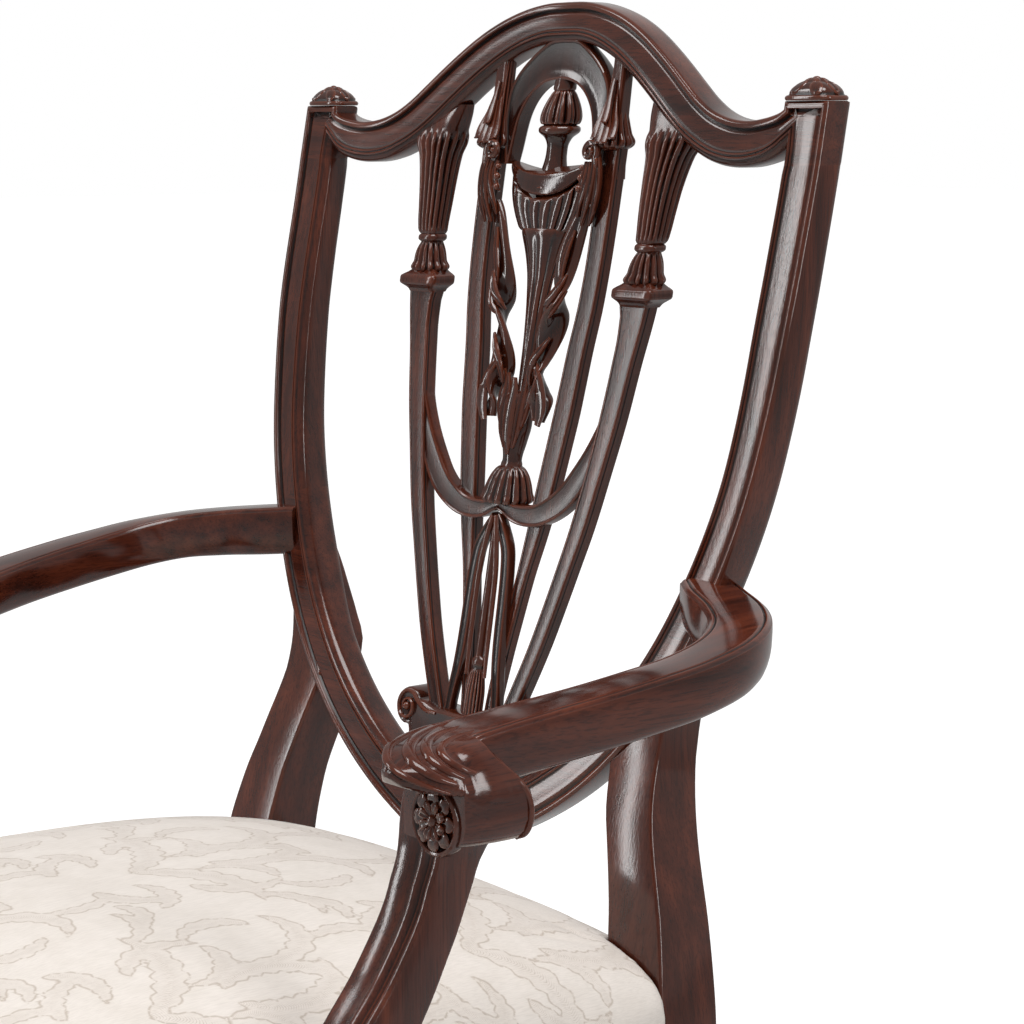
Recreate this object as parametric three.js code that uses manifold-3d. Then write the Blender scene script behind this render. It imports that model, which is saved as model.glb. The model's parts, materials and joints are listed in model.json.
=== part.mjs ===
// Shield back armchair: every wooden member, the seat and its hidden frame as separate solids.
// Lengths are millimetres, Z is up, the front of the chair looks along -Y.
import * as THREE from "three";
import Module from "manifold-3d";
import { mergeVertices } from "three/addons/utils/BufferGeometryUtils.js";

const wasm = await Module();
wasm.setup();

// Colours of the woods, cloths and metals.
const POLISHED_MAHOGANY = { color: 0x4a1e12, roughness: 0.28, metalness: 0 };
const BARE_BEECH = { color: 0xc69c6d, roughness: 0.75, metalness: 0 };
const IVORY_DAMASK = { color: 0xe6dccb, roughness: 0.82, metalness: 0 };
const BARE_HAIR = { color: 0x8a7f70, roughness: 0.95, metalness: 0 };
const JUTE_WEBBING = { color: 0xa98d62, roughness: 0.95, metalness: 0 };
const BLACK_CLOTH = { color: 0x1c1b1a, roughness: 0.95, metalness: 0 };
const BRIGHT_STEEL = { color: 0xb9bbbd, roughness: 0.35, metalness: 1 };
const BLACK_NYLON = { color: 0x232323, roughness: 0.6, metalness: 0 };

// Gap left at every joint, and how finely curves are cut.
const JOINT_GAP = 0.3;
const ROUND_STEPS = 12;
const SCREW_STEPS = 8;
const FINE_STEPS = 16;
const SHIELD_CUTS = 28;
const SHIELD_JOINT_CUT = 15;
const POST_CUTS = 20;
const BANISTER_CUTS = 11;
const ARCH_CUTS = 9;
const DRAPERY_CUTS = 14;
const SWAG_CUTS = 14;
const STRAND_CUTS = 10;
const SCROLL_CUTS = 8;
const ARM_CUTS = 21;
const ROLL_CUTS = 6;
const SUPPORT_CUTS = 13;
const PATH_SECTION_STEPS = 8;
const EAR_CAP_CUTS = 14;
const EAR_CAP_ARC = 8;
const PETAL_STEPS = 4;
const MERGE_REACH = 1e-4;

// The back: its lowest point, the tops of its ears, half its width over the ears, and how far
// the front of its foot stands before the back of the seat. Its front plane leans by the rake.
const SHIELD_FOOT = 471;
const EAR_HEIGHT = 912;
const EAR_REACH = 237.5;
const SHIELD_FORWARD = 25;
const RAKE_SHARE = 0.17;
const CREST_HOLLOW = 13;
const CREST_HOLLOW_REACH = 225;
const HOLLOW_SOFTENING = 14;

// In the tables that follow, a height is a share of the back above the shield's foot, or below it
// a share down to the floor. Widths are shares of the ears' reach, depths of the crest's depth.

// Outline of the shield, right half: width and height of its outer front edge.
const SHIELD_OUTER_SHARES = [
  [1, 0.923],
  [0.996, 0.839],
  [0.992, 0.76],
  [0.983, 0.68],
  [0.965, 0.601],
  [0.939, 0.522],
  [0.901, 0.449],
  [0.85, 0.379],
  [0.786, 0.308],
  [0.708, 0.245],
  [0.617, 0.185],
  [0.515, 0.133],
  [0.4, 0.088],
  [0.275, 0.05],
  [0.142, 0.019],
  [0.051, 0.003],
  [0, 0],
];
const SHIELD_WIDTH = 28;
const SHIELD_PROUD = 2.5;
const SHIELD_PROUD_FADE = 130;
const STILE_LOW_SHARE = 0.338;
const STILE_DEPTH_TOP = 20;
const STILE_DEPTH_LOW = 26;
const LOWER_RAIL_DEPTH = 23;
const RAIL_TENON_LENGTH = 14;
const RAIL_TENON_WIDTH = 14;
const RAIL_TENON_DEPTH = 9;
const STILE_TENON_LENGTH = 12;
const STILE_TENON_WIDTH = 14;
const STILE_TENON_DEPTH = 8;

// Moulded front of the shield: a bead at each edge and a shallow field between.
const BEAD_WIDTH = 4.2;
const BEAD_SLOPE = 1.6;
const FIELD_SINK = 1.8;
const EDGE_BREAK = 1;
const BACK_ROUND = 5;
const BEAD_MOST_SHARE = 0.28;

// Crest rail, right half: the top edge and the lower edge, width and height.
const CREST_TOP_SHARES = [
  [1, 1],
  [0.935, 1],
  [0.863, 1],
  [0.861, 0.989],
  [0.806, 0.98],
  [0.746, 0.976],
  [0.679, 0.98],
  [0.614, 0.99],
  [0.558, 1.006],
  [0.505, 1.026],
  [0.449, 1.048],
  [0.39, 1.069],
  [0.331, 1.089],
  [0.27, 1.106],
  [0.206, 1.12],
  [0.139, 1.129],
  [0.07, 1.135],
  [0, 1.136],
];
const CREST_LOW_SHARES = [
  [1, 0.923],
  [0.935, 0.923],
  [0.883, 0.923],
  [0.88, 0.94],
  [0.838, 0.929],
  [0.762, 0.918],
  [0.686, 0.917],
  [0.621, 0.922],
  [0.561, 0.933],
  [0.504, 0.948],
  [0.447, 0.968],
  [0.389, 0.991],
  [0.331, 1.013],
  [0.271, 1.034],
  [0.208, 1.053],
  [0.141, 1.068],
  [0.071, 1.077],
  [0, 1.078],
];
const CREST_DEPTH = 21;

// Carved leaf caps on the ears.
const EAR_CAP_HALF_LENGTH = 17.5;
const EAR_CAP_HALF_DEPTH = 11.5;
const EAR_CAP_HEIGHT = 12;
const EAR_CAP_CENTRE_SHARE = 0.926;
const EAR_CAP_LEAVES = 7;
const EAR_CAP_GROOVE = 1.1;
const EAR_CAP_LIP = 1.6;
const EAR_CAP_OVERHANG = 1;
const EAR_CAP_LEAST_SHARE = 0.02;

// Leg post behind and below the stile: height, inner and outer side as shares of the half width
// of chair at that height, front and back as shares of the post's depth from the front plane.
const POST_SHARES = [
  [0.397, 0.766, 0.846, 0.125, 0.506],
  [0.34, 0.699, 0.8, 0.084, 0.607],
  [0.304, 0.658, 0.778, 0.041, 0.648],
  [0.265, 0.623, 0.769, 0.015, 0.694],
  [0.229, 0.594, 0.765, 0.02, 0.722],
  [0.19, 0.605, 0.772, 0.004, 0.732],
  [0.154, 0.625, 0.79, -0.073, 0.725],
  [0.116, 0.65, 0.819, -0.136, 0.71],
  [0.077, 0.682, 0.856, -0.161, 0.696],
  [0.041, 0.712, 0.894, -0.18, 0.689],
  [0.002, 0.739, 0.933, -0.182, 0.711],
  [-0.032, 0.753, 0.954, -0.25, 0.679],
  [-0.068, 0.765, 0.971, -0.31, 0.655],
  [-0.104, 0.774, 0.985, -0.369, 0.631],
  [-0.151, 0.779, 0.995, -0.417, 0.607],
  [-0.21, 0.783, 1, -0.429, 0.595],
  [-0.268, 0.788, 1, -0.381, 0.595],
  [-0.363, 0.797, 0.998, -0.238, 0.667],
  [-0.575, 0.82, 0.991, 0.214, 1.024],
  [-0.788, 0.839, 0.982, 0.738, 1.476],
  [-1, 0.857, 0.977, 1.31, 1.976],
];
const LEG_EDGE_BREAK = 2.5;

// Outer banisters: height, inner side and outer side of the front face.
const OUTER_BANISTER_SHARES = [
  [0.739, 0.371, 0.463],
  [0.723, 0.375, 0.457],
  [0.669, 0.368, 0.435],
  [0.585, 0.345, 0.406],
  [0.528, 0.326, 0.383],
  [0.444, 0.291, 0.344],
  [0.39, 0.261, 0.311],
  [0.338, 0.23, 0.279],
  [0.281, 0.194, 0.242],
  [0.229, 0.154, 0.201],
  [0.202, 0.132, 0.179],
  [0.17, 0.107, 0.152],
  [0.159, 0.099, 0.142],
];
const OUTER_BANISTER_SET_BACK = 9;
const OUTER_BANISTER_DEPTH = 11;
const BANISTER_STEP = 1.8;
const BANISTER_LIP = 1.6;

// Leaf capitals of the outer banisters: height, inner side, outer side, front and back.
const CAPITAL_SHARES = [
  [0.728, 0.373, 0.46, 0.429, 0.971],
  [0.744, 0.365, 0.471, 0.352, 1.019],
  [0.751, 0.349, 0.493, 0.219, 1.124],
  [0.76, 0.349, 0.493, 0.219, 1.124],
  [0.769, 0.367, 0.471, 0.333, 1.076],
  [0.778, 0.371, 0.469, 0.324, 1.076],
  [0.796, 0.383, 0.461, 0.343, 1.038],
  [0.808, 0.397, 0.451, 0.429, 0.971],
  [0.812, 0.388, 0.461, 0.333, 1.048],
  [0.818, 0.388, 0.461, 0.333, 1.048],
  [0.822, 0.395, 0.457, 0.4, 1.01],
  [0.859, 0.39, 0.474, 0.324, 1.114],
  [0.893, 0.389, 0.484, 0.314, 1.171],
  [0.927, 0.386, 0.503, 0.324, 1.238],
  [0.966, 0.373, 0.527, 0.41, 1.305],
  [0.998, 0.36, 0.514, 0.571, 1.238],
];
const CAPITAL_LEAF_FOOT_SHARE = 0.828;
const CAPITAL_CUP_FOOT_SHARE = 0.771;
const CAPITAL_CUP_HEAD_SHARE = 0.805;
const CAPITAL_RIBS = 8;
const CAPITAL_RIB_DEPTH = 0.9;
const SQUARE_POWER = 4;

// Inner banisters with their leaf posts under the crest: height, inner side, outer side.
const INNER_BANISTER_SHARES = [
  [1.07, 0.202, 0.253],
  [1.029, 0.198, 0.257],
  [1, 0.196, 0.259],
  [0.98, 0.193, 0.263],
  [0.959, 0.185, 0.274],
  [0.949, 0.179, 0.282],
  [0.942, 0.183, 0.278],
  [0.939, 0.2, 0.262],
  [0.887, 0.2, 0.261],
  [0.839, 0.199, 0.259],
  [0.782, 0.196, 0.255],
  [0.728, 0.187, 0.247],
  [0.673, 0.17, 0.232],
  [0.617, 0.157, 0.221],
  [0.59, 0.15, 0.215],
  [0.535, 0.135, 0.198],
  [0.485, 0.12, 0.181],
  [0.426, 0.105, 0.155],
  [0.372, 0.089, 0.127],
  [0.317, 0.07, 0.105],
  [0.259, 0.051, 0.083],
  [0.202, 0.036, 0.066],
  [0.159, 0.029, 0.057],
];
const INNER_BANISTER_SET_BACK = 14.5;
const INNER_BANISTER_DEPTH = 10;
const POST_CAPITAL_EXTRA = 2.2;
const POST_CAPITAL_FOOT_SHARE = 0.941;
const POST_CAPITAL_STEP = 1.5;

// Arch fixed under the middle of the crest: outer and inner edges, right half.
const ARCH_OUTER_SHARES = [
  [0, 1.088],
  [0.051, 1.086],
  [0.101, 1.071],
  [0.145, 1.053],
  [0.173, 1.037],
  [0.189, 1.02],
  [0.195, 1.002],
  [0.195, 0.98],
  [0.189, 0.958],
];
const ARCH_INNER_SHARES = [
  [0, 1.032],
  [0.032, 1.03],
  [0.061, 1.026],
  [0.088, 1.018],
  [0.112, 1.007],
  [0.128, 0.994],
  [0.139, 0.982],
  [0.145, 0.971],
  [0.149, 0.958],
];
const ARCH_SET_BACK = 15.5;
const ARCH_DEPTH = 12;

// Turned finial: height and radius.
const FINIAL_PROFILE_SHARES = [
  [0.893, 0],
  [0.893, 0.025],
  [0.908, 0.027],
  [0.909, 0.063],
  [0.914, 0.044],
  [0.923, 0.03],
  [0.941, 0.028],
  [0.954, 0.035],
  [0.958, 0.057],
  [0.964, 0.077],
  [0.969, 0.077],
  [0.973, 0.07],
  [0.977, 0.076],
  [0.991, 0.072],
  [1.005, 0.061],
  [1.015, 0.041],
  [1.018, 0.036],
  [1.032, 0.031],
  [1.041, 0.029],
  [1.041, 0],
];
const FINIAL_DEPTH_SHARE = 0.7;
const FINIAL_LOBES = 10;
const FINIAL_LOBE_DEPTH = 0.9;
const FINIAL_LOBE_FOOT_SHARE = 0.974;
const FINIAL_LOBE_HEAD_SHARE = 1.011;
const FINIAL_AXIS_SET_BACK = 21.5;
const LOBE_LEAST_SHARE = 0.1;

// Urn bowl and its long fluted stem: height and half width.
const URN_SECTIONS_SHARES = [
  [0.921, 0.153],
  [0.913, 0.156],
  [0.9, 0.154],
  [0.896, 0.146],
  [0.882, 0.144],
  [0.864, 0.136],
  [0.846, 0.117],
  [0.833, 0.104],
  [0.828, 0.098],
  [0.803, 0.077],
  [0.776, 0.062],
  [0.735, 0.045],
  [0.696, 0.034],
  [0.667, 0.029],
  [0.628, 0.025],
  [0.612, 0.024],
];
const URN_DEPTH_SHARE = 0.25;
const URN_LEAST_HALF_DEPTH = 4.6;
const URN_LEAVES = 14;
const URN_LEAF_DEPTH = 1.1;
const URN_LEAF_HEAD_SHARE = 0.897;
const URN_LEAF_FOOT_SHARE = 0.83;
const STEM_FLUTE_DEPTH = 0.9;
const RIM_SAG = 9;
const URN_AXIS_SET_BACK = 21.5;

// Leafy scrolls that stand on the ends of the urn rim: place out, height and half width.
const SCROLL_PATH_SHARES = [
  [0.122, 0.844, 0.009],
  [0.152, 0.854, 0.013],
  [0.175, 0.878, 0.017],
  [0.181, 0.9, 0.016],
  [0.179, 0.923, 0.014],
  [0.177, 0.941, 0.015],
  [0.173, 0.954, 0.015],
];
const SCROLL_HALF_DEPTH = 4.2;

// Cloth drapery that falls beside the stem: place out, height, half width, turn in degrees.
const DRAPERY_PATH_SHARES = [
  [0.15, 0.855, 0.018, 5],
  [0.135, 0.828, 0.024, 20],
  [0.119, 0.791, 0.028, 5],
  [0.108, 0.76, 0.029, -25],
  [0.099, 0.739, 0.019, -70],
  [0.09, 0.719, 0.021, -20],
  [0.082, 0.689, 0.027, 20],
  [0.073, 0.66, 0.027, 50],
  [0.072, 0.637, 0.022, 80],
  [0.078, 0.615, 0.024, 30],
  [0.086, 0.59, 0.02, 0],
];
const DRAPERY_HALF_THICKNESS = 2.1;
const DRAPERY_SET_BACK = 16;
const PATH_STEP_SHARE = 0.01;

// Leaf cup and bell at the foot of the stem: height and half width.
const BELL_PROFILE_SHARES = [
  [0.637, 0.048],
  [0.624, 0.054],
  [0.596, 0.066],
  [0.569, 0.067],
  [0.544, 0.053],
  [0.526, 0.037],
  [0.517, 0.033],
  [0.509, 0.046],
  [0.497, 0.064],
  [0.483, 0.077],
  [0.469, 0.084],
  [0.463, 0.082],
];
const BELL_DEPTH_SHARE = 0.56;
const BELL_LOBES = 12;
const BELL_LOBE_DEPTH = 1;
const BELL_AXIS_SET_BACK = 18;

// Swags from the outer banisters to the bell: place out, height, half width.
const SWAG_PATH_SHARES = [
  [0.358, 0.615, 0.018],
  [0.343, 0.58, 0.024],
  [0.323, 0.544, 0.029],
  [0.291, 0.511, 0.032],
  [0.248, 0.484, 0.033],
  [0.202, 0.466, 0.031],
  [0.156, 0.455, 0.029],
  [0.109, 0.451, 0.026],
  [0.063, 0.453, 0.023],
  [0.025, 0.459, 0.018],
  [0.002, 0.463, 0.015],
];
const SWAG_HALF_DEPTH = 4;
const SWAG_SET_BACK = 14;

// Three strands below the bell, and the small tassel on the middle one.
const SIDE_STRAND_SHARES = [
  [0.006, 0.447, 0.01],
  [0.027, 0.429, 0.014],
  [0.053, 0.404, 0.016],
  [0.062, 0.374, 0.017],
  [0.067, 0.333, 0.017],
  [0.068, 0.299, 0.017],
  [0.072, 0.265, 0.016],
  [0.077, 0.236, 0.015],
  [0.087, 0.206, 0.013],
  [0.092, 0.181, 0.012],
  [0.093, 0.159, 0.011],
];
const STRAND_HALF_DEPTH = 3.2;
const STRAND_SET_BACK = 12.5;
const MIDDLE_STRAND_SHARES = [
  [0.447, 0.011],
  [0.406, 0.013],
  [0.338, 0.013],
  [0.27, 0.012],
  [0.254, 0.011],
  [0.247, 0.019],
  [0.238, 0.024],
  [0.22, 0.027],
  [0.193, 0.033],
  [0.175, 0.031],
  [0.159, 0.021],
];
const MIDDLE_DEPTH_SHARE = 0.55;
const MIDDLE_LEAST_HALF_DEPTH = 2.4;

// Shoe that carries the splat, with a volute at each end.
const SHOE_TOP_SHARE = 0.177;
const SHOE_HIP_SHARE = 0.102;
const SHOE_BOTTOM_SHARE = 0.043;
const SHOE_WIDTH_SHARE = 0.244;
const SHOE_NECK_SHARE = 0.211;
const SHOE_SOLE_SHARE = 0.109;
const SHOE_SET_BACK = 5;
const SHOE_DEPTH = 21;
const SHOE_SINK = 3;
const VOLUTE_RADIUS = 11.5;
const VOLUTE_WIDTH_SHARE = 0.227;
const VOLUTE_HEIGHT_SHARE = 0.171;
const VOLUTE_EYE_RADIUS = 3.4;
const VOLUTE_EYE_PROUD = 1.6;
const VOLUTE_CHANNEL_RADIUS = 6.6;
const VOLUTE_CHANNEL_DEPTH = 1.4;

// Arms: width out and reach forward of the top centre line, its height, then the arm's own
// width and thickness. The reach runs from the back to the nose of the hand rest.
const ARM_NOSE = -319.5;
const ARM_BEHIND_FRONT = 6;
const ARM_REAR_HEIGHT_SHARE = 0.415;
const ARM_WIDTH = 33;
const ARM_THICKNESS = 28;
const HAND_OUT = 23;
const HAND_WIDTH = 54;
const ARM_PATH_SHARES = [
  [0.804, 0, 0.415, 0.909, 1.071],
  [0.887, 0.043, 0.41, 1.03, 1.071],
  [0.998, 0.093, 0.403, 1.061, 1.036],
  [1.08, 0.157, 0.395, 1, 1],
  [1.125, 0.242, 0.384, 0.97, 1],
  [1.129, 0.348, 0.372, 0.97, 1],
  [1.106, 0.462, 0.361, 1, 1],
  [1.074, 0.576, 0.35, 1.03, 1],
  [1.033, 0.689, 0.339, 1.121, 1],
  [1.001, 0.775, 0.331, 1.182, 1],
  [0.99, 0.817, 0.327, 1.152, 0.964],
];
const ARM_CROWN = 2.2;
const ARM_EDGE_WIDTH = 3.4;
const ARM_EDGE_SINK = 1.2;
const ARM_SHOULDER_SHARE = 0.3;
const ARM_WAIST_SHARE = 0.62;
const ARM_UNDER_SHARE = 0.72;

// Hand rest: place behind the nose, inner and outer side and the heights of its top and
// underside, all but the heights as shares of its width.
const KNUCKLE_SHARES = [
  [1.231, -0.485, 0.574, 0.327, 0.215],
  [0.88, -0.437, 0.593, 0.326, 0.215],
  [0.657, -0.378, 0.559, 0.324, 0.215],
  [0.517, -0.33, 0.519, 0.322, 0.215],
  [0.509, -0.326, 0.515, 0.322, 0.276],
  [0.361, -0.27, 0.456, 0.321, 0.278],
  [0.213, -0.189, 0.374, 0.319, 0.281],
  [0.083, -0.074, 0.241, 0.317, 0.287],
  [0, 0.044, 0.122, 0.311, 0.298],
];
const KNUCKLE_ROLL = 24;
const KNUCKLE_ROLL_MOST_SHARE = 0.45;
const KNUCKLE_UNDER = 12;
const KNUCKLE_UNDER_MOST_SHARE = 0.3;
const KNUCKLE_EDGE = 2;
const KNUCKLE_REAR_LEAN = 17;
const KNUCKLE_ARC = 5;

// Arm supports: height, front and back behind the nose, inner and outer side from the hand's
// middle, as shares of the support's depth.
const SUPPORT_SHARES = [
  [0.283, 1.109, 2.109, -0.812, 0.5],
  [0.261, 1.016, 2.078, -0.825, 0.562],
  [0.234, 0.953, 1.984, -0.838, 0.438],
  [0.206, 0.922, 1.859, -0.844, 0.25],
  [0.186, 0.878, 1.716, -0.844, 0.2],
  [0.167, 0.778, 1.622, -0.844, 0.188],
  [0.146, 0.684, 1.503, -0.844, 0.188],
  [0.126, 0.547, 1.384, -0.844, 0.188],
  [0.105, 0.378, 1.259, -0.844, 0.188],
  [0.085, 0.203, 1.116, -0.844, 0.188],
  [0.065, 0.016, 0.978, -0.844, 0.188],
  [0.043, -0.234, 0.816, -0.838, 0.188],
  [0.02, -0.497, 0.628, -0.831, 0.188],
  [-0.023, -0.953, 0.234, -0.812, 0.188],
  [-0.087, -1.516, -0.359, -0.8, 0.188],
  [-0.151, -1.953, -0.859, -0.806, 0.156],
  [-0.227, -2.359, -1.328, -0.806, 0.031],
];
const SUPPORT_DEPTH = 32;
const SUPPORT_FOOT_BEHIND_NOSE = -58;
const SUPPORT_RIDGE_RISE = 2.4;
const SUPPORT_GROOVE_SHARE = 0.3;

// Carved rosettes on the front of the supports.
const ROSETTE_RADIUS = 17.5;
const ROSETTE_RIM = 2.6;
const ROSETTE_THICKNESS = 6;
const ROSETTE_SINK = 1.8;
const ROSETTE_PETALS = 8;
const ROSETTE_OUT = 6.4;
const ROSETTE_HEIGHT_SHARE = 0.242;
const ROSETTE_BEHIND_NOSE = 29;
const PETAL_REACH_SHARE = 0.92;
const PETAL_LENGTH_SHARE = 0.5;
const PETAL_WIDTH_SHARE = 0.24;
const PETAL_SEAT = 0.6;

// Seat frame: plan of the rails' outer faces and their sections.
const SEAT_FRONT = -520;
const SEAT_FRONT_HALF = 262;
const SEAT_REAR_HALF = 217;
const SEAT_REAR = -50;
const POST_DEPTH = 42;
const POST_WIDTH = 49;
const SEAT_SIDE_REAR_Y = SEAT_REAR - POST_DEPTH;
const RAIL_TOP = 410;
const RAIL_BOTTOM = 350;
const RAIL_THICKNESS = 24;
const SEAT_TENON_LENGTH = 16;
const SEAT_TENON_THICKNESS = 9;
const SEAT_TENON_MARGIN = 8;
const REAR_RAIL_INSET = 4;
const RAIL_INTO_POST = 7;
const REAR_RAIL_HALF = SEAT_REAR_HALF - POST_WIDTH + RAIL_INTO_POST;

// Front legs: square and tapered, ending in spade feet. Below the rails: height and size.
const FRONT_LEG_SIZE = 44;
const FRONT_LEG_SHARES = [
  [0.971, 0.977],
  [0.32, 0.625],
  [0.297, 0.614],
  [0.274, 0.716],
  [0.223, 0.795],
  [0.171, 0.761],
  [0, 0.545],
];
const FRONT_LEG_BREAK = 1.6;

// Corner blocks and their screws.
const BLOCK_LEG = 58;
const BLOCK_MARGIN = 12;
const BLOCK_TOP = RAIL_TOP - BLOCK_MARGIN;
const BLOCK_BOTTOM = RAIL_BOTTOM + BLOCK_MARGIN;
const SCREW_HEAD_RADIUS = 4.2;
const SCREW_HEAD_HEIGHT = 2.6;
const SCREW_SHANK_RADIUS = 2.2;
const BLOCK_SCREW_LENGTH = 36;
const BLOCK_SCREW_Z = (BLOCK_TOP + BLOCK_BOTTOM) / 2;
const BLOCK_SCREW_SPREAD = 6;
const BLOCK_SCREW_SHARE = 0.4;
const BLOCK_SCREW_STAND = 14;
const SUPPORT_SCREW_MARGIN = 14;
const SUPPORT_SCREW_RAISE = 6;
const SUPPORT_SCREW_UP = RAIL_TOP - SUPPORT_SCREW_MARGIN;
const SUPPORT_SCREW_DOWN = RAIL_BOTTOM + SUPPORT_SCREW_MARGIN + SUPPORT_SCREW_RAISE;
const SUPPORT_SCREW_LENGTH = 40;
const ARM_SCREW_LENGTH = 46;
const ARM_SCREW_WIDTH_SHARE = 0.735;
const ARM_SCREW_HEIGHT_SHARE = 0.374;
const ARM_SCREW_BEHIND_FRONT = 16;
const ARM_SCREW_WAY_SHARES = [0.86, -0.5, 0];

// Webbing over the rails.
const STRAP_WIDTH = 50;
const STRAP_THICKNESS = 2;
const STRAP_WEAVE = 0.2;
const STRAP_BITE = 15;
const LENGTHWISE_STRAPS = 5;
const CROSSWISE_STRAPS = 4;
const WEBBING_HALF_WIDTH = 135;

// Upholstered seat.
const COVER_THICKNESS = 4;
const COVER_DROP = 3;
const SEAT_RIM_RISE = 14;
const SEAT_RIM_BULGE = 4;
const SEAT_DRAWN_RISE = 1;
const SEAT_EDGE_HEIGHT = 44;
const SEAT_EDGE_REACH = 60;
const SEAT_EDGE_POWER = 2.3;
const SEAT_DOME = 21;
const SEAT_SOFT_REACH = 7;
const SEAT_MIDDLE_Y = (SEAT_FRONT + SEAT_REAR) / 2;
const SEAT_CROWN_OVER = 5;
const SEAT_HALF_LENGTH = (SEAT_REAR - SEAT_FRONT) / 2 + SEAT_CROWN_OVER;
const SEAT_REAR_PROUD = 2;
const POST_TUCK = 1;
const POST_TUCK_X = SEAT_REAR_HALF - POST_WIDTH;
const POST_TUCK_Y = SEAT_REAR - POST_DEPTH;
const POST_STRIP_INSET = 27;
const POST_STRIP_X = SEAT_REAR_HALF - POST_STRIP_INSET;
const POST_STRIP_PROUD = 1.6;
const POST_STRIP_Y = POST_TUCK_Y - POST_STRIP_PROUD;
const POST_STRIP_REACH = 60;
const CUSHION_COLUMNS = 16;
const CUSHION_ROWS = 14;
const SPREAD_SHARE = 0.92;

// Dust cloth under the seat and glides under the feet.
const CLOTH_THICKNESS = 1;
const CLOTH_MARGIN = 6;
const REAR_CLOTH_CLEAR = 5;
const REAR_CLOTH_HALF = POST_TUCK_X - REAR_CLOTH_CLEAR;
const GLIDE_RADIUS = 9;
const GLIDE_HEIGHT = 5.7;
const GLIDE_EDGE = 1.2;

const MIRROR_SIGN = -1;
const HALF_SHARE = 0.5;
const NEXT_CUT = 1;
const POST_BLEND_SHARE = 0.31;
const SWELL_SHARE = 1.5;
const QUARTER_TURN = Math.PI / 2;

// Places from shares.

const toRadians = THREE.MathUtils.degToRad;

// Height of a share: 0 is the foot of the shield, 1 the tops of the ears, -1 the floor.
function heightAt(share) {
  const reach = share < 0 ? SHIELD_FOOT : EAR_HEIGHT - SHIELD_FOOT;
  return SHIELD_FOOT + share * reach;
}

const outAt = (share) => share * EAR_REACH;
const deepAt = (share) => share * CREST_DEPTH;

// Rows of shares as millimetres; the kinds say what each column is.
const inMillimetres = (rows, kinds) =>
  rows.map((row) => row.map((share, column) => kinds[column](share)));
const asTyped = (value) => value;

// Front plane of the back at a height.
function frontPlane(z) {
  return SEAT_REAR - SHIELD_FORWARD + RAKE_SHARE * (z - SHIELD_FOOT);
}

// Outer face of the side rail at a distance from the front.
function sideX(y) {
  const share = (y - SEAT_SIDE_REAR_Y) / (SEAT_FRONT - SEAT_SIDE_REAR_Y);
  return SEAT_REAR_HALF + share * (SEAT_FRONT_HALF - SEAT_REAR_HALF);
}

const SHIELD_OUTER = inMillimetres(SHIELD_OUTER_SHARES, [outAt, heightAt]);
const CREST_TOP = inMillimetres(CREST_TOP_SHARES, [outAt, heightAt]);
const CREST_LOW = inMillimetres(CREST_LOW_SHARES, [outAt, (share) => heightAt(share) + JOINT_GAP]);
const OUTER_BANISTER = inMillimetres(OUTER_BANISTER_SHARES, [heightAt, outAt, outAt]);
const INNER_BANISTER = inMillimetres(INNER_BANISTER_SHARES, [heightAt, outAt, outAt]);
const CAPITAL = inMillimetres(CAPITAL_SHARES, [heightAt, outAt, outAt, deepAt, deepAt]);
const ARCH_OUTER = inMillimetres(ARCH_OUTER_SHARES, [outAt, heightAt]);
const ARCH_INNER = inMillimetres(ARCH_INNER_SHARES, [outAt, heightAt]);
const FINIAL_PROFILE = inMillimetres(FINIAL_PROFILE_SHARES, [heightAt, outAt]);
const URN_SECTIONS = inMillimetres(URN_SECTIONS_SHARES, [heightAt, outAt]);
const SCROLL_PATH = inMillimetres(SCROLL_PATH_SHARES, [outAt, heightAt, outAt]);
const DRAPERY_PATH = inMillimetres(DRAPERY_PATH_SHARES, [outAt, heightAt, outAt, asTyped]);
const BELL_PROFILE = inMillimetres(BELL_PROFILE_SHARES, [heightAt, outAt]);
const SWAG_PATH = inMillimetres(SWAG_PATH_SHARES, [outAt, heightAt, outAt]);
const SIDE_STRAND = inMillimetres(SIDE_STRAND_SHARES, [outAt, heightAt, outAt]);
const MIDDLE_STRAND = inMillimetres(MIDDLE_STRAND_SHARES, [heightAt, outAt]);
const VOLUTE_CENTRE_X = outAt(VOLUTE_WIDTH_SHARE);
const VOLUTE_CENTRE_Z = heightAt(VOLUTE_HEIGHT_SHARE);
const POST_CAPITAL_FOOT = heightAt(POST_CAPITAL_FOOT_SHARE);
const URN_LEAF_FOOT = heightAt(URN_LEAF_FOOT_SHARE);
const LEG_FOOT = GLIDE_HEIGHT + JOINT_GAP;

// The post stands at the rear corner of the seat and runs up into the stile.
const POST_SECTIONS = POST_SHARES.map(([height, inner, outer, front, back]) => {
  const z = Math.max(heightAt(height), LEG_FOOT);
  const rising = THREE.MathUtils.clamp(height / POST_BLEND_SHARE, 0, 1);
  const half = THREE.MathUtils.lerp(SEAT_REAR_HALF, EAR_REACH, rising);
  const plane = frontPlane(Math.max(z, SHIELD_FOOT));
  return [z, inner * half, outer * half, plane + front * POST_DEPTH, plane + back * POST_DEPTH];
});

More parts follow.
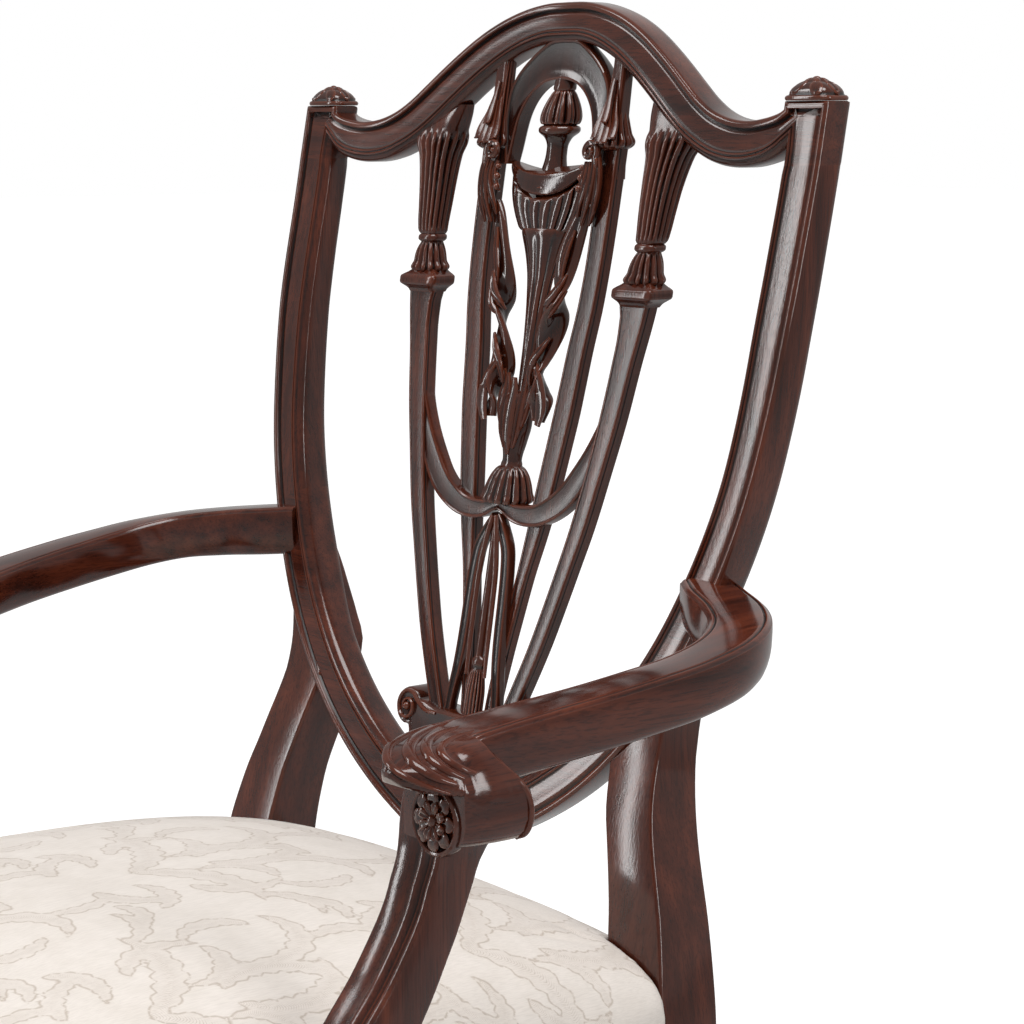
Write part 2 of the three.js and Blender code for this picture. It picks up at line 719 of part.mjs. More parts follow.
// Arms spring from the back and end over their supports, which stand on the side rails.
const HAND_X = sideX(ARM_NOSE + SUPPORT_FOOT_BEHIND_NOSE) + HAND_OUT;
const ARM_REAR_Y = frontPlane(heightAt(ARM_REAR_HEIGHT_SHARE)) + ARM_BEHIND_FRONT;
const ARM_PATH = ARM_PATH_SHARES.map(([out, reach, height, width, thickness]) => [
  out * THREE.MathUtils.lerp(EAR_REACH, HAND_X, reach),
  THREE.MathUtils.lerp(ARM_REAR_Y, ARM_NOSE, reach),
  heightAt(height),
  width * ARM_WIDTH,
  thickness * ARM_THICKNESS,
]);
const KNUCKLE_SECTIONS = KNUCKLE_SHARES.map(([behind, inner, outer, top, low]) => [
  ARM_NOSE + behind * HAND_WIDTH,
  HAND_X + inner * HAND_WIDTH,
  HAND_X + outer * HAND_WIDTH,
  heightAt(top),
  heightAt(low),
]);
const SUPPORT_SECTIONS = SUPPORT_SHARES.map(([height, front, back, inner, outer]) => [
  heightAt(height),
  ARM_NOSE + front * SUPPORT_DEPTH,
  ARM_NOSE + back * SUPPORT_DEPTH,
  HAND_X + inner * SUPPORT_DEPTH,
  HAND_X + outer * SUPPORT_DEPTH,
]);
const FRONT_LEG_SECTIONS = [
  [RAIL_TOP, FRONT_LEG_SIZE],
  [RAIL_BOTTOM, FRONT_LEG_SIZE],
  ...FRONT_LEG_SHARES.map(([height, size]) => [
    Math.max(height * RAIL_BOTTOM, LEG_FOOT),
    size * FRONT_LEG_SIZE,
  ]),
];

// Small helpers.

// The crest is hollowed towards the middle.
function crestHollow(x) {
  const softened = Math.hypot(x, HOLLOW_SOFTENING) - HOLLOW_SOFTENING;
  return CREST_HOLLOW * Math.max(0, 1 - softened / CREST_HOLLOW_REACH);
}

// Smooth curve through the points, cut into equal shares.
function smoothPoints(points, count) {
  const curve = new THREE.CatmullRomCurve3(
    points.map((p) => new THREE.Vector3(p[0], p[1], p[2] ?? 0)),
    false,
    "centripetal",
  );
  return Array.from({ length: count + 1 }, (_, i) => curve.getPointAt(i / count));
}

// Closed surface over rings of equal point counts, with a fan at each end.
function loft(rings) {
  const count = rings[0].length;
  const positions = [];
  rings.forEach((ring) => ring.forEach((p) => positions.push(p.x, p.y, p.z)));
  const index = [];
  for (let i = 0; i + 1 < rings.length; i++) {
    for (let k = 0; k < count; k++) {
      const a = i * count + k;
      const b = i * count + ((k + 1) % count);
      index.push(a, b, b + count, a, b + count, a + count);
    }
  }
  const closeEnd = (ring, first, reverse) => {
    const middle = ring.reduce((sum, p) => sum.add(p), new THREE.Vector3()).divideScalar(count);
    const centre = positions.length / 3;
    positions.push(middle.x, middle.y, middle.z);
    for (let k = 0; k < count; k++) {
      const a = first + k;
      const b = first + ((k + 1) % count);
      if (reverse) index.push(centre, b, a);
      else index.push(centre, a, b);
    }
  };
  closeEnd(rings[0], 0, true);
  closeEnd(rings[rings.length - 1], (rings.length - 1) * count, false);
  const geometry = new THREE.BufferGeometry();
  geometry.setAttribute("position", new THREE.Float32BufferAttribute(positions, 3));
  geometry.setIndex(index);
  return geometry;
}

// Rings moved outwards on all sides, used to cut the room for a joint.
function swell(rings, by) {
  if (!by) return rings;
  const centres = rings.map((ring) =>
    ring.reduce((sum, p) => sum.add(p), new THREE.Vector3()).divideScalar(ring.length),
  );
  const last = rings.length - 1;
  return rings.map((ring, i) => {
    const along = new THREE.Vector3();
    if (i === 0) along.subVectors(centres[0], centres[1]).setLength(by);
    if (i === last) along.subVectors(centres[last], centres[last - 1]).setLength(by);
    return ring.map((p) => {
      const away = new THREE.Vector3().subVectors(p, centres[i]);
      const length = away.length() || 1;
      return p.clone().addScaledVector(away, (by * SWELL_SHARE) / length).add(along);
    });
  });
}

// A geometry as a solid for joining and cutting.
function toSolid(geometry) {
  const bare = geometry.index ? geometry.toNonIndexed() : geometry.clone();
  bare.deleteAttribute("normal");
  bare.deleteAttribute("uv");
  const merged = mergeVertices(bare, MERGE_REACH);
  const made = new wasm.Manifold(
    new wasm.Mesh({
      numProp: 3,
      vertProperties: merged.attributes.position.array,
      triVerts: new Uint32Array(merged.index.array),
    }),
  );
  if (made.volume() >= 0) return made;
  const flipped = new Uint32Array(merged.index.array);
  for (let i = 0; i < flipped.length; i += 3) {
    [flipped[i + 1], flipped[i + 2]] = [flipped[i + 2], flipped[i + 1]];
  }
  return new wasm.Manifold(
    new wasm.Mesh({
      numProp: 3,
      vertProperties: merged.attributes.position.array,
      triVerts: flipped,
    }),
  );
}

// The largest body of a solid, when a cut leaves slivers.
function largest(solid) {
  const bodies = solid.decompose();
  if (bodies.length < 2) return solid;
  return bodies.reduce((best, b) => (b.volume() > best.volume() ? b : best));
}

function toGeometry(solid) {
  const mesh = solid.getMesh();
  const geometry = new THREE.BufferGeometry();
  const positions = new Float32Array(mesh.numVert * 3);
  for (let i = 0; i < mesh.numVert; i++) {
    for (let k = 0; k < 3; k++) {
      positions[3 * i + k] = mesh.vertProperties[i * mesh.numProp + k];
    }
  }
  geometry.setAttribute("position", new THREE.BufferAttribute(positions, 3));
  geometry.setIndex(new THREE.BufferAttribute(new Uint32Array(mesh.triVerts), 1));
  return geometry;
}

// The same solid on the other side of the chair.
function mirrored(solid) {
  const geometry = toGeometry(solid);
  geometry.scale(MIRROR_SIGN, 1, 1);
  return toSolid(geometry);
}

// Upright prism over a plan outline.
function prism(plan, bottom, top) {
  const shape = new THREE.Shape(plan.map((p) => new THREE.Vector2(p[0], p[1])));
  const geometry = new THREE.ExtrudeGeometry(shape, {
    depth: top - bottom,
    bevelEnabled: false,
  });
  geometry.translate(0, 0, bottom);
  return toSolid(geometry);
}

// Round rod between two points.
function rod(from, to, radius) {
  const length = from.distanceTo(to);
  const geometry = new THREE.CylinderGeometry(radius, radius, length, SCREW_STEPS);
  geometry.rotateX(QUARTER_TURN);
  geometry.translate(0, 0, length * HALF_SHARE);
  const turn = new THREE.Quaternion().setFromUnitVectors(
    new THREE.Vector3(0, 0, 1),
    new THREE.Vector3().subVectors(to, from).normalize(),
  );
  geometry.applyQuaternion(turn);
  geometry.translate(from.x, from.y, from.z);
  return toSolid(geometry);
}

const vector = (x, y, z) => new THREE.Vector3(x, y, z);

// Shield frame.

// Offsets across a moulded member and their depths: bead, field, bead, rounded back.
function mouldedProfile(width, depth) {
  const bead = Math.min(BEAD_WIDTH, width * BEAD_MOST_SHARE);
  const round = Math.min(BACK_ROUND, width * BEAD_MOST_SHARE, depth * BEAD_MOST_SHARE);
  return [
    [0, EDGE_BREAK],
    [EDGE_BREAK, 0],
    [bead, 0],
    [bead + BEAD_SLOPE, FIELD_SINK],
    [width - bead - BEAD_SLOPE, FIELD_SINK],
    [width - bead, 0],
    [width - EDGE_BREAK, 0],
    [width, EDGE_BREAK],
    [width, depth - round],
    [width - round, depth],
    [round, depth],
    [0, depth - round],
  ];
}

// The same section without its hollows, for the room that a member needs.
function plainProfile(width, depth) {
  const round = Math.min(BACK_ROUND, width * BEAD_MOST_SHARE, depth * BEAD_MOST_SHARE);
  return [
    [0, 0],
    [width, 0],
    [width, depth - round],
    [width - round, depth],
    [round, depth],
    [0, depth - round],
  ];
}

// Rings of a member that lies between two edge curves on the leaning front plane.
function memberRings(edgeA, edgeB, frontAt, depthAt, profileOf) {
  return edgeA.map((a, i) => {
    const b = edgeB[i];
    const across = new THREE.Vector2(b.x - a.x, b.y - a.y);
    const width = across.length();
    across.normalize();
    return profileOf(width, depthAt(a.y)).map(([offset, sink]) => {
      const x = a.x + across.x * offset;
      const z = a.y + across.y * offset;
      return vector(x, frontAt(x, z) + sink, z);
    });
  });
}

// The inner edge of the shield: the outer edge moved inwards by the member's width.
function shieldEdges(from, to) {
  const outer = smoothPoints(SHIELD_OUTER, SHIELD_CUTS);
  const inner = outer.map((p, i) => {
    const before = outer[Math.max(0, i - 1)];
    const after = outer[Math.min(outer.length - 1, i + 1)];
    const along = new THREE.Vector2(after.x - before.x, after.y - before.y).normalize();
    if (i === outer.length - 1) along.set(-1, 0);
    if (i === 0) along.set(0, -1);
    return vector(p.x + along.y * SHIELD_WIDTH, p.y - along.x * SHIELD_WIDTH, 0);
  });
  return [outer.slice(from, to + 1), inner.slice(from, to + 1)];
}

function stileDepth(z) {
  const share = THREE.MathUtils.clamp((EAR_HEIGHT - z) / (EAR_HEIGHT - heightAt(STILE_LOW_SHARE)), 0, 1);
  return STILE_DEPTH_TOP + share * (STILE_DEPTH_LOW - STILE_DEPTH_TOP);
}

function shieldFront(x, z) {
  const share = THREE.MathUtils.clamp((EAR_HEIGHT - z) / SHIELD_PROUD_FADE, 0, 1);
  return frontPlane(z) - SHIELD_PROUD * share;
}

function stileSolid(swellBy) {
  const [outer, inner] = shieldEdges(0, SHIELD_JOINT_CUT);
  const profile = swellBy ? plainProfile : mouldedProfile;
  return toSolid(loft(swell(memberRings(outer, inner, shieldFront, stileDepth, profile), swellBy)));
}

// A square peg that runs on from the end of a member.
function pegRings(middle, along, widthWay, depthWay, width, depth, length) {
  const corners = [
    [-1, -1],
    [1, -1],
    [1, 1],
    [-1, 1],
  ];
  return [-length, length].map((reach) =>
    corners.map(([a, b]) =>
      middle
        .clone()
        .addScaledVector(along, reach)
        .addScaledVector(widthWay, a * width * HALF_SHARE)
        .addScaledVector(depthWay, b * depth * HALF_SHARE),
    ),
  );
}

// Tenon between the stile and the lower rail, at the cut of the shield.
function lowerRailTenon(swellBy) {
  const [outer, inner] = shieldEdges(SHIELD_JOINT_CUT - NEXT_CUT, SHIELD_JOINT_CUT + NEXT_CUT);
  const middle = vector(
    (outer[1].x + inner[1].x) * HALF_SHARE,
    0,
    (outer[1].y + inner[1].y) * HALF_SHARE,
  );
  middle.y = frontPlane(middle.z) + LOWER_RAIL_DEPTH * HALF_SHARE - SHIELD_PROUD;
  const along = vector(outer[0].x - outer[2].x, 0, outer[0].y - outer[2].y);
  along.y = RAKE_SHARE * along.z;
  along.normalize();
  const across = vector(inner[1].x - outer[1].x, 0, inner[1].y - outer[1].y);
  across.y = RAKE_SHARE * across.z;
  across.normalize();
  const deep = new THREE.Vector3().crossVectors(along, across).normalize();
  const rings = pegRings(
    middle,
    along,
    across,
    deep,
    RAIL_TENON_WIDTH,
    RAIL_TENON_DEPTH,
    RAIL_TENON_LENGTH,
  );
  return toSolid(loft(swell(rings, swellBy)));
}

function stileTenon(swellBy) {
  const middle = vector(
    SHIELD_OUTER[0][0] - SHIELD_WIDTH * HALF_SHARE,
    0,
    SHIELD_OUTER[0][1] - JOINT_GAP,
  );
  middle.y = frontPlane(middle.z) + STILE_DEPTH_TOP * HALF_SHARE - SHIELD_PROUD;
  const along = vector(0, RAKE_SHARE, 1).normalize();
  const rings = pegRings(
    middle,
    along,
    vector(1, 0, 0),
    new THREE.Vector3().crossVectors(along, vector(1, 0, 0)),
    STILE_TENON_WIDTH,
    STILE_TENON_DEPTH,
    STILE_TENON_LENGTH,
  );
  return toSolid(loft(swell(rings, swellBy)));
}

// Post and leg: four-sided with broken edges, one section per row of the table.
function postRings() {
  const heights = [];
  const rows = POST_SECTIONS;
  for (let i = 0; i + 1 < rows.length; i++) {
    heights.push(rows[i]);
  }
  heights.push(rows[rows.length - 1]);
  const curve = new THREE.CatmullRomCurve3(
    heights.map((r) => vector(r[1], r[2], r[0])),
    false,
    "centripetal",
  );
  const depthCurve = new THREE.CatmullRomCurve3(
    heights.map((r) => vector(r[3], r[4], r[0])),
    false,
    "centripetal",
  );
  const last = heights.length - 1;
  return Array.from({ length: POST_CUTS + 1 }, (_, i) => {
    const t = i / POST_CUTS;
    const sides = curve.getPoint(t);
    const faces = depthCurve.getPoint(t);
    const z = t === 1 ? heights[last][0] : sides.z;
    return brokenSquare(sides.x, sides.y, faces.x, faces.y, z, LEG_EDGE_BREAK);
  });
}

function brokenSquare(left, right, front, back, z, edge) {
  return [
    vector(left + edge, front, z),
    vector(right - edge, front, z),
    vector(right, front + edge, z),
    vector(right, back - edge, z),
    vector(right - edge, back, z),
    vector(left + edge, back, z),
    vector(left, back - edge, z),
    vector(left, front + edge, z),
  ];
}

function lowerRailSolid(swellBy) {
  const [outer, inner] = shieldEdges(SHIELD_JOINT_CUT, SHIELD_CUTS);
  const flip = (p) => vector(-p.x, p.y, 0);
  const pull = (edge) => edge.map((p) => p.clone());
  const rightOuter = pull(outer);
  const rightInner = pull(inner);
  const leftOuter = outer.slice(0, -1).map(flip).reverse();
  const leftInner = inner.slice(0, -1).map(flip).reverse();
  const gapShare = JOINT_GAP / outer[0].distanceTo(outer[1]);
  rightOuter[0].lerp(rightOuter[1], gapShare);
  rightInner[0].lerp(rightInner[1], gapShare);
  const lastLeft = leftOuter.length - 1;
  leftOuter[lastLeft].lerp(leftOuter[lastLeft - 1], gapShare);
  leftInner[lastLeft].lerp(leftInner[lastLeft - 1], gapShare);
  const rings = memberRings(
    [...rightOuter, ...leftOuter],
    [...rightInner, ...leftInner],
    shieldFront,
    () => LOWER_RAIL_DEPTH,
    swellBy ? plainProfile : mouldedProfile,
  );
  return toSolid(loft(swell(rings, swellBy)));
}

// Crest rail from ear to ear.
function crestSolid() {
  const flip = (p) => [-p[0], p[1]];
  const both = (table) => [...table, ...table.slice(0, -1).map(flip).reverse()];
  const top = both(CREST_TOP).map((p) => vector(p[0], p[1], 0));
  const low = both(CREST_LOW).map((p) => vector(p[0], p[1], 0));
  const front = (x, z) => frontPlane(z) + crestHollow(x);
  const rings = memberRings(top, low, front, () => CREST_DEPTH, mouldedProfile);
  return toSolid(loft(rings));
}

// Carved caps that sit on the ears of the crest.
function earCarving() {
  const rings = [];
  const base = CREST_TOP[0][1] + JOINT_GAP;
  const centre = outAt(EAR_CAP_CENTRE_SHARE);
  for (let i = 0; i <= EAR_CAP_CUTS; i++) {
    const share = (2 * i) / EAR_CAP_CUTS - 1;
    const arc = Math.sqrt(Math.max(EAR_CAP_LEAST_SHARE, 1 - share * share));
    const groove = Math.abs(Math.sin(share * EAR_CAP_LEAVES * HALF_SHARE * Math.PI));
    const height = Math.max(EAR_CAP_HEIGHT * arc - EAR_CAP_GROOVE * (1 - groove), EAR_CAP_LIP);
    const x = centre + share * EAR_CAP_HALF_LENGTH;
    const middle = frontPlane(base) + EAR_CAP_HALF_DEPTH - EAR_CAP_OVERHANG;
    const ring = [];
    for (let k = 0; k <= EAR_CAP_ARC; k++) {
      const angle = (Math.PI * k) / EAR_CAP_ARC;
      ring.push(
        vector(
          x,
          middle - Math.cos(angle) * EAR_CAP_HALF_DEPTH,
          base + Math.sin(angle) * height,
        ),
      );
    }
    rings.push(ring);
  }
  return toSolid(loft(rings));
}

// Banisters.

// Flat front with a step on each side, as on the real bars.
function steppedProfile(inner, outer, front, depth) {
  const step = Math.min(BANISTER_STEP, (outer - inner) * BEAD_MOST_SHARE);
  return [
    [inner + step * HALF_SHARE, front],
    [outer - step * HALF_SHARE, front],
    [outer - step * HALF_SHARE, front + BANISTER_LIP],
    [outer, front + BANISTER_LIP + BANISTER_STEP * HALF_SHARE],
    [outer, front + depth],
    [inner, front + depth],
    [inner, front + BANISTER_LIP + BANISTER_STEP * HALF_SHARE],
    [inner + step * HALF_SHARE, front + BANISTER_LIP],
  ];
}

function bandRings(rows, setBack, depth, extra) {
  return rows.map((row) => {
    const [z, inner, outer] = row;
    const more = extra ? extra(z) : 0;
    const front = frontPlane(z) + setBack - more;
    return steppedProfile(inner, outer, front, depth + 2 * more).map(([x, y]) => vector(x, y, z));
  });
}

// More rows between the rows of a table, on smooth curves.
function refine(table, cuts) {
  const curve = new THREE.CatmullRomCurve3(
    table.map((r) => vector(r[1], r[2], r[0])),
    false,
    "centripetal",
  );
  return Array.from({ length: cuts + 1 }, (_, i) => {
    const p = curve.getPoint(i / cuts);
    return [p.z, p.x, p.y];
  });
}

// Carved section: a rounded square whose front and sides carry upright leaf ribs.
function leafRing(z, inner, outer, front, back, ribs, ribDepth) {
  const centreX = (inner + outer) * HALF_SHARE;
  const centreY = (front + back) * HALF_SHARE;
  const halfX = (outer - inner) * HALF_SHARE;
  const halfY = (back - front) * HALF_SHARE;
  return Array.from({ length: FINE_STEPS }, (_, k) => {
    const angle = (2 * Math.PI * k) / FINE_STEPS;
    const c = Math.cos(angle);
    const s = Math.sin(angle);
    const powers = Math.abs(c) ** SQUARE_POWER + Math.abs(s) ** SQUARE_POWER;
    const square = 1 / Math.pow(powers, 1 / SQUARE_POWER);
    const wave = (1 - Math.cos(angle * ribs)) * HALF_SHARE;
    const cut = 1 - (ribDepth * wave) / Math.max(halfX, halfY);
    return vector(centreX + halfX * c * square * cut, centreY + halfY * s * square * cut, z);
  });
}

function capitalSolid(swellBy) {
  const rings = CAPITAL.map(([z, inner, outer, front, back]) => {
    const plane = frontPlane(z);
    const onCup = z > heightAt(CAPITAL_CUP_FOOT_SHARE) && z < heightAt(CAPITAL_CUP_HEAD_SHARE);
    const leafy = z > heightAt(CAPITAL_LEAF_FOOT_SHARE) || onCup;
    const depth = leafy ? CAPITAL_RIB_DEPTH : 0;
    return leafRing(z, inner, outer, plane + front, plane + back, CAPITAL_RIBS, depth);
  });
  return toSolid(loft(swell(rings, swellBy)));
}

function outerBanister(swellBy) {
  const rings = bandRings(
    refine(OUTER_BANISTER, BANISTER_CUTS),
    OUTER_BANISTER_SET_BACK,
    OUTER_BANISTER_DEPTH,
  );
  return toSolid(loft(swell(rings, swellBy))).add(capitalSolid(swellBy));
}

function innerBanister(swellBy) {
  const extra = (z) => (z >= POST_CAPITAL_FOOT ? POST_CAPITAL_EXTRA : 0);
  const posts = INNER_BANISTER.filter((r) => r[0] >= POST_CAPITAL_FOOT - POST_CAPITAL_STEP);
  const shaft = INNER_BANISTER.filter((r) => r[0] <= POST_CAPITAL_FOOT);
  const below = refine(shaft, BANISTER_CUTS).filter(
    (r) => r[0] < POST_CAPITAL_FOOT - 2 * POST_CAPITAL_STEP,
  );
  const rows = [...posts, ...below];
  const rings = bandRings(rows, INNER_BANISTER_SET_BACK, INNER_BANISTER_DEPTH, extra);
  return toSolid(loft(swell(rings, swellBy)));
}

// Middle ornament.

function archSolid(swellBy) {
  const outer = smoothPoints(ARCH_OUTER, ARCH_CUTS);
  const inner = smoothPoints(ARCH_INNER, ARCH_CUTS);
  const flip = (p) => vector(-p.x, p.y, 0);
  const whole = (edge) => [...[...edge].reverse(), ...edge.slice(1).map(flip)];
  const plain = (width, depth) => [
    [0, 0],
    [width, 0],
    [width, depth],
    [0, depth],
  ];
  const front = (x, z) => frontPlane(z) + ARCH_SET_BACK;
  const rings = memberRings(whole(outer), whole(inner), front, () => ARCH_DEPTH, plain);
  return toSolid(loft(swell(rings, swellBy)));
}

// Turned or lobed body that stands on the leaning plane: rows of z and half width.
function lobedSolid(rows, options, swellBy) {
  const rings = rows.map(([z, half]) => {
    const depth = Math.max(half * options.depthShare, options.leastDepth ?? 0);
    const lobed = z >= options.lobeFoot && z <= options.lobeHead;
    const plane = frontPlane(z) + options.axis;
    return Array.from({ length: options.steps }, (_, k) => {
      const angle = (2 * Math.PI * k) / options.steps;
      const wave = 1 - Math.abs(Math.sin(angle * options.lobes * HALF_SHARE));
      const lobe = lobed ? options.lobeDepth * wave : 0;
      const share = Math.max(LOBE_LEAST_SHARE, 1 - lobe / half);
      const x = half * Math.cos(angle) * share;
      const sag = options.sag ? options.sag(x, z) : 0;
      return vector(x, plane + depth * Math.sin(angle) * share, z - sag);
    });
  });
  return toSolid(loft(swell(rings, swellBy)));
}

function finialSolid(swellBy) {
  const rows = FINIAL_PROFILE.filter((r) => r[1] > 0);
  return lobedSolid(
    rows,
    {
      depthShare: FINIAL_DEPTH_SHARE,
      lobeFoot: heightAt(FINIAL_LOBE_FOOT_SHARE),
      lobeHead: heightAt(FINIAL_LOBE_HEAD_SHARE),
      lobeDepth: FINIAL_LOBE_DEPTH,
      lobes: FINIAL_LOBES,
      axis: FINIAL_AXIS_SET_BACK,
      steps: 2 * FINIAL_LOBES,
    },
    swellBy,
  );
}

// Path with a flat elliptical section, standing on the leaning plane.
function flatPath(points, setBack, halfDepth, count, swellBy, turnOf) {
  const curve = new THREE.CatmullRomCurve3(
    points.map((p) => vector(p[0], p[1], p[2])),
    false,
    "centripetal",
  );
  const turns = new THREE.CatmullRomCurve3(
    points.map((p, i) => vector(i, p[3] ?? 0, 0)),
    false,
    "catmullrom",
  );
  const rings = [];
  for (let i = 0; i <= count; i++) {
    const t = i / count;
    const p = curve.getPoint(t);
    const ahead = curve.getPoint(Math.min(1, t + PATH_STEP_SHARE));
    const behind = curve.getPoint(Math.max(0, t - PATH_STEP_SHARE));
    const along = new THREE.Vector2(ahead.x - behind.x, ahead.y - behind.y).normalize();
    const turn = turnOf ? toRadians(turns.getPoint(t).y) : 0;
    const ring = [];
    for (let k = 0; k < PATH_SECTION_STEPS; k++) {
      const angle = (2 * Math.PI * k) / PATH_SECTION_STEPS;
      const u = p.z * Math.cos(angle);
      const v = halfDepth * Math.sin(angle);
      const across = u * Math.cos(turn) - v * Math.sin(turn);
      const deep = u * Math.sin(turn) + v * Math.cos(turn);
      const x = p.x - along.y * across;
      const z = p.y + along.x * across;
      ring.push(vector(x, frontPlane(z) + setBack + deep, z));
    }
    rings.push(ring);
  }
  return toSolid(loft(swell(rings, swellBy)));
}

function urnSolid(swellBy) {
  const sag = (x, z) => {
    const share = Math.min(1, Math.abs(x) / URN_SECTIONS[0][1]);
    const fall = (z - URN_LEAF_FOOT) / (URN_SECTIONS[0][0] - URN_LEAF_FOOT);
    const fade = THREE.MathUtils.clamp(fall, 0, 1);
    return RIM_SAG * (1 - share * share) * fade;
  };
  const body = lobedSolid(
    URN_SECTIONS,
    {
      depthShare: URN_DEPTH_SHARE,
      leastDepth: URN_LEAST_HALF_DEPTH,
      lobeFoot: 0,
      lobeHead: heightAt(URN_LEAF_HEAD_SHARE),
      lobeDepth: URN_LEAF_DEPTH,
      lobes: URN_LEAVES,
      axis: URN_AXIS_SET_BACK,
      steps: 2 * URN_LEAVES,
      sag,
    },
    swellBy,
  );
  const right = flatPath(SCROLL_PATH, URN_AXIS_SET_BACK, SCROLL_HALF_DEPTH, SCROLL_CUTS, swellBy);
  return body.add(right).add(mirrored(right));
}

function bellSolid(swellBy) {
  return lobedSolid(
    BELL_PROFILE,
    {
      depthShare: BELL_DEPTH_SHARE,
      lobeFoot: 0,
      lobeHead: BELL_PROFILE[0][0],
      lobeDepth: BELL_LOBE_DEPTH,
      lobes: BELL_LOBES,
      axis: BELL_AXIS_SET_BACK,
      steps: 2 * BELL_LOBES,
    },
    swellBy,
  );
}

const draperySolid = (swellBy) =>
  flatPath(
    DRAPERY_PATH,
    DRAPERY_SET_BACK,
    DRAPERY_HALF_THICKNESS,
    DRAPERY_CUTS,
    swellBy,
    true,
  );

const swagSolid = (swellBy) =>
  flatPath(SWAG_PATH, SWAG_SET_BACK, SWAG_HALF_DEPTH, SWAG_CUTS, swellBy);

function strandSolid(swellBy) {
  const side = flatPath(SIDE_STRAND, STRAND_SET_BACK, STRAND_HALF_DEPTH, STRAND_CUTS, swellBy);
  const middle = lobedSolid(
    MIDDLE_STRAND,
    {
      depthShare: MIDDLE_DEPTH_SHARE,
      leastDepth: MIDDLE_LEAST_HALF_DEPTH,
      lobeFoot: 1,
      lobeHead: 0,
      lobeDepth: 0,
      lobes: 1,
      axis: STRAND_SET_BACK,
      steps: PATH_SECTION_STEPS,
    },
    swellBy,
  );
  return middle.add(side).add(mirrored(side));
}

// Disc that faces the front, on the leaning plane.
function frontDisc(x, z, radius, from, to) {
  const geometry = new THREE.CylinderGeometry(radius, radius, to - from, ROUND_STEPS);
  geometry.translate(x, (from + to) * HALF_SHARE, 0);
  const positions = geometry.attributes.position;
  for (let i = 0; i < positions.count; i++) {
    const up = z + positions.getZ(i);
    positions.setXYZ(i, positions.getX(i), frontPlane(up) + positions.getY(i), up);
  }
  return toSolid(geometry);
}

// Body of the shoe; grown, it cuts its housing in the lower rail.
function shoeBlock(g) {
  const shoulder = VOLUTE_CENTRE_Z - VOLUTE_RADIUS * HALF_SHARE;
  const wide = outAt(SHOE_WIDTH_SHARE) + g;
  const neck = outAt(SHOE_NECK_SHARE);
  const sole = outAt(SHOE_SOLE_SHARE) + g;
  const hip = heightAt(SHOE_HIP_SHARE) - g;
  const bottom = heightAt(SHOE_BOTTOM_SHARE) - g;
  const top = heightAt(SHOE_TOP_SHARE);
  const outline = [
    [-wide, shoulder],
    [-wide, hip],
    [-sole, bottom],
    [sole, bottom],
    [wide, hip],
    [wide, shoulder],
    [neck, top - SHOE_SINK],
    [0, top],
    [-neck, top - SHOE_SINK],
  ];
  const shape = new THREE.Shape(outline.map((p) => new THREE.Vector2(p[0], p[1])));
  const geometry = new THREE.ExtrudeGeometry(shape, {
    depth: SHOE_DEPTH + 2 * g,
    bevelEnabled: false,
  });
  const positions = geometry.attributes.position;
  for (let i = 0; i < positions.count; i++) {
    const z = positions.getY(i);
    const y = frontPlane(z) + SHOE_SET_BACK - g + positions.getZ(i);
    positions.setXYZ(i, positions.getX(i), y, z);
  }
  return toSolid(geometry);
}

function shoeSolid() {
  let shoe = shoeBlock(0);
  for (const side of [-1, 1]) {
    const x = side * VOLUTE_CENTRE_X;
    const front = SHOE_SET_BACK - VOLUTE_EYE_PROUD;
    const back = SHOE_SET_BACK + SHOE_DEPTH;
    shoe = shoe.add(frontDisc(x, VOLUTE_CENTRE_Z, VOLUTE_RADIUS, front, back));
    const channel = frontDisc(
      x,
      VOLUTE_CENTRE_Z,
      VOLUTE_CHANNEL_RADIUS,
      front - VOLUTE_CHANNEL_DEPTH,
      front + VOLUTE_CHANNEL_DEPTH,
    );
    const eye = frontDisc(x, VOLUTE_CENTRE_Z, VOLUTE_EYE_RADIUS, front, back);
    shoe = shoe.subtract(channel).add(eye);
  }
  return shoe;
}

// Arms.

// Section of an arm: crowned top with a sunk edge, rounded outer side, flat underside.
function armSection(width, height) {
  const edge = Math.min(ARM_EDGE_WIDTH, width * BEAD_MOST_SHARE);
  const half = width * HALF_SHARE;
  const flat = Math.max(half - edge, half * HALF_SHARE);
  return [
    [-flat, 0],
    [0, ARM_CROWN],
    [flat, 0],
    [half - ARM_EDGE_SINK, -ARM_EDGE_SINK],
    [half, -height * ARM_SHOULDER_SHARE],
    [half, -height * ARM_WAIST_SHARE],
    [half * ARM_UNDER_SHARE, -height],
    [-half * ARM_UNDER_SHARE, -height],
    [-half, -height * ARM_WAIST_SHARE],
    [-half, -height * ARM_SHOULDER_SHARE],
    [-half + ARM_EDGE_SINK, -ARM_EDGE_SINK],
  ];
}

function armRaw(swellBy) {
  const path = new THREE.CatmullRomCurve3(
    ARM_PATH.map((p) => vector(p[0], p[1], p[2])),
    false,
    "centripetal",
  );
  const sizes = new THREE.CatmullRomCurve3(
    ARM_PATH.map((p, i) => vector(p[3], p[4], i)),
    false,
    "catmullrom",
  );
  const rings = [];
  for (let i = 0; i <= ARM_CUTS; i++) {
    const t = i / ARM_CUTS;
    const p = path.getPoint(t);
    const size = sizes.getPoint(t);
    const ahead = path.getPoint(Math.min(1, t + PATH_STEP_SHARE));
    const behind = path.getPoint(Math.max(0, t - PATH_STEP_SHARE));
    const along = vector(ahead.x - behind.x, ahead.y - behind.y, 0).normalize();
    const outward = vector(-along.y, along.x, 0);
    rings.push(
      armSection(size.x, size.y).map(([u, v]) =>
        vector(p.x + outward.x * u, p.y + outward.y * u, p.z + v),
      ),
    );
  }
  return toSolid(loft(swell(rings, swellBy))).add(knuckleSolid(swellBy));
}

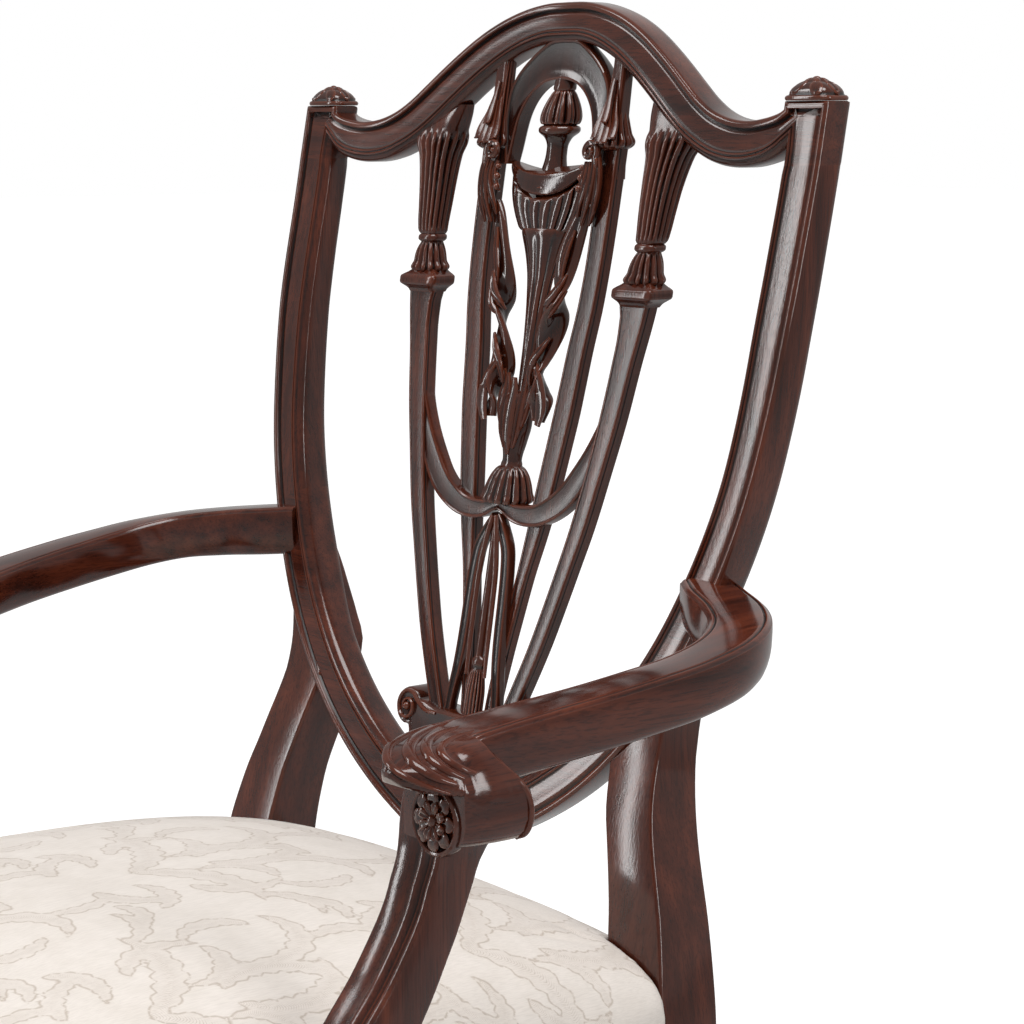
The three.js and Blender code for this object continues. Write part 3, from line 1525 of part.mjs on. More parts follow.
// Rolled hand rest: a block over the support, round at its outer side, and a thinner lip.
function knuckleSolid(swellBy) {
  const rings = KNUCKLE_SECTIONS.map(([y, inner, outer, top, low], station) => {
    const width = outer - inner;
    const roll = Math.min(KNUCKLE_ROLL, width * KNUCKLE_ROLL_MOST_SHARE, (top - low) * HALF_SHARE);
    const under = Math.min(KNUCKLE_UNDER, width * KNUCKLE_UNDER_MOST_SHARE, (top - low) * HALF_SHARE);
    const edge = Math.min(KNUCKLE_EDGE, (top - low) * BEAD_MOST_SHARE);
    const ring = [
      [inner + edge, low],
      [inner, low + edge],
      [inner, top - edge],
      [inner + edge, top],
    ];
    for (let k = 0; k <= KNUCKLE_ARC; k++) {
      const angle = QUARTER_TURN * (1 - k / KNUCKLE_ARC);
      ring.push([outer - roll + roll * Math.cos(angle), top - roll + roll * Math.sin(angle)]);
    }
    for (let k = 1; k <= KNUCKLE_ARC; k++) {
      const angle = (-QUARTER_TURN * k) / KNUCKLE_ARC;
      ring.push([outer - under + under * Math.cos(angle), low + under + under * Math.sin(angle)]);
    }
    return ring.map(([x, z]) => {
      const outside = THREE.MathUtils.clamp((x - outer + roll) / roll, 0, 1);
      const raised = THREE.MathUtils.clamp((z - top + roll) / roll, 0, 1);
      const lean = station === 0 ? KNUCKLE_REAR_LEAN * raised * Math.sqrt(outside) : 0;
      return vector(x, y - lean, z);
    });
  });
  return toSolid(loft(swell(rings, swellBy)));
}

// Moulded support: a ridge down the front with a groove beside it.
function supportRaw(swellBy) {
  const sides = new THREE.CatmullRomCurve3(
    SUPPORT_SECTIONS.map((r) => vector(r[3], r[4], r[0])),
    false,
    "centripetal",
  );
  const faces = new THREE.CatmullRomCurve3(
    SUPPORT_SECTIONS.map((r) => vector(r[1], r[2], r[0])),
    false,
    "centripetal",
  );
  const rings = [];
  for (let i = 0; i <= SUPPORT_CUTS; i++) {
    const t = i / SUPPORT_CUTS;
    const a = sides.getPoint(t);
    const b = faces.getPoint(t);
    const width = a.y - a.x;
    const groove = a.y - width * SUPPORT_GROOVE_SHARE;
    rings.push([
      vector(a.x + LEG_EDGE_BREAK, b.x, a.z),
      vector(groove - SUPPORT_RIDGE_RISE, b.x, a.z),
      vector(groove, b.x + SUPPORT_RIDGE_RISE, a.z),
      vector(groove + SUPPORT_RIDGE_RISE, b.x - SUPPORT_RIDGE_RISE * HALF_SHARE, a.z),
      vector(a.y - LEG_EDGE_BREAK, b.x, a.z),
      vector(a.y, b.x + LEG_EDGE_BREAK, a.z),
      vector(a.y, b.y - LEG_EDGE_BREAK, a.z),
      vector(a.y - LEG_EDGE_BREAK, b.y, a.z),
      vector(a.x + LEG_EDGE_BREAK, b.y, a.z),
      vector(a.x, b.y - LEG_EDGE_BREAK, a.z),
      vector(a.x, b.x + LEG_EDGE_BREAK, a.z),
    ]);
  }
  return toSolid(loft(swell(rings, swellBy)));
}

// Round carved flower inside a raised rim.
function rosetteSolid(swellBy) {
  const grown = ROSETTE_RADIUS + swellBy;
  const thickness = ROSETTE_THICKNESS + 2 * swellBy;
  const place = (geometry) => {
    geometry.translate(
      HAND_X + ROSETTE_OUT,
      ARM_NOSE + ROSETTE_BEHIND_NOSE,
      heightAt(ROSETTE_HEIGHT_SHARE),
    );
    return toSolid(geometry);
  };
  const disc = place(new THREE.CylinderGeometry(grown, grown, thickness, FINE_STEPS));
  if (swellBy) return disc;
  const front = -ROSETTE_THICKNESS * HALF_SHARE;
  const well = ROSETTE_RADIUS - ROSETTE_RIM;
  const hollow = new THREE.CylinderGeometry(well, well, 2 * ROSETTE_SINK, FINE_STEPS);
  hollow.translate(0, front, 0);
  let flower = disc.subtract(place(hollow));
  const reach = well * PETAL_REACH_SHARE;
  for (let i = 0; i < ROSETTE_PETALS; i++) {
    const petal = new THREE.SphereGeometry(1, PETAL_STEPS, PETAL_STEPS);
    petal.scale(
      reach * PETAL_LENGTH_SHARE,
      ROSETTE_SINK + PETAL_SEAT,
      reach * PETAL_WIDTH_SHARE,
    );
    petal.translate(reach * HALF_SHARE, front + ROSETTE_SINK, 0);
    petal.rotateY((2 * Math.PI * i) / ROSETTE_PETALS);
    flower = flower.add(place(petal));
  }
  return flower;
}

// Seat frame.

function sideRailBody() {
  const front = SEAT_FRONT + FRONT_LEG_SIZE + JOINT_GAP;
  const rear = SEAT_SIDE_REAR_Y + RAIL_INTO_POST;
  return prism(
    [
      [sideX(front), front],
      [sideX(rear), rear],
      [sideX(rear) - RAIL_THICKNESS, rear],
      [sideX(front) - RAIL_THICKNESS, front],
    ],
    RAIL_BOTTOM,
    RAIL_TOP,
  );
}

function sideRailTenon(g) {
  const front = SEAT_FRONT + FRONT_LEG_SIZE - SEAT_TENON_LENGTH - g;
  const rear = SEAT_SIDE_REAR_Y + SEAT_TENON_LENGTH + g;
  const inset = (RAIL_THICKNESS - SEAT_TENON_THICKNESS) * HALF_SHARE;
  return prism(
    [
      [sideX(front) - inset + g, front],
      [sideX(rear) - inset + g, rear],
      [sideX(rear) - inset - SEAT_TENON_THICKNESS - g, rear],
      [sideX(front) - inset - SEAT_TENON_THICKNESS - g, front],
    ],
    RAIL_BOTTOM + SEAT_TENON_MARGIN - g,
    RAIL_TOP - SEAT_TENON_MARGIN + g,
  );
}

// A bar between two depths that runs from side to side.
function crossBar(outerY, innerY, half, bottom, top, g) {
  const low = Math.min(outerY, innerY) - g;
  const high = Math.max(outerY, innerY) + g;
  return prism(
    [
      [-half - g, low],
      [half + g, low],
      [half + g, high],
      [-half - g, high],
    ],
    bottom - g,
    top + g,
  );
}

function crossTenon(outerY, innerY, half, g) {
  const inset = (RAIL_THICKNESS - SEAT_TENON_THICKNESS) * HALF_SHARE;
  const way = Math.sign(innerY - outerY);
  return crossBar(
    outerY + way * inset,
    innerY - way * inset,
    half + SEAT_TENON_LENGTH,
    RAIL_BOTTOM + SEAT_TENON_MARGIN,
    RAIL_TOP - SEAT_TENON_MARGIN,
    g,
  );
}

// The side faces of a front leg follow the slant of the side rail.
function frontLegRaw(swellBy) {
  const centreX = SEAT_FRONT_HALF - FRONT_LEG_SIZE * HALF_SHARE;
  const centreY = SEAT_FRONT + FRONT_LEG_SIZE * HALF_SHARE;
  const rings = FRONT_LEG_SECTIONS.map(([z, size]) => {
    const half = size * HALF_SHARE;
    const ring = brokenSquare(
      centreX - half,
      centreX + half,
      centreY - half,
      centreY + half,
      z,
      FRONT_LEG_BREAK,
    );
    ring.forEach((corner) => {
      corner.x += sideX(corner.y) - SEAT_FRONT_HALF;
    });
    return ring;
  });
  return toSolid(loft(swell(rings, swellBy)));
}

// Block glued and screwed into a corner of the frame, shaped round the leg.
function frontBlock() {
  const legIn = SEAT_FRONT_HALF - FRONT_LEG_SIZE;
  const legBack = SEAT_FRONT + FRONT_LEG_SIZE + JOINT_GAP;
  const railIn = SEAT_FRONT + RAIL_THICKNESS + JOINT_GAP;
  const sideIn = (y) => sideX(y) - RAIL_THICKNESS - JOINT_GAP;
  return prism(
    [
      [legIn, railIn],
      [legIn - BLOCK_LEG, railIn],
      [sideIn(legBack + BLOCK_LEG), legBack + BLOCK_LEG],
      [sideIn(legBack), legBack],
      [legIn, legBack],
    ],
    BLOCK_BOTTOM,
    BLOCK_TOP,
  );
}

function rearBlock() {
  const railIn = SEAT_REAR - REAR_RAIL_INSET - RAIL_THICKNESS - JOINT_GAP;
  const legIn = POST_TUCK_X;
  const legFront = SEAT_SIDE_REAR_Y;
  const sideIn = (y) => sideX(y) - RAIL_THICKNESS - JOINT_GAP;
  return prism(
    [
      [legIn - BLOCK_LEG, railIn],
      [legIn, railIn],
      [legIn, legFront],
      [sideIn(legFront), legFront],
      [sideIn(legFront - BLOCK_LEG), legFront - BLOCK_LEG],
    ],
    BLOCK_BOTTOM,
    BLOCK_TOP,
  );
}

// Countersunk screw from a point along a direction; the head stands at the point.
function screwSolid(from, way, length, swellBy) {
  const direction = way.clone().normalize();
  const headEnd = from.clone().addScaledVector(direction, SCREW_HEAD_HEIGHT + swellBy);
  const start = from.clone().addScaledVector(direction, -swellBy);
  const end = from.clone().addScaledVector(direction, length + swellBy);
  return rod(start, headEnd, SCREW_HEAD_RADIUS + swellBy).add(
    rod(from, end, SCREW_SHANK_RADIUS + swellBy),
  );
}

function webbingSolid() {
  const bottom = RAIL_TOP + JOINT_GAP;
  const top = bottom + STRAP_THICKNESS;
  const front = SEAT_FRONT + RAIL_THICKNESS - STRAP_BITE;
  const rear = SEAT_REAR - REAR_RAIL_INSET - RAIL_THICKNESS + STRAP_BITE;
  let straps = null;
  const put = (solid) => {
    straps = straps ? straps.add(solid) : solid;
  };
  const usable = WEBBING_HALF_WIDTH;
  for (let i = 0; i < LENGTHWISE_STRAPS; i++) {
    const x = -usable + (2 * usable * i) / Math.max(1, LENGTHWISE_STRAPS - 1);
    const half = STRAP_WIDTH * HALF_SHARE;
    put(
      prism(
        [
          [x - half, front],
          [x + half, front],
          [x + half, rear],
          [x - half, rear],
        ],
        bottom,
        top,
      ),
    );
  }
  for (let i = 0; i < CROSSWISE_STRAPS; i++) {
    const share = (i + 1) / (CROSSWISE_STRAPS + 1);
    const y = rear + share * (front - rear);
    const half = STRAP_WIDTH * HALF_SHARE;
    const reachFront = sideX(y - half) - RAIL_THICKNESS + STRAP_BITE;
    const reachRear = sideX(y + half) - RAIL_THICKNESS + STRAP_BITE;
    put(
      prism(
        [
          [-reachFront, y - half],
          [reachFront, y - half],
          [reachRear, y + half],
          [-reachRear, y + half],
        ],
        bottom + STRAP_WEAVE,
        top - STRAP_WEAVE,
      ),
    );
  }
  return straps;
}

// Least of several distances, rounded where two of them meet.
function softLeast(values) {
  const sum = values.reduce((total, v) => total + Math.exp(-v / SEAT_SOFT_REACH), 0);
  return Math.max(0, -SEAT_SOFT_REACH * Math.log(sum));
}

// Height of the stuffing above its rim at a place in the plan.
function seatHeight(x, y, margin) {
  const side = sideX(y) + margin - Math.abs(x);
  const front = y - (SEAT_FRONT - margin);
  const rear = SEAT_REAR + SEAT_REAR_PROUD + margin - y;
  const ahead = Math.max(0, POST_TUCK_Y - y);
  const beside = Math.max(0, POST_TUCK_X - Math.abs(x));
  const corner = Math.hypot(ahead, beside) + POST_TUCK;
  const near = softLeast([side, front, rear, corner]);
  const share = THREE.MathUtils.clamp(near / SEAT_EDGE_REACH, 0, 1);
  const edge = Math.pow(1 - Math.pow(1 - share, SEAT_EDGE_POWER), 1 / SEAT_EDGE_POWER);
  const acrossShare = x / SEAT_FRONT_HALF;
  const alongShare = (y - SEAT_MIDDLE_Y) / SEAT_HALF_LENGTH;
  const crownAcross = Math.max(0, 1 - acrossShare * acrossShare);
  const crownAlong = Math.max(0, 1 - alongShare * alongShare);
  return (SEAT_EDGE_HEIGHT + SEAT_DOME * crownAcross * crownAlong) * edge;
}

// Stuffed form with a crowned top, a full rim and sides drawn in below it.
function stuffedSolid(margin, drop, bottom) {
  const positions = [];
  const index = [];
  const add = (x, y, z) => positions.push(x, y, z) / 3 - 1;
  const y0 = SEAT_REAR + SEAT_REAR_PROUD + margin;
  const y1 = SEAT_FRONT - margin;
  const most = 2 * Math.sin(SPREAD_SHARE * QUARTER_TURN);
  const spread = (t) => Math.sin((2 * t - 1) * SPREAD_SHARE * QUARTER_TURN) / most + HALF_SHARE;
  const grid = [];
  for (let j = 0; j <= CUSHION_ROWS; j++) {
    grid.push([]);
    for (let i = 0; i <= CUSHION_COLUMNS; i++) {
      const y = y0 + (y1 - y0) * spread(j / CUSHION_ROWS);
      const x = (sideX(y) + margin) * (2 * spread(i / CUSHION_COLUMNS) - 1);
      const rim = i === 0 || j === 0 || i === CUSHION_COLUMNS || j === CUSHION_ROWS;
      const rise = rim ? 0 : seatHeight(x, y, margin);
      const outX = rim ? Math.sign(x) * SEAT_RIM_BULGE * Math.abs(x / sideX(y)) : 0;
      const outY = j === 0 ? 0 : j === CUSHION_ROWS ? -SEAT_RIM_BULGE : 0;
      grid[j].push(add(x + outX, y + outY, RAIL_TOP + SEAT_RIM_RISE - drop + rise));
    }
  }
  const quad = (a, b, c, d) => index.push(a, b, c, a, c, d);
  for (let j = 0; j < CUSHION_ROWS; j++) {
    for (let i = 0; i < CUSHION_COLUMNS; i++) {
      quad(grid[j][i], grid[j][i + 1], grid[j + 1][i + 1], grid[j + 1][i]);
    }
  }
  const loop = [];
  for (let i = 0; i < CUSHION_COLUMNS; i++) loop.push([0, i]);
  for (let j = 0; j < CUSHION_ROWS; j++) loop.push([j, CUSHION_COLUMNS]);
  for (let i = CUSHION_COLUMNS; i > 0; i--) loop.push([CUSHION_ROWS, i]);
  for (let j = CUSHION_ROWS; j > 0; j--) loop.push([j, 0]);
  const plan = loop.map(([j, i]) => {
    const y = y0 + (y1 - y0) * spread(j / CUSHION_ROWS);
    return [(sideX(y) + margin) * (2 * spread(i / CUSHION_COLUMNS) - 1), y];
  });
  let upper = loop.map(([j, i]) => grid[j][i]);
  const drawn = Math.max(RAIL_TOP - drop, bottom) + SEAT_DRAWN_RISE;
  for (const z of [drawn, bottom]) {
    const lower = plan.map(([x, y]) => add(x, y, z));
    upper.forEach((a, k) => {
      const next = (k + 1) % upper.length;
      quad(a, lower[k], lower[next], upper[next]);
    });
    upper = lower;
  }
  const centre = add(0, SEAT_MIDDLE_Y, bottom);
  upper.forEach((a, k) => index.push(a, centre, upper[(k + 1) % upper.length]));
  const geometry = new THREE.BufferGeometry();
  geometry.setAttribute("position", new THREE.Float32BufferAttribute(positions, 3));
  geometry.setIndex(index);
  return toSolid(geometry);
}

function dustCloth() {
  const front = SEAT_FRONT + CLOTH_MARGIN;
  const rear = SEAT_REAR - REAR_RAIL_INSET - CLOTH_MARGIN;
  const top = RAIL_BOTTOM - JOINT_GAP;
  const legIn = SEAT_FRONT_HALF - FRONT_LEG_SIZE - CLOTH_MARGIN;
  const legBack = SEAT_FRONT + FRONT_LEG_SIZE + CLOTH_MARGIN;
  const backLegIn = REAR_CLOTH_HALF;
  const backLegFront = SEAT_SIDE_REAR_Y - CLOTH_MARGIN;
  return prism(
    [
      [-legIn, front],
      [legIn, front],
      [legIn, legBack],
      [sideX(legBack) - CLOTH_MARGIN, legBack],
      [sideX(backLegFront) - CLOTH_MARGIN, backLegFront],
      [backLegIn, backLegFront],
      [backLegIn, rear],
      [-backLegIn, rear],
      [-backLegIn, backLegFront],
      [-sideX(backLegFront) + CLOTH_MARGIN, backLegFront],
      [-sideX(legBack) + CLOTH_MARGIN, legBack],
      [-legIn, legBack],
    ],
    top - CLOTH_THICKNESS,
    top,
  );
}

function glide(x, y) {
  const profile = [
    new THREE.Vector2(0, 0),
    new THREE.Vector2(GLIDE_RADIUS - GLIDE_EDGE, 0),
    new THREE.Vector2(GLIDE_RADIUS, GLIDE_EDGE),
    new THREE.Vector2(GLIDE_RADIUS, GLIDE_HEIGHT),
    new THREE.Vector2(0, GLIDE_HEIGHT),
  ];
  const geometry = new THREE.LatheGeometry(profile, ROUND_STEPS);
  geometry.rotateX(QUARTER_TURN);
  geometry.translate(x, y, 0);
  return toSolid(geometry);
}

// Assembly.

const group = new THREE.Group();
const placed = [];

function put(name, material, solid) {
  const geometry = toGeometry(largest(solid));
  const mesh = new THREE.Mesh(geometry, new THREE.MeshStandardMaterial(material));
  mesh.name = name;
  placed.push(mesh);
}

function putPair(name, material, solid) {
  put(`${name}_right`, material, solid);
  put(`${name}_left`, material, mirrored(largest(solid)));
}

const bothSides = (solid) => solid.add(mirrored(solid));
const cutFrom = (solid, cutters) => cutters.reduce((rest, cutter) => rest.subtract(cutter), solid);
const gap = JOINT_GAP;

// Screws first, because their holes run through several members.
function armScrew(g) {
  const z = heightAt(ARM_SCREW_HEIGHT_SHARE);
  const start = vector(outAt(ARM_SCREW_WIDTH_SHARE), frontPlane(z) + ARM_SCREW_BEHIND_FRONT, z);
  return screwSolid(start, vector(...ARM_SCREW_WAY_SHARES), ARM_SCREW_LENGTH, g);
}

function supportScrew(z, g) {
  const y = supportMiddle(z);
  const start = vector(sideX(y) - RAIL_THICKNESS, y, z);
  return screwSolid(start, vector(1, 0, 0), SUPPORT_SCREW_LENGTH, g);
}

function supportMiddle(z) {
  const rows = SUPPORT_SECTIONS;
  const upper = rows.findLast((r) => r[0] >= z);
  const lower = rows.find((r) => r[0] <= z);
  const share = upper === lower ? 0 : (upper[0] - z) / (upper[0] - lower[0]);
  const middle = (r) => (r[1] + r[2]) * HALF_SHARE;
  return middle(upper) + share * (middle(lower) - middle(upper));
}

// Two screws per block: one into each rail.
function blockScrews(isFront, g) {
  const railIn = isFront
    ? SEAT_FRONT + RAIL_THICKNESS
    : SEAT_REAR - REAR_RAIL_INSET - RAIL_THICKNESS;
  const legEdge = isFront ? SEAT_FRONT + FRONT_LEG_SIZE : SEAT_SIDE_REAR_Y;
  const legIn = isFront ? SEAT_FRONT_HALF - FRONT_LEG_SIZE : POST_TUCK_X;
  const out = isFront ? -1 : 1;
  const x = legIn - BLOCK_LEG * BLOCK_SCREW_SHARE;
  const y = legEdge - out * BLOCK_LEG * BLOCK_SCREW_SHARE;
  const intoCross = screwSolid(
    vector(x, railIn - out * BLOCK_SCREW_STAND, BLOCK_SCREW_Z - BLOCK_SCREW_SPREAD),
    vector(0, out, 0),
    BLOCK_SCREW_LENGTH,
    g,
  );
  const intoSide = screwSolid(
    vector(sideX(y) - RAIL_THICKNESS - BLOCK_SCREW_STAND, y, BLOCK_SCREW_Z + BLOCK_SCREW_SPREAD),
    vector(1, 0, 0),
    BLOCK_SCREW_LENGTH,
    g,
  );
  return [intoCross, intoSide];
}

// Back: stile and leg are one piece, the shield is closed by the rail below and the crest above.
const stile = stileSolid(0);
const post = toSolid(loft(postRings()));
const postRoom = toSolid(loft(swell(postRings(), gap)));
const lowerRail = lowerRailSolid(0);
const rearLeg = cutFrom(stile.add(post), [lowerRailSolid(gap)])
  .add(lowerRailTenon(0))
  .add(stileTenon(0));
const rearRailOuter = SEAT_REAR - REAR_RAIL_INSET;
const rearRailInner = rearRailOuter - RAIL_THICKNESS;
const rearLegCut = cutFrom(rearLeg, [
  sideRailTenon(gap),
  crossTenon(rearRailOuter, rearRailInner, REAR_RAIL_HALF, gap),
  armScrew(gap),
]);
putPair("rear_leg_and_stile", POLISHED_MAHOGANY, rearLegCut);

const bars = bothSides(outerBanister(gap)).add(bothSides(innerBanister(gap)));
const crest = cutFrom(crestSolid(), [bothSides(stileTenon(gap)), bars, archSolid(gap)]);
put("crest_rail", POLISHED_MAHOGANY, crest);
putPair("ear_carving", POLISHED_MAHOGANY, earCarving());
put(
  "shield_lower_rail",
  POLISHED_MAHOGANY,
  cutFrom(lowerRail, [bothSides(lowerRailTenon(gap)), shoeBlock(gap)]),
);

// Splat: bars, arch, urn with its finial, cloth, bell, swags and strands.
const swagRoom = bothSides(swagSolid(gap));
const strandRoom = strandSolid(gap);
putPair("outer_banister", POLISHED_MAHOGANY, cutFrom(outerBanister(0), [swagRoom, strandRoom]));
putPair("inner_banister", POLISHED_MAHOGANY, cutFrom(innerBanister(0), [swagRoom, strandRoom]));
put(
  "splat_arch",
  POLISHED_MAHOGANY,
  cutFrom(archSolid(0), [bothSides(innerBanister(gap)), finialSolid(gap)]),
);
put(
  "splat_urn",
  POLISHED_MAHOGANY,
  cutFrom(urnSolid(0), [bars, finialSolid(gap), archSolid(gap)]),
);
put("urn_finial", POLISHED_MAHOGANY, finialSolid(0));
putPair(
  "splat_drapery",
  POLISHED_MAHOGANY,
  cutFrom(draperySolid(0), [urnSolid(gap), bellSolid(gap), bars]),
);
put("splat_bell", POLISHED_MAHOGANY, cutFrom(bellSolid(0), [urnSolid(gap), swagRoom, bars]));
const rightOfMiddle = [1, 0, 0];
putPair(
  "splat_swag",
  POLISHED_MAHOGANY,
  swagSolid(0).trimByPlane(rightOfMiddle, gap * HALF_SHARE),
);
put("splat_strands", POLISHED_MAHOGANY, cutFrom(strandSolid(0), [swagRoom, bellSolid(gap)]));
put("splat_shoe", POLISHED_MAHOGANY, cutFrom(shoeSolid(), [bars, strandRoom]));

// Arms and their supports.
const arm = cutFrom(armRaw(0), [
  stileSolid(2 * gap),
  toSolid(loft(swell(postRings(), 2 * gap))),
  supportRaw(gap),
  rosetteSolid(gap),
  armScrew(gap),
]);
putPair("arm", POLISHED_MAHOGANY, arm);
const supportScrews = [SUPPORT_SCREW_UP, SUPPORT_SCREW_DOWN];
const support = cutFrom(supportRaw(0), [
  rosetteSolid(gap),
  ...supportScrews.map((z) => supportScrew(z, gap)),
]);
putPair("arm_support", POLISHED_MAHOGANY, support);
putPair("arm_support_rosette", POLISHED_MAHOGANY, rosetteSolid(0));

// Seat frame.
const frontRailInner = SEAT_FRONT + RAIL_THICKNESS;
const frontRailHalf = SEAT_FRONT_HALF - FRONT_LEG_SIZE;
const frontScrews = (g) => blockScrews(true, g);
const rearScrews = (g) => blockScrews(false, g);
const everyBlockScrew = [...frontScrews(gap), ...rearScrews(gap)];
const sideRail = cutFrom(sideRailBody(), [postRoom]).add(sideRailTenon(0));
putPair(
  "seat_rail_side",
  BARE_BEECH,
  cutFrom(sideRail, [
    supportRaw(gap),
    ...supportScrews.map((z) => supportScrew(z, gap)),
    ...everyBlockScrew,
  ]),
);
const frontRail = cutFrom(
  crossBar(SEAT_FRONT, frontRailInner, frontRailHalf, RAIL_BOTTOM, RAIL_TOP, 0),
  [bothSides(frontLegRaw(gap))],
).add(crossTenon(SEAT_FRONT, frontRailInner, frontRailHalf, 0));
put("seat_rail_front", BARE_BEECH, cutFrom(frontRail, frontScrews(gap).map(bothSides)));
const rearRail = cutFrom(
  crossBar(rearRailOuter, rearRailInner, REAR_RAIL_HALF, RAIL_BOTTOM, RAIL_TOP, 0),
  [bothSides(postRoom)],
).add(crossTenon(rearRailOuter, rearRailInner, REAR_RAIL_HALF, 0));
put("seat_rail_rear", BARE_BEECH, cutFrom(rearRail, rearScrews(gap).map(bothSides)));
const frontLeg = cutFrom(frontLegRaw(0), [
  sideRailTenon(gap),
  crossTenon(SEAT_FRONT, frontRailInner, frontRailHalf, gap),
]);
putPair("front_leg", POLISHED_MAHOGANY, frontLeg);
putPair(
  "corner_block_front",
  BARE_BEECH,
  cutFrom(frontBlock(), [frontLegRaw(gap), ...frontScrews(gap)]),
);
putPair("corner_block_rear", BARE_BEECH, cutFrom(rearBlock(), [postRoom, ...rearScrews(gap)]));

// Seat: webbing, stuffing, cover and the cloth below.
put("seat_webbing", JUTE_WEBBING, webbingSolid());
const postStrip = bothSides(
  prism(
    [
      [POST_STRIP_X, POST_STRIP_Y],
      [POST_STRIP_X + POST_STRIP_REACH, POST_STRIP_Y],
      [POST_STRIP_X + POST_STRIP_REACH, 0],
      [POST_STRIP_X, 0],
    ],
    RAIL_BOTTOM - POST_STRIP_REACH,
    RAIL_TOP + 2 * POST_STRIP_REACH,
  ),
);
const posts = bothSides(postRoom);
const supports = bothSides(supportRaw(gap));
const coverBottom = RAIL_BOTTOM + COVER_DROP;
const stuffingBottom = RAIL_TOP + STRAP_THICKNESS + 2 * JOINT_GAP;
const cover = cutFrom(stuffedSolid(COVER_THICKNESS, 0, coverBottom), [
  stuffedSolid(JOINT_GAP, COVER_THICKNESS - JOINT_GAP, coverBottom - COVER_DROP),
  posts,
  postStrip,
  supports,
]);
put("seat_cover", IVORY_DAMASK, cover);
put(
  "seat_stuffing",
  BARE_HAIR,
  cutFrom(stuffedSolid(0, COVER_THICKNESS, stuffingBottom), [posts, postStrip, supports]),
);
put("dust_cloth", BLACK_CLOTH, dustCloth());

// Screws and glides.
putPair("arm_screw", BRIGHT_STEEL, armScrew(0));
putPair("support_screw_upper", BRIGHT_STEEL, supportScrew(SUPPORT_SCREW_UP, 0));
putPair("support_screw_lower", BRIGHT_STEEL, supportScrew(SUPPORT_SCREW_DOWN, 0));
const [frontCross, frontSide] = frontScrews(0);
const [rearCross, rearSide] = rearScrews(0);
putPair("block_screw_front_a", BRIGHT_STEEL, frontCross);
putPair("block_screw_front_b", BRIGHT_STEEL, frontSide);
putPair("block_screw_rear_a", BRIGHT_STEEL, rearCross);
putPair("block_screw_rear_b", BRIGHT_STEEL, rearSide);
const frontFoot = [
  SEAT_FRONT_HALF - FRONT_LEG_SIZE * HALF_SHARE,
  SEAT_FRONT + FRONT_LEG_SIZE * HALF_SHARE,
];
const foot = POST_SECTIONS[POST_SECTIONS.length - 1];
const rearFoot = [(foot[1] + foot[2]) * HALF_SHARE, (foot[3] + foot[4]) * HALF_SHARE];
putPair("foot_glide_front", BLACK_NYLON, glide(...frontFoot));
putPair("foot_glide_rear", BLACK_NYLON, glide(...rearFoot));

// The origin is the middle of the footprint, on the floor.
const bounds = new THREE.Box3();
placed.forEach((mesh) => {
  mesh.geometry.computeBoundingBox();
  bounds.union(mesh.geometry.boundingBox);
});
const centre = bounds.getCenter(new THREE.Vector3());
placed.forEach((mesh) => {
  mesh.geometry.translate(-centre.x, -centre.y, -bounds.min.z);
  mesh.geometry.computeVertexNormals();
  group.add(mesh);
});

export default group;
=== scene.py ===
"""Shield back armchair in polished mahogany with a damask seat, dressed round its fixed frame."""

import itertools
import json
import math

import bmesh
import bpy
import numpy as np
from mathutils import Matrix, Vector

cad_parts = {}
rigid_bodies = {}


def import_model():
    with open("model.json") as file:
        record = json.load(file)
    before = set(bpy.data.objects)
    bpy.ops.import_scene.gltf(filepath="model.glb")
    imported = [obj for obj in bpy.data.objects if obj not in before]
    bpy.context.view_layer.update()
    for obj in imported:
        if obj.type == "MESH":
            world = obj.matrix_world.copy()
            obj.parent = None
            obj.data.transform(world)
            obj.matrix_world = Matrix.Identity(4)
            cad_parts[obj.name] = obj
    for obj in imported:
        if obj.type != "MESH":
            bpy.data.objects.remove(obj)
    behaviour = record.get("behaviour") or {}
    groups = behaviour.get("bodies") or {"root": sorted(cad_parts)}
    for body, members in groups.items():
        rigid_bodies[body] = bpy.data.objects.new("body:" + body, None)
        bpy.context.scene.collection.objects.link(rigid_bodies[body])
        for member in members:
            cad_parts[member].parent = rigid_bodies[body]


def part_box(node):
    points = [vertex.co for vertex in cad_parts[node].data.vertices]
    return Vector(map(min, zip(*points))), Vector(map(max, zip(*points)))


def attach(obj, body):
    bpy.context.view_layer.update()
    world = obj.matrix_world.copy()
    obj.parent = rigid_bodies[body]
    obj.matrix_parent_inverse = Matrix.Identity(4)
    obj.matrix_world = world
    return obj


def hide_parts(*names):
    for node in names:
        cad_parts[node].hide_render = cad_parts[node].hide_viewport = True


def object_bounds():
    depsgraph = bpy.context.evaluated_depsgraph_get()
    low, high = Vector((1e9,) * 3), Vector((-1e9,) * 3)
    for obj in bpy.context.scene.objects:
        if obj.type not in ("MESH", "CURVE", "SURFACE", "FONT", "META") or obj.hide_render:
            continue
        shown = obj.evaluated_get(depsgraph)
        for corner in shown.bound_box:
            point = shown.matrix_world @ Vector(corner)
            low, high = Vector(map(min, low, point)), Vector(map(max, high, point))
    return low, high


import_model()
cad_box = [[float(v) for v in corner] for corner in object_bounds()]

MM = 0.001
RAKE = 0.17
EAR_HEIGHT = 912.0
EAR_NECK = 205
HOLLOW_DEPTH = 13.0
HOLLOW_REACH = 225.0
HOLLOW_SOFTENING = 14.0
CURVE_CUTS = 24
RIBBON_TIP = 0.15
# Scale of the surface's bend for the painted shade in hollows and the painted highlight on proud edges.
WEAR_AND_PAINTED_LIGHT_BEND = 0.004
SEAT_FRONT = -520.0
SET_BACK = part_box("front_leg_right")[0][1] / MM - SEAT_FRONT
FACING = (0.0, -1.0, RAKE)


# Drawing curves and surfaces in millimetres


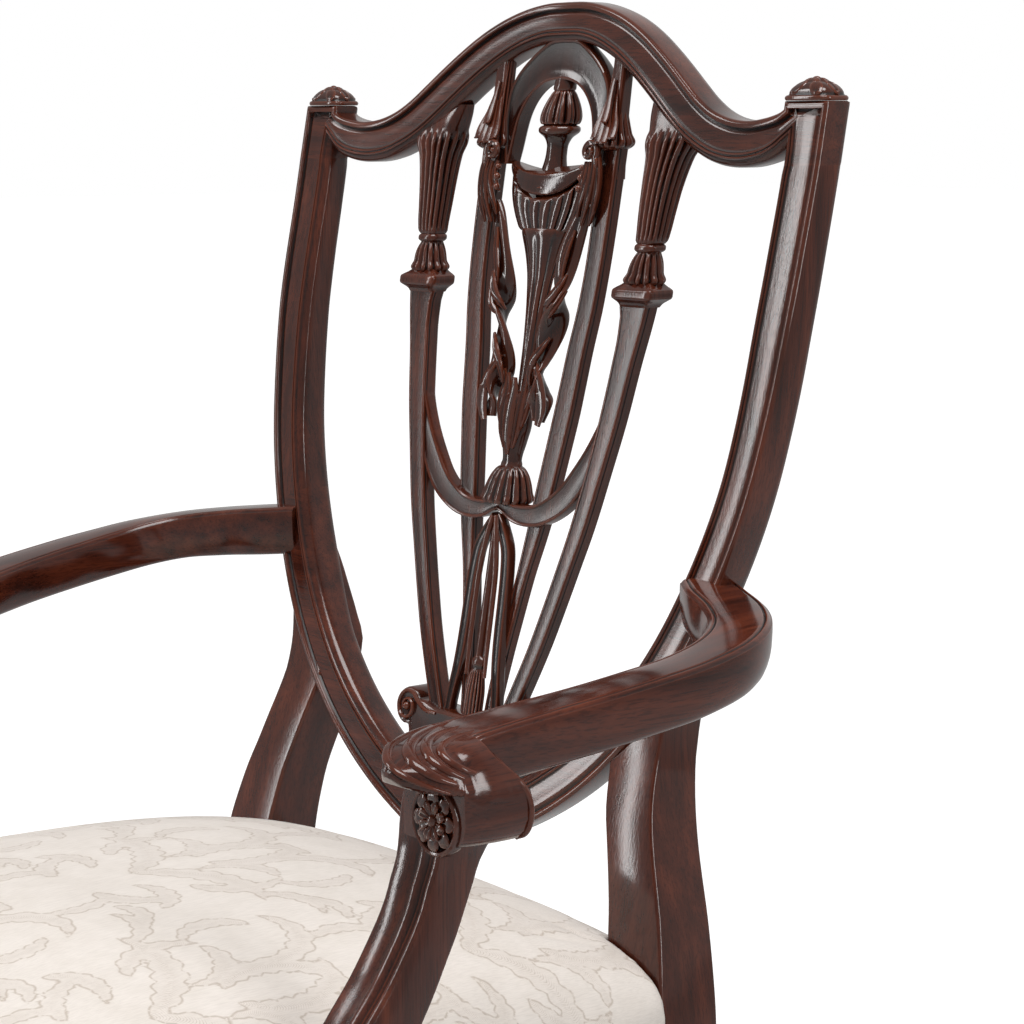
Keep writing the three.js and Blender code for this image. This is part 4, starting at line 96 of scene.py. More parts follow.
def front_plane(z):
    """Front of the leaning back at a height."""
    return RAKE * (z - EAR_HEIGHT)


def crest_hollow(x):
    """How far the crest is hollowed back from that plane."""
    softened = np.hypot(x, HOLLOW_SOFTENING) - HOLLOW_SOFTENING
    return HOLLOW_DEPTH * np.clip(1 - softened / HOLLOW_REACH, 0, None)


def between(t, start, end, first, second):
    """Passes from the first place to the second as t goes from start to end."""
    return (end - t) / (end - start) * first + (t - start) / (end - start) * second


def smooth_curve(points, count):
    """Centripetal curve through points, cut into equal lengths."""
    points = np.asarray(points, float)
    padded = np.vstack([2 * points[0] - points[1], points, 2 * points[-1] - points[-2]])
    fine = []
    for i in range(1, len(padded) - 2):
        near = padded[i - 1 : i + 3]
        knots = [0.0]
        for first, second in zip(near, near[1:]):
            knots.append(knots[-1] + max(np.linalg.norm(second - first), 1e-6) ** 0.5)
        t = np.linspace(knots[1], knots[2], CURVE_CUTS, endpoint=False)[:, None]
        a = [between(t, knots[k], knots[k + 1], near[k], near[k + 1]) for k in range(3)]
        b = [between(t, knots[k], knots[k + 2], a[k], a[k + 1]) for k in range(2)]
        fine.append(between(t, knots[1], knots[2], b[0], b[1]))
    fine = np.vstack(fine + [points[-1:]])
    length = np.concatenate([[0], np.cumsum(np.linalg.norm(np.diff(fine, axis=0), axis=1))])
    wanted = np.linspace(0, length[-1], count + 1)
    return np.column_stack([np.interp(wanted, length, fine[:, k]) for k in range(fine.shape[1])])


def smooth_rows(rows, step):
    """Rows of a table whose first column is a height, made finer on smooth curves."""
    rows = np.asarray(rows, float)
    if rows[0, 0] > rows[-1, 0]:
        rows = rows[::-1]
    heights = np.arange(rows[0, 0], rows[-1, 0], step)
    heights = np.append(heights, rows[-1, 0])
    columns = [heights]
    x = rows[:, 0]
    for k in range(1, rows.shape[1]):
        y = rows[:, k]
        slope = np.diff(y) / np.diff(x)
        tangent = np.concatenate([[slope[0]], (slope[1:] + slope[:-1]) / 2, [slope[-1]]])
        flat = np.sign(slope[1:]) != np.sign(slope[:-1])
        tangent[1:-1][flat] = 0
        i = np.clip(np.searchsorted(x, heights, side="right") - 1, 0, len(x) - 2)
        h = x[i + 1] - x[i]
        t = (heights - x[i]) / h
        columns.append(
            (2 * t**3 - 3 * t**2 + 1) * y[i]
            + (t**3 - 2 * t**2 + t) * h * tangent[i]
            + (-2 * t**3 + 3 * t**2) * y[i + 1]
            + (t**3 - t**2) * h * tangent[i + 1]
        )
    return np.column_stack(columns)


def read_off(table, value):
    """Value between the rows of a table of pairs."""
    return np.interp(value, *zip(*table))


def scallop(turn):
    """Rounded tops with a sharp groove between them: zero in a groove, one on a top."""
    return np.abs(np.sin(turn))


def bump(value, centre, width):
    """Smooth hill of height one."""
    t = np.clip(np.abs(value - centre) / width, 0, 1)
    return (1 - t * t) ** 2


def rise(value, start, end):
    """Smooth step from zero to one."""
    t = np.clip((value - start) / (end - start), 0, 1)
    return t * t * (3 - 2 * t)


def side_normals(line):
    """Mitred left-hand normals of a line in the plane, doubled points allowed."""
    line = np.asarray(line, float)
    keep = [0]
    for i in range(1, len(line)):
        if np.linalg.norm(line[i] - line[keep[-1]]) > 1e-4:
            keep.append(i)
    bare = line[keep]
    way = np.diff(bare, axis=0)
    way /= np.linalg.norm(way, axis=1)[:, None]
    left = np.column_stack([-way[:, 1], way[:, 0]])
    before = np.vstack([left[:1], left])
    after = np.vstack([left, left[-1:]])
    middle = before + after
    middle /= np.linalg.norm(middle, axis=1)[:, None]
    middle /= np.clip((middle * before).sum(axis=1), 0.5, 1)[:, None]
    owner = np.zeros(len(line), int)
    for n, k in enumerate(keep):
        owner[k:] = n
    return middle[owner]


# How a piece is drawn out, leafed and closed


def leave_edit():
    """Back to object mode, if a piece is still being worked."""
    if bpy.context.object is not None and bpy.context.object.mode == "EDIT":
        bpy.ops.object.mode_set(mode="OBJECT")


def at_place(points):
    """Millimetres of the drawing to metres of the frame."""
    placed = np.array(points, float) * MM
    placed[..., 1] += SET_BACK * MM
    return placed


def draw_out(rings, new=False):
    """Adds a ring, then extrudes it from station to station and fits it to each."""
    placed = [at_place(ring) for ring in rings]
    count = len(placed[0])
    if new:
        leave_edit()
        bpy.ops.object.select_all(action="DESELECT")
    else:
        bpy.ops.mesh.select_all(action="DESELECT")
    bpy.ops.mesh.primitive_circle_add(vertices=count, radius=0.01, fill_type="NGON")
    bpy.ops.object.mode_set(mode="EDIT")
    mesh = bpy.context.object.data
    shell = bmesh.from_edit_mesh(mesh)
    around = shell.verts.layers.int.get("around") or shell.verts.layers.int.new("around")
    for spot, point in enumerate([v for v in shell.verts if v.select]):
        point[around] = spot
    for station, ring in enumerate(placed):
        if station:
            bpy.ops.mesh.extrude_region_move()
            shell = bmesh.from_edit_mesh(mesh)
            around = shell.verts.layers.int.get("around")
        for point in shell.verts:
            if point.select:
                point.co = ring[point[around]]
    bmesh.update_edit_mesh(mesh)


def add_berry(place, radius, squash=(1.0, 1.0, 1.0)):
    """A carved bead sunk in the piece being worked."""
    spot = at_place(place)
    bpy.ops.mesh.select_all(action="DESELECT")
    bpy.ops.mesh.primitive_uv_sphere_add(segments=14, ring_count=10, radius=radius * MM, location=spot)
    bpy.ops.transform.resize(value=squash, center_override=spot)


def repeat_round(copies, centre, axis):
    """Copies the leaf just drawn round a centre."""
    bpy.ops.mesh.select_linked()
    for _ in range(copies - 1):
        bpy.ops.mesh.duplicate_move()
        bpy.ops.transform.rotate(
            value=2 * math.pi / copies, orient_axis=axis, orient_type="GLOBAL", center_override=at_place(centre)
        )


def close_piece(name, finish, nodes=(), sharp=34, twin=False):
    """Merges, faces out, smooths and names the piece, with its mirror copy for a pair."""
    bpy.ops.mesh.select_all(action="SELECT")
    bpy.ops.mesh.remove_doubles(threshold=1e-6)
    bpy.ops.mesh.normals_make_consistent(inside=False)
    bpy.ops.object.mode_set(mode="OBJECT")
    piece = bpy.context.object
    bpy.ops.object.transform_apply(location=True, rotation=True, scale=True)
    made = [(piece, "right" if twin else "")]
    if twin:
        bpy.ops.object.duplicate(linked=False)
        other = bpy.context.object
        bpy.ops.object.mode_set(mode="EDIT")
        bpy.ops.mesh.select_all(action="SELECT")
        bpy.ops.transform.resize(value=(-1, 1, 1), center_override=(0, 0, 0))
        bpy.ops.mesh.normals_make_consistent(inside=False)
        bpy.ops.object.mode_set(mode="OBJECT")
        made.append((other, "left"))
    for item, side in made:
        item.name = f"{name}_{side}" if side else name
        item.data.name = item.name
        item.data.materials.clear()
        item.data.materials.append(finish)
        bpy.ops.object.select_all(action="DESELECT")
        item.select_set(True)
        bpy.context.view_layer.objects.active = item
        bpy.ops.object.shade_smooth_by_angle(angle=math.radians(sharp))
        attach(item, "root")
        if nodes:
            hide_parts(*[f"{node}_{side}" if side else node for node in nodes])
        if finish.name.startswith("mahogany"):
            mark_wear_and_painted_light(item)
    return [item for item, _ in made]


def leaning(x, z, back):
    """A place set back from the front of the leaning shield."""
    return (x, float(front_plane(z)) + back, z)


def on_shield(rows, way=1, forward=0.0):
    """Ribbon rows given on the shield: x, z, set back, half width, half thickness, turn."""
    return [(*leaning(way * x, z, back - forward), *rest) for x, z, back, *rest in rows]


def lay_ribbon(rows, up=FACING, count=16, section=10, crease=0.0, new=False):
    """Leaf, stalk or ribbon along a path: x, y, z, half width, half thickness, turn."""
    rows = [list(row) + [0.0] * (6 - len(row)) for row in rows]
    path = smooth_curve(rows, count)
    way = np.gradient(path[:, :3], axis=0)
    way /= np.linalg.norm(way, axis=1)[:, None]
    face = np.array(up, float) - way * (way @ np.array(up, float))[:, None]
    face /= np.linalg.norm(face, axis=1)[:, None]
    across = np.cross(way, face)
    turn = np.radians(path[:, 5])[:, None]
    side = across * np.cos(turn) + face * np.sin(turn)
    top = face * np.cos(turn) - across * np.sin(turn)
    angle = np.linspace(0, 2 * np.pi, section, endpoint=False)
    groove = np.exp(-((np.cos(angle) * 2.6) ** 2)) * np.sign(np.sin(angle))
    rings = []
    for place, s, t, half, thick in zip(path[:, :3], side, top, path[:, 3], path[:, 4]):
        u = half * np.cos(angle)
        v = thick * (np.sin(angle) - crease * groove)
        rings.append(place + s * u[:, None] + t * v[:, None])
    for end in (0, -1):
        tip = rings[end] * RIBBON_TIP + rings[end].mean(axis=0) * (1 - RIBBON_TIP)
        rings.insert(0 if end == 0 else len(rings), tip)
    draw_out(rings, new)


def squared_ring(z, inner, outer, front, back, steps, power, cut=None):
    """Squarish ring of a post, cut in by carving that counts its leaves along the outline."""
    angles = np.linspace(0, 2 * np.pi, steps, endpoint=False)
    c, s = np.cos(angles), np.sin(angles)
    square = (np.abs(c) ** power + np.abs(s) ** power) ** (-1 / power)
    x, y = (outer - inner) / 2 * c * square, (back - front) / 2 * s * square
    steps_between = np.hypot(np.diff(x, append=x[:1]), np.diff(y, append=y[:1]))
    share = np.concatenate([[0], np.cumsum(steps_between)[:-1]]) / steps_between.sum()
    if cut is not None:
        pull = 1 - cut(share, z) / np.maximum(np.hypot(x, y), 1)
        x, y = x * pull, y * pull
    lean = float(front_plane(z))
    return np.column_stack([x + (inner + outer) / 2, y + (front + back) / 2 + lean, np.full(steps, z)])


def turned_rings(rows, step, depth_share, axis, cut=None, steps=96, least=0.0, sag=None):
    """Rings of a turned or flattened body standing in the leaning shield."""
    rings = []
    for z, half in smooth_rows(rows, step):
        angles = np.linspace(0, 2 * np.pi, steps, endpoint=False)
        share = 1 - (cut(angles, z, half) if cut is not None else 0) / max(half, 1.0)
        x = half * np.cos(angles) * share
        y = max(half * depth_share, least) * np.sin(angles) * share
        lower = sag(x, z) if sag is not None else np.zeros(steps)
        rings.append(np.column_stack([x, front_plane(z) + axis + y, z - lower]))
    return rings


def read_rows(items, what, width=3, kind=float):
    """What each item of a mesh stores, one row for each."""
    flat = np.empty(len(items) * width, kind)
    items.foreach_get(what, flat)
    return flat.reshape(-1, width)


def store_values(mesh, **layers):
    """Stores one number for each point under each name, for the finishes."""
    for name, value in layers.items():
        layer = mesh.attributes.new(name, "FLOAT", "POINT")
        layer.data.foreach_set("value", value.astype(np.float32))


def mark_wear_and_painted_light(piece, reach=2):
    """Stores where the surface is hollow and where it is proud, for glaze with painted shade in the hollows and rubbed
    wear with a painted highlight on the edges.
    """
    mesh = piece.data
    place = read_rows(mesh.vertices, "co")
    normal = read_rows(mesh.vertices, "normal")
    ends = read_rows(mesh.edges, "vertices", 2, int).T
    degree, bend = np.zeros(len(place)), np.zeros(len(place))
    for here, there in (ends, ends[::-1]):
        span = place[there] - place[here]
        length = np.maximum(np.linalg.norm(span, axis=1), 1e-6)
        np.add.at(degree, here, 1)
        np.add.at(bend, here, (span * normal[here]).sum(axis=1) / length**2)
    degree = np.maximum(degree, 1)
    bend = np.clip(bend / degree * WEAR_AND_PAINTED_LIGHT_BEND, -1, 1)
    for _ in range(reach):
        total = np.zeros(len(place))
        for here, there in (ends, ends[::-1]):
            np.add.at(total, here, bend[there])
        bend = 0.5 * bend + 0.5 * total / degree
    store_values(mesh, hollow=np.clip(bend, 0, 1), proud=np.clip(-bend, 0, 1))


# Finishes


def tree_of(name):
    """New finish with its tree of nodes and its shader."""
    finish = bpy.data.materials.new(name)
    finish.use_nodes = True
    tree = finish.node_tree
    return finish, tree, tree.nodes["Principled BSDF"]


def feed(tree, socket, value):
    """Links a socket to another node's output, or sets it to a number or a colour."""
    if isinstance(value, bpy.types.NodeSocket):
        tree.links.new(value, socket)
    elif socket.type == "RGBA" and len(value) == 3:
        socket.default_value = (*value, 1)
    else:
        socket.default_value = value


def dial(tree, node, **values):
    """Sets a node's own settings and its inputs, named with underscores for spaces."""
    for key, value in values.items():
        if hasattr(node, key):
            setattr(node, key, value)
        else:
            feed(tree, node.inputs[key.replace("_", " ")], value)


def add(tree, kind, **values):
    """New node, set as given."""
    node = tree.nodes.new(kind)
    dial(tree, node, **values)
    return node


def stored(tree, name):
    """One number stored on the points of the piece."""
    return add(tree, "ShaderNodeAttribute", attribute_name=name).outputs["Fac"]


def mapped(tree, scale=(1, 1, 1)):
    """Places on the piece, scaled along each axis."""
    place = add(tree, "ShaderNodeTexCoord").outputs["Object"]
    return add(tree, "ShaderNodeMapping", Scale=scale, Vector=place).outputs["Vector"]


def noise(tree, vector, scale, detail=3.0, roughness=0.5):
    """Soft random mottle."""
    node = add(tree, "ShaderNodeTexNoise", Scale=scale, Detail=detail, Roughness=roughness, Vector=vector)
    return node.outputs["Fac"]


def ramp(tree, source, stops):
    """Colours that follow a value between stops."""
    node = add(tree, "ShaderNodeValToRGB", Fac=source)
    while len(node.color_ramp.elements) < len(stops):
        node.color_ramp.elements.new(0.5)
    for element, (position, colour) in zip(node.color_ramp.elements, stops):
        element.position = position
        element.color = (*colour, 1)
    return node.outputs["Color"]


def mix_colour(tree, factor, first, second, blend="MIX"):
    """Two colours mixed by a factor."""
    node = add(tree, "ShaderNodeMix", data_type="RGBA", blend_type=blend)
    for spot, value in ((0, factor), (6, first), (7, second)):
        feed(tree, node.inputs[spot], value)
    return node.outputs[2]


def math_node(tree, operation, *values):
    """One step of arithmetic on numbers or other nodes' outputs."""
    node = add(tree, "ShaderNodeMath", operation=operation)
    for socket, value in zip(node.inputs, values):
        feed(tree, socket, value)
    return node.outputs[0]


def bump_node(tree, shader, height, strength, distance):
    """Fine relief of the surface, without moving it."""
    node = add(tree, "ShaderNodeBump", Strength=strength, Distance=distance, Height=height)
    dial(tree, shader, Normal=node.outputs["Normal"])


def polished_mahogany(name, along, carved=False):
    """Dark polished mahogany whose grain runs along one axis, with glaze and painted shade in its hollows and rubbed
    wear with a painted highlight on its proud edges.
    """
    finish, tree, shader = tree_of(name)
    stretch = [1.0, 1.0, 1.0]
    stretch["XYZ".index(along)] = 0.045
    grain = mapped(tree, stretch)
    bands = noise(tree, grain, 95.0, 4.0, 0.6)
    wood = ramp(
        tree,
        bands,
        [(0.3, (0.027, 0.0060, 0.0035)), (0.5, (0.072, 0.0158, 0.0080)), (0.72, (0.128, 0.0295, 0.0132))],
    )
    pores = noise(tree, grain, 900.0, 2.0, 0.65)
    speckle = ramp(tree, pores, [(0.36, (0.42, 0.38, 0.36)), (0.5, (1, 1, 1))])
    wood = mix_colour(tree, 0.75, wood, speckle, "MULTIPLY")
    patches = noise(tree, mapped(tree), 9.0, 2.0, 0.5)
    tone = ramp(tree, patches, [(0.32, (0.72, 0.68, 0.66)), (0.68, (1.15, 1.1, 1.05))])
    wood = mix_colour(tree, 1.0, wood, tone, "MULTIPLY")
    # Carved pieces are darkened overall as painted shade.
    if carved:
        wood = mix_colour(tree, 1.0, wood, (0.42, 0.38, 0.36), "MULTIPLY")
    # Proud edges turn a lighter red brown: rubbed wear and a painted highlight.
    rubbed_and_highlit = math_node(tree, "MULTIPLY", stored(tree, "proud"), 0.9 if carved else 0.55)
    rubbed_and_highlit = math_node(tree, "MINIMUM", rubbed_and_highlit, 0.85)
    wood = mix_colour(tree, rubbed_and_highlit, wood, (0.17, 0.04, 0.017))
    # Hollows darken towards near black: glaze and painted shade.
    glaze_and_shade = math_node(tree, "MULTIPLY", stored(tree, "hollow"), 2.8 if carved else 2.0)
    glaze_and_shade = math_node(tree, "MINIMUM", glaze_and_shade, 0.95)
    wood = mix_colour(tree, glaze_and_shade, wood, (0.0035, 0.0014, 0.0012))
    gloss = math_node(tree, "MULTIPLY_ADD", patches, 0.09, 0.06 if carved else 0.085)
    gloss = math_node(tree, "MULTIPLY_ADD", glaze_and_shade, 0.3, gloss)
    dial(tree, shader, Base_Color=wood, Roughness=gloss, IOR=1.54 if carved else 1.46)
    dial(tree, shader, Coat_Weight=0.12, Coat_Roughness=0.08)
    bump_node(tree, shader, math_node(tree, "ADD", pores, bands), 0.1, 0.0004)
    return finish


def plain_finish(name, dark, light, scale, stretch, roughness, metal=0.0, bump=0.2):
    """Inside wood, bright steel or worn nylon: two tones of one noise, drawn out along one axis."""
    finish, tree, shader = tree_of(name)
    mottle = noise(tree, mapped(tree, stretch), scale, 4.0, 0.6)
    tones = ramp(tree, mottle, [(0.3, dark), (0.7, light)])
    dull = math_node(tree, "MULTIPLY_ADD", mottle, 0.25, roughness)
    dial(tree, shader, Base_Color=tones, Roughness=dull, Metallic=metal)
    bump_node(tree, shader, mottle, bump, 0.0005)
    return finish


def woven_cloth(name, dark, light, threads):
    """Plain weave of webbing or lining, warp and weft as crossed waves."""
    finish, tree, shader = tree_of(name)
    waves = []
    for direction in ("X", "Y"):
        wave = add(tree, "ShaderNodeTexWave", bands_direction=direction, Scale=threads, Distortion=1.2)
        dial(tree, wave, Vector=mapped(tree))
        waves.append(wave.outputs["Fac"])
    weave = math_node(tree, "MULTIPLY", *waves)
    soil = noise(tree, mapped(tree), 30.0, 3.0, 0.5)
    tones = ramp(tree, math_node(tree, "MULTIPLY_ADD", soil, 0.5, weave), [(0.1, dark), (0.9, light)])
    dial(tree, shader, Base_Color=tones, Roughness=0.92)
    bump_node(tree, shader, weave, 0.6, 0.0006)
    return finish


def cream_damask():
    """Cream damask: satin leaves on a dull ground, fine tan outlines and hatched fills."""
    finish, tree, shader = tree_of("cream damask")
    figure = stored(tree, "figure")
    slub = noise(tree, mapped(tree, (1, 0.08, 1)), 1500.0, 2.0, 0.6)
    drift = noise(tree, mapped(tree), 60.0, 2.0, 0.5)
    satin = add(tree, "ShaderNodeMapRange", From_Min=0.35, From_Max=-0.35, Value=figure).outputs["Result"]
    cloth = mix_colour(tree, satin, (0.80, 0.74, 0.687), (0.784, 0.72, 0.665))
    edge = math_node(tree, "MULTIPLY", math_node(tree, "ABSOLUTE", figure), 0.9)
    edge = math_node(tree, "MAXIMUM", math_node(tree, "SUBTRACT", 1.0, edge), 0.0)
    stripes = math_node(tree, "SINE", math_node(tree, "MULTIPLY", stored(tree, "hatch"), 2.6))
    stripes = math_node(tree, "MAXIMUM", math_node(tree, "MULTIPLY_ADD", stripes, 1.6, -0.5), 0.0)
    stripes = math_node(tree, "MULTIPLY", stripes, stored(tree, "within"))
    patchy = noise(tree, mapped(tree), 420.0, 1.0, 0.5)
    broken = ramp(tree, patchy, [(0.34, (0.15, 0.15, 0.15)), (0.46, (1, 1, 1))])
    line = math_node(tree, "MAXIMUM", edge, math_node(tree, "MULTIPLY", stripes, 0.6))
    line = math_node(tree, "MULTIPLY", line, broken)
    line = math_node(tree, "MINIMUM", math_node(tree, "MULTIPLY", line, 0.6), 0.6)
    cloth = mix_colour(tree, line, cloth, (0.40, 0.31, 0.235))
    for source, stops in (
        (drift, [(0.3, (0.965, 0.96, 0.95)), (0.7, (1.02, 1.02, 1.02))]),
        (slub, [(0.3, (0.93, 0.925, 0.92)), (0.6, (1.02, 1.02, 1.02))]),
    ):
        cloth = mix_colour(tree, 1.0, cloth, ramp(tree, source, stops), "MULTIPLY")
    dial(tree, shader, Base_Color=cloth, Roughness=math_node(tree, "MULTIPLY_ADD", satin, -0.22, 0.74))
    dial(tree, shader, Specular_IOR_Level=0.35, Sheen_Weight=0.2, Sheen_Roughness=0.4)
    height = math_node(tree, "MULTIPLY_ADD", satin, 0.6, math_node(tree, "MULTIPLY", slub, 0.5))
    bump_node(tree, shader, height, 0.16, 0.0004)
    return finish


upright_mahogany = polished_mahogany("mahogany grain upright", "Z")
across_mahogany = polished_mahogany("mahogany grain across", "X")
lengthwise_mahogany = polished_mahogany("mahogany grain front to back", "Y")
# Carved pieces carry painted shade: darker overall and near black in their hollows.
carved_mahogany = polished_mahogany("mahogany carved and glazed", "Z", carved=True)
block_beech = plain_finish("block beech", (0.38, 0.24, 0.12), (0.55, 0.38, 0.22), 70.0, (1, 1, 0.08), 0.52)
screw_steel = plain_finish("screw steel", (0.35, 0.33, 0.3), (0.6, 0.58, 0.54), 700.0, (1, 1, 1), 0.25, 1.0, 0.1)
glide_nylon = plain_finish("glide nylon", (0.05, 0.045, 0.04), (0.11, 0.1, 0.09), 500.0, (1, 1, 0.4), 0.4)
jute = woven_cloth("jute webbing", (0.16, 0.1, 0.05), (0.42, 0.3, 0.17), 180.0)
lining_black = woven_cloth("black lining", (0.006, 0.006, 0.006), (0.03, 0.029, 0.028), 320.0)
damask = cream_damask()

for start, finish in (
    ("seat_rail", across_mahogany),
    ("corner_block", block_beech),
    ("seat_webbing", jute),
    ("arm_screw", screw_steel),
    ("support_screw", screw_steel),
    ("block_screw", screw_steel),
    ("foot_glide", glide_nylon),
):
    for node in bpy.data.objects:
        if node.type == "MESH" and node.name.startswith(start):
            for place in node.material_slots:
                place.material = finish


# Shield frame: one moulding runs round stiles, lower rail and crest

SHIELD_OUTER = [
    (0, 470.4), (12, 472.2), (33.7, 479.8), (65.4, 493.4), (95, 510), (122.2, 529.7), (146.6, 552.7),
    (168.2, 578.9), (186.6, 607.4), (201.8, 638), (213.9, 669), (223, 701), (229.3, 736),
    (233.5, 771), (235.7, 806), (236.6, 841), (237.5, 878),
]  # fmt: skip
CREST_TOP = [
    (205, 907.6), (202.6, 906.2), (198.4, 904.8), (190, 903), (177.2, 901.6), (161.3, 903), (145.9, 907.5),
    (132.6, 914.5), (120, 923.3), (106.6, 933), (92.7, 942.5), (78.7, 951.2), (64.2, 958.7),
    (49, 964.7), (33, 969.1), (16.6, 971.6), (0, 972),
]  # fmt: skip
CREST_LOW = [
    (208, 887), (205, 884.6), (200, 881.8), (193.3, 879.2), (178, 876.4), (162.4, 876.4), (147.4, 879),
    (133.3, 884.1), (119.7, 890.8), (106.1, 899.6), (92.4, 909.6), (78.6, 919.5), (64.4, 928.8),
    (49.3, 937.1), (33.4, 943.6), (16.9, 947.5), (0, 948.2),
]  # fmt: skip
OUTER_MOULD = [
    (0, 7.0), (0, 2.2), (0.25, 1.0), (0.9, 0.3), (1.8, 0), (3.2, 0), (3.9, 0.3), (4.2, 1.0), (4.4, 2.3),
    (4.8, 2.9), (5.6, 2.7), (6.6, 2.0), (7.4, 1.75),
]  # fmt: skip
INNER_MOULD = [
    (9, 1.6), (8.3, 1.5), (7.8, 0.75), (7.3, 0.35), (6.8, 0.6), (6.5, 1.3), (6.1, 1.3), (5.8, 0.5),
    (5.2, 0), (4.6, 0.3), (4.2, 1.1), (3.7, 1.6), (2.7, 2.0), (1.5, 2.9), (0.5, 4.2), (0, 6.0), (0, 9.0),
]  # fmt: skip
FIELD_SHARES = [(0.06, 1.7), (0.3, 1.7), (0.5, 1.75), (0.7, 1.7), (0.94, 1.62)]
SHIELD_CUTS = 90
CREST_CUTS = 84
JOINT_LOW = 51
EAR_EDGE = 237.5
EAR_INNER = 208
EAR_FOOT = 878
CREST_FOOT = 887
STILE_WIDTH = 27.6
STILE_WIDENING = 2.4


def shield_pairs():
    """Matched points of the outer and the inner edge, from the bottom up and over to the middle."""
    outer = smooth_curve(SHIELD_OUTER, SHIELD_CUTS)
    normals = side_normals(outer)
    normals[0] = (0, 1)
    width = STILE_WIDTH + STILE_WIDENING * rise(outer[:, 1], 690, 810)
    inner = outer + normals * width[:, None]
    inner[-1] = (EAR_INNER, EAR_FOOT)
    outer_side, inner_side = ([(x, EAR_FOOT + 1.5 * k) for k in range(1, 7)] for x in (EAR_EDGE, EAR_INNER))
    ear = [(EAR_EDGE, CREST_FOOT + 3.1 * k) for k in range(1, 8)] + [(EAR_EDGE, EAR_HEIGHT)]
    ear += [(EAR_EDGE - 4.0 * k, EAR_HEIGHT) for k in range(1, 8)]
    ear += [(EAR_NECK, EAR_HEIGHT - drop) for drop in (0, 2, 3)]
    crest_top = smooth_curve(CREST_TOP, CREST_CUTS)
    crest_low = smooth_curve(CREST_LOW, CREST_CUTS)
    outer = np.vstack([outer, outer_side, ear, crest_top])
    inner = np.vstack([inner, inner_side, [(EAR_INNER, CREST_FOOT)] * len(ear), crest_low])
    return outer, inner


def shield_rings():
    """Moulded section of the frame at every station."""
    outer, inner = shield_pairs()
    outer_normal = side_normals(outer)
    inner_normal = -side_normals(inner)
    for normal, way in ((outer_normal, 1), (inner_normal, -1)):
        normal[0] = (0, way)
        normal[-1] = (0, -way)
    rings = []
    for station, (o, i, no, ni) in enumerate(zip(outer, inner, outer_normal, inner_normal)):
        on_crest = station > SHIELD_CUTS
        low = 20 + 6 * np.clip((EAR_HEIGHT - o[1]) / 292, 0, 1)
        depth = 21.0 if on_crest else (23 + (low - 23) * rise(o[0], 150, 185) if o[1] < 640 else low)
        spots = [(o + no * s, d) for s, d in OUTER_MOULD]
        start = spots[-1][0]
        end = i + ni * INNER_MOULD[0][0]
        spots += [(start + (end - start) * share, d) for share, d in FIELD_SHARES]
        spots += [(i + ni * s, d) for s, d in INNER_MOULD]
        for s, d in ((0, depth - 6), (0.7, depth - 3), (2.4, depth - 1), (6, depth)):
            spots.append((i + ni * s, d))
        for s, d in ((6, depth), (2.4, depth - 1), (0.7, depth - 3), (0, depth - 6)):
            spots.append((o + no * s, d))
        ring = []
        for (x, z), d in spots:
            share = rise(abs(x), 150, EAR_INNER) if on_crest else 1.0
            proud = 2.5 * np.clip((EAR_HEIGHT - z) / 130, 0, 1) * share
            hollow = crest_hollow(min(abs(x), EAR_NECK))
            if not on_crest:
                hollow = crest_hollow(EAR_NECK) * rise(z, 780, EAR_FOOT)
            ring.append((x, front_plane(z) + hollow - proud + d, z))
        rings.append(np.array(ring, float))
    return rings


def both_halves(half):
    """Stations of the left half in front of those of the right half, meeting in the middle."""
    return [ring * (-1, 1, 1) for ring in half[:0:-1]] + list(half)


shield = shield_rings()
draw_out(both_halves(shield[: JOINT_LOW + 1]), new=True)
close_piece("shield_lower_rail_moulded", across_mahogany, ["shield_lower_rail"])
draw_out(both_halves(shield[SHIELD_CUTS:][::-1]), new=True)
close_piece("crest_rail_moulded", across_mahogany, ["crest_rail"])


# Stiles that run on down as the rear legs

POST = [
    (646, 182, 201, -40, -24), (621, 166, 190, -46, -24), (605, 156, 184.5, -50.5, -25),
    (588, 146, 180.4, -54, -26), (572, 138, 177.5, -57, -27.5), (555, 139, 177.3, -61, -30),
    (539, 142, 179.5, -66.5, -33), (522, 146, 184, -72, -36.5), (505, 151.5, 190, -76, -40),
    (489, 156.5, 196.5, -79.5, -43), (472, 160.5, 202.5, -82.5, -45), (456, 163.5, 207, -85.5, -46.5),
    (439, 166, 210.6, -88, -47.5), (422, 168, 213.7, -90.5, -48.5), (400, 169, 216, -92.5, -49.5),
    (372, 170, 217, -93, -50), (345, 171, 217, -91, -50), (300, 173, 216.5, -85, -47),
    (200, 178, 215, -66, -32), (100, 182, 213, -44, -13), (6, 186, 212, -20, 8),
]  # fmt: skip


def eased_box(left, right, front, back, radius, steps=5):
    """Plan of a squared timber with eased arrises."""
    corners = [
        (right - radius, front + radius, -90),
        (right - radius, back - radius, 0),
        (left + radius, back - radius, 90),
        (left + radius, front + radius, 180),
    ]
    points = []
    for x, y, start in corners:
        for k in range(steps + 1):
            angle = math.radians(start + 90 * k / steps)
            points.append((x + radius * math.cos(angle), y + radius * math.sin(angle)))
    return points


draw_out(shield[JOINT_LOW : SHIELD_CUTS + 1], new=True)
draw_out(
    [
        [(x, y, z) for x, y in eased_box(left, right, front, back, 2.2)]
        for z, left, right, front, back in smooth_rows(POST, 7.0)
    ]
)
close_piece("rear_leg_and_stile_moulded", upright_mahogany, ["rear_leg_and_stile"], twin=True)


# Carved caps on the ears

CAP_CENTRE = (220.2, float(front_plane(EAR_HEIGHT)) + 9.6 + float(crest_hollow(EAR_NECK)), EAR_HEIGHT + 0.2)
CAP_REACH = (0.0172, 0.0112)
CAP_FLATTENED = 0.65


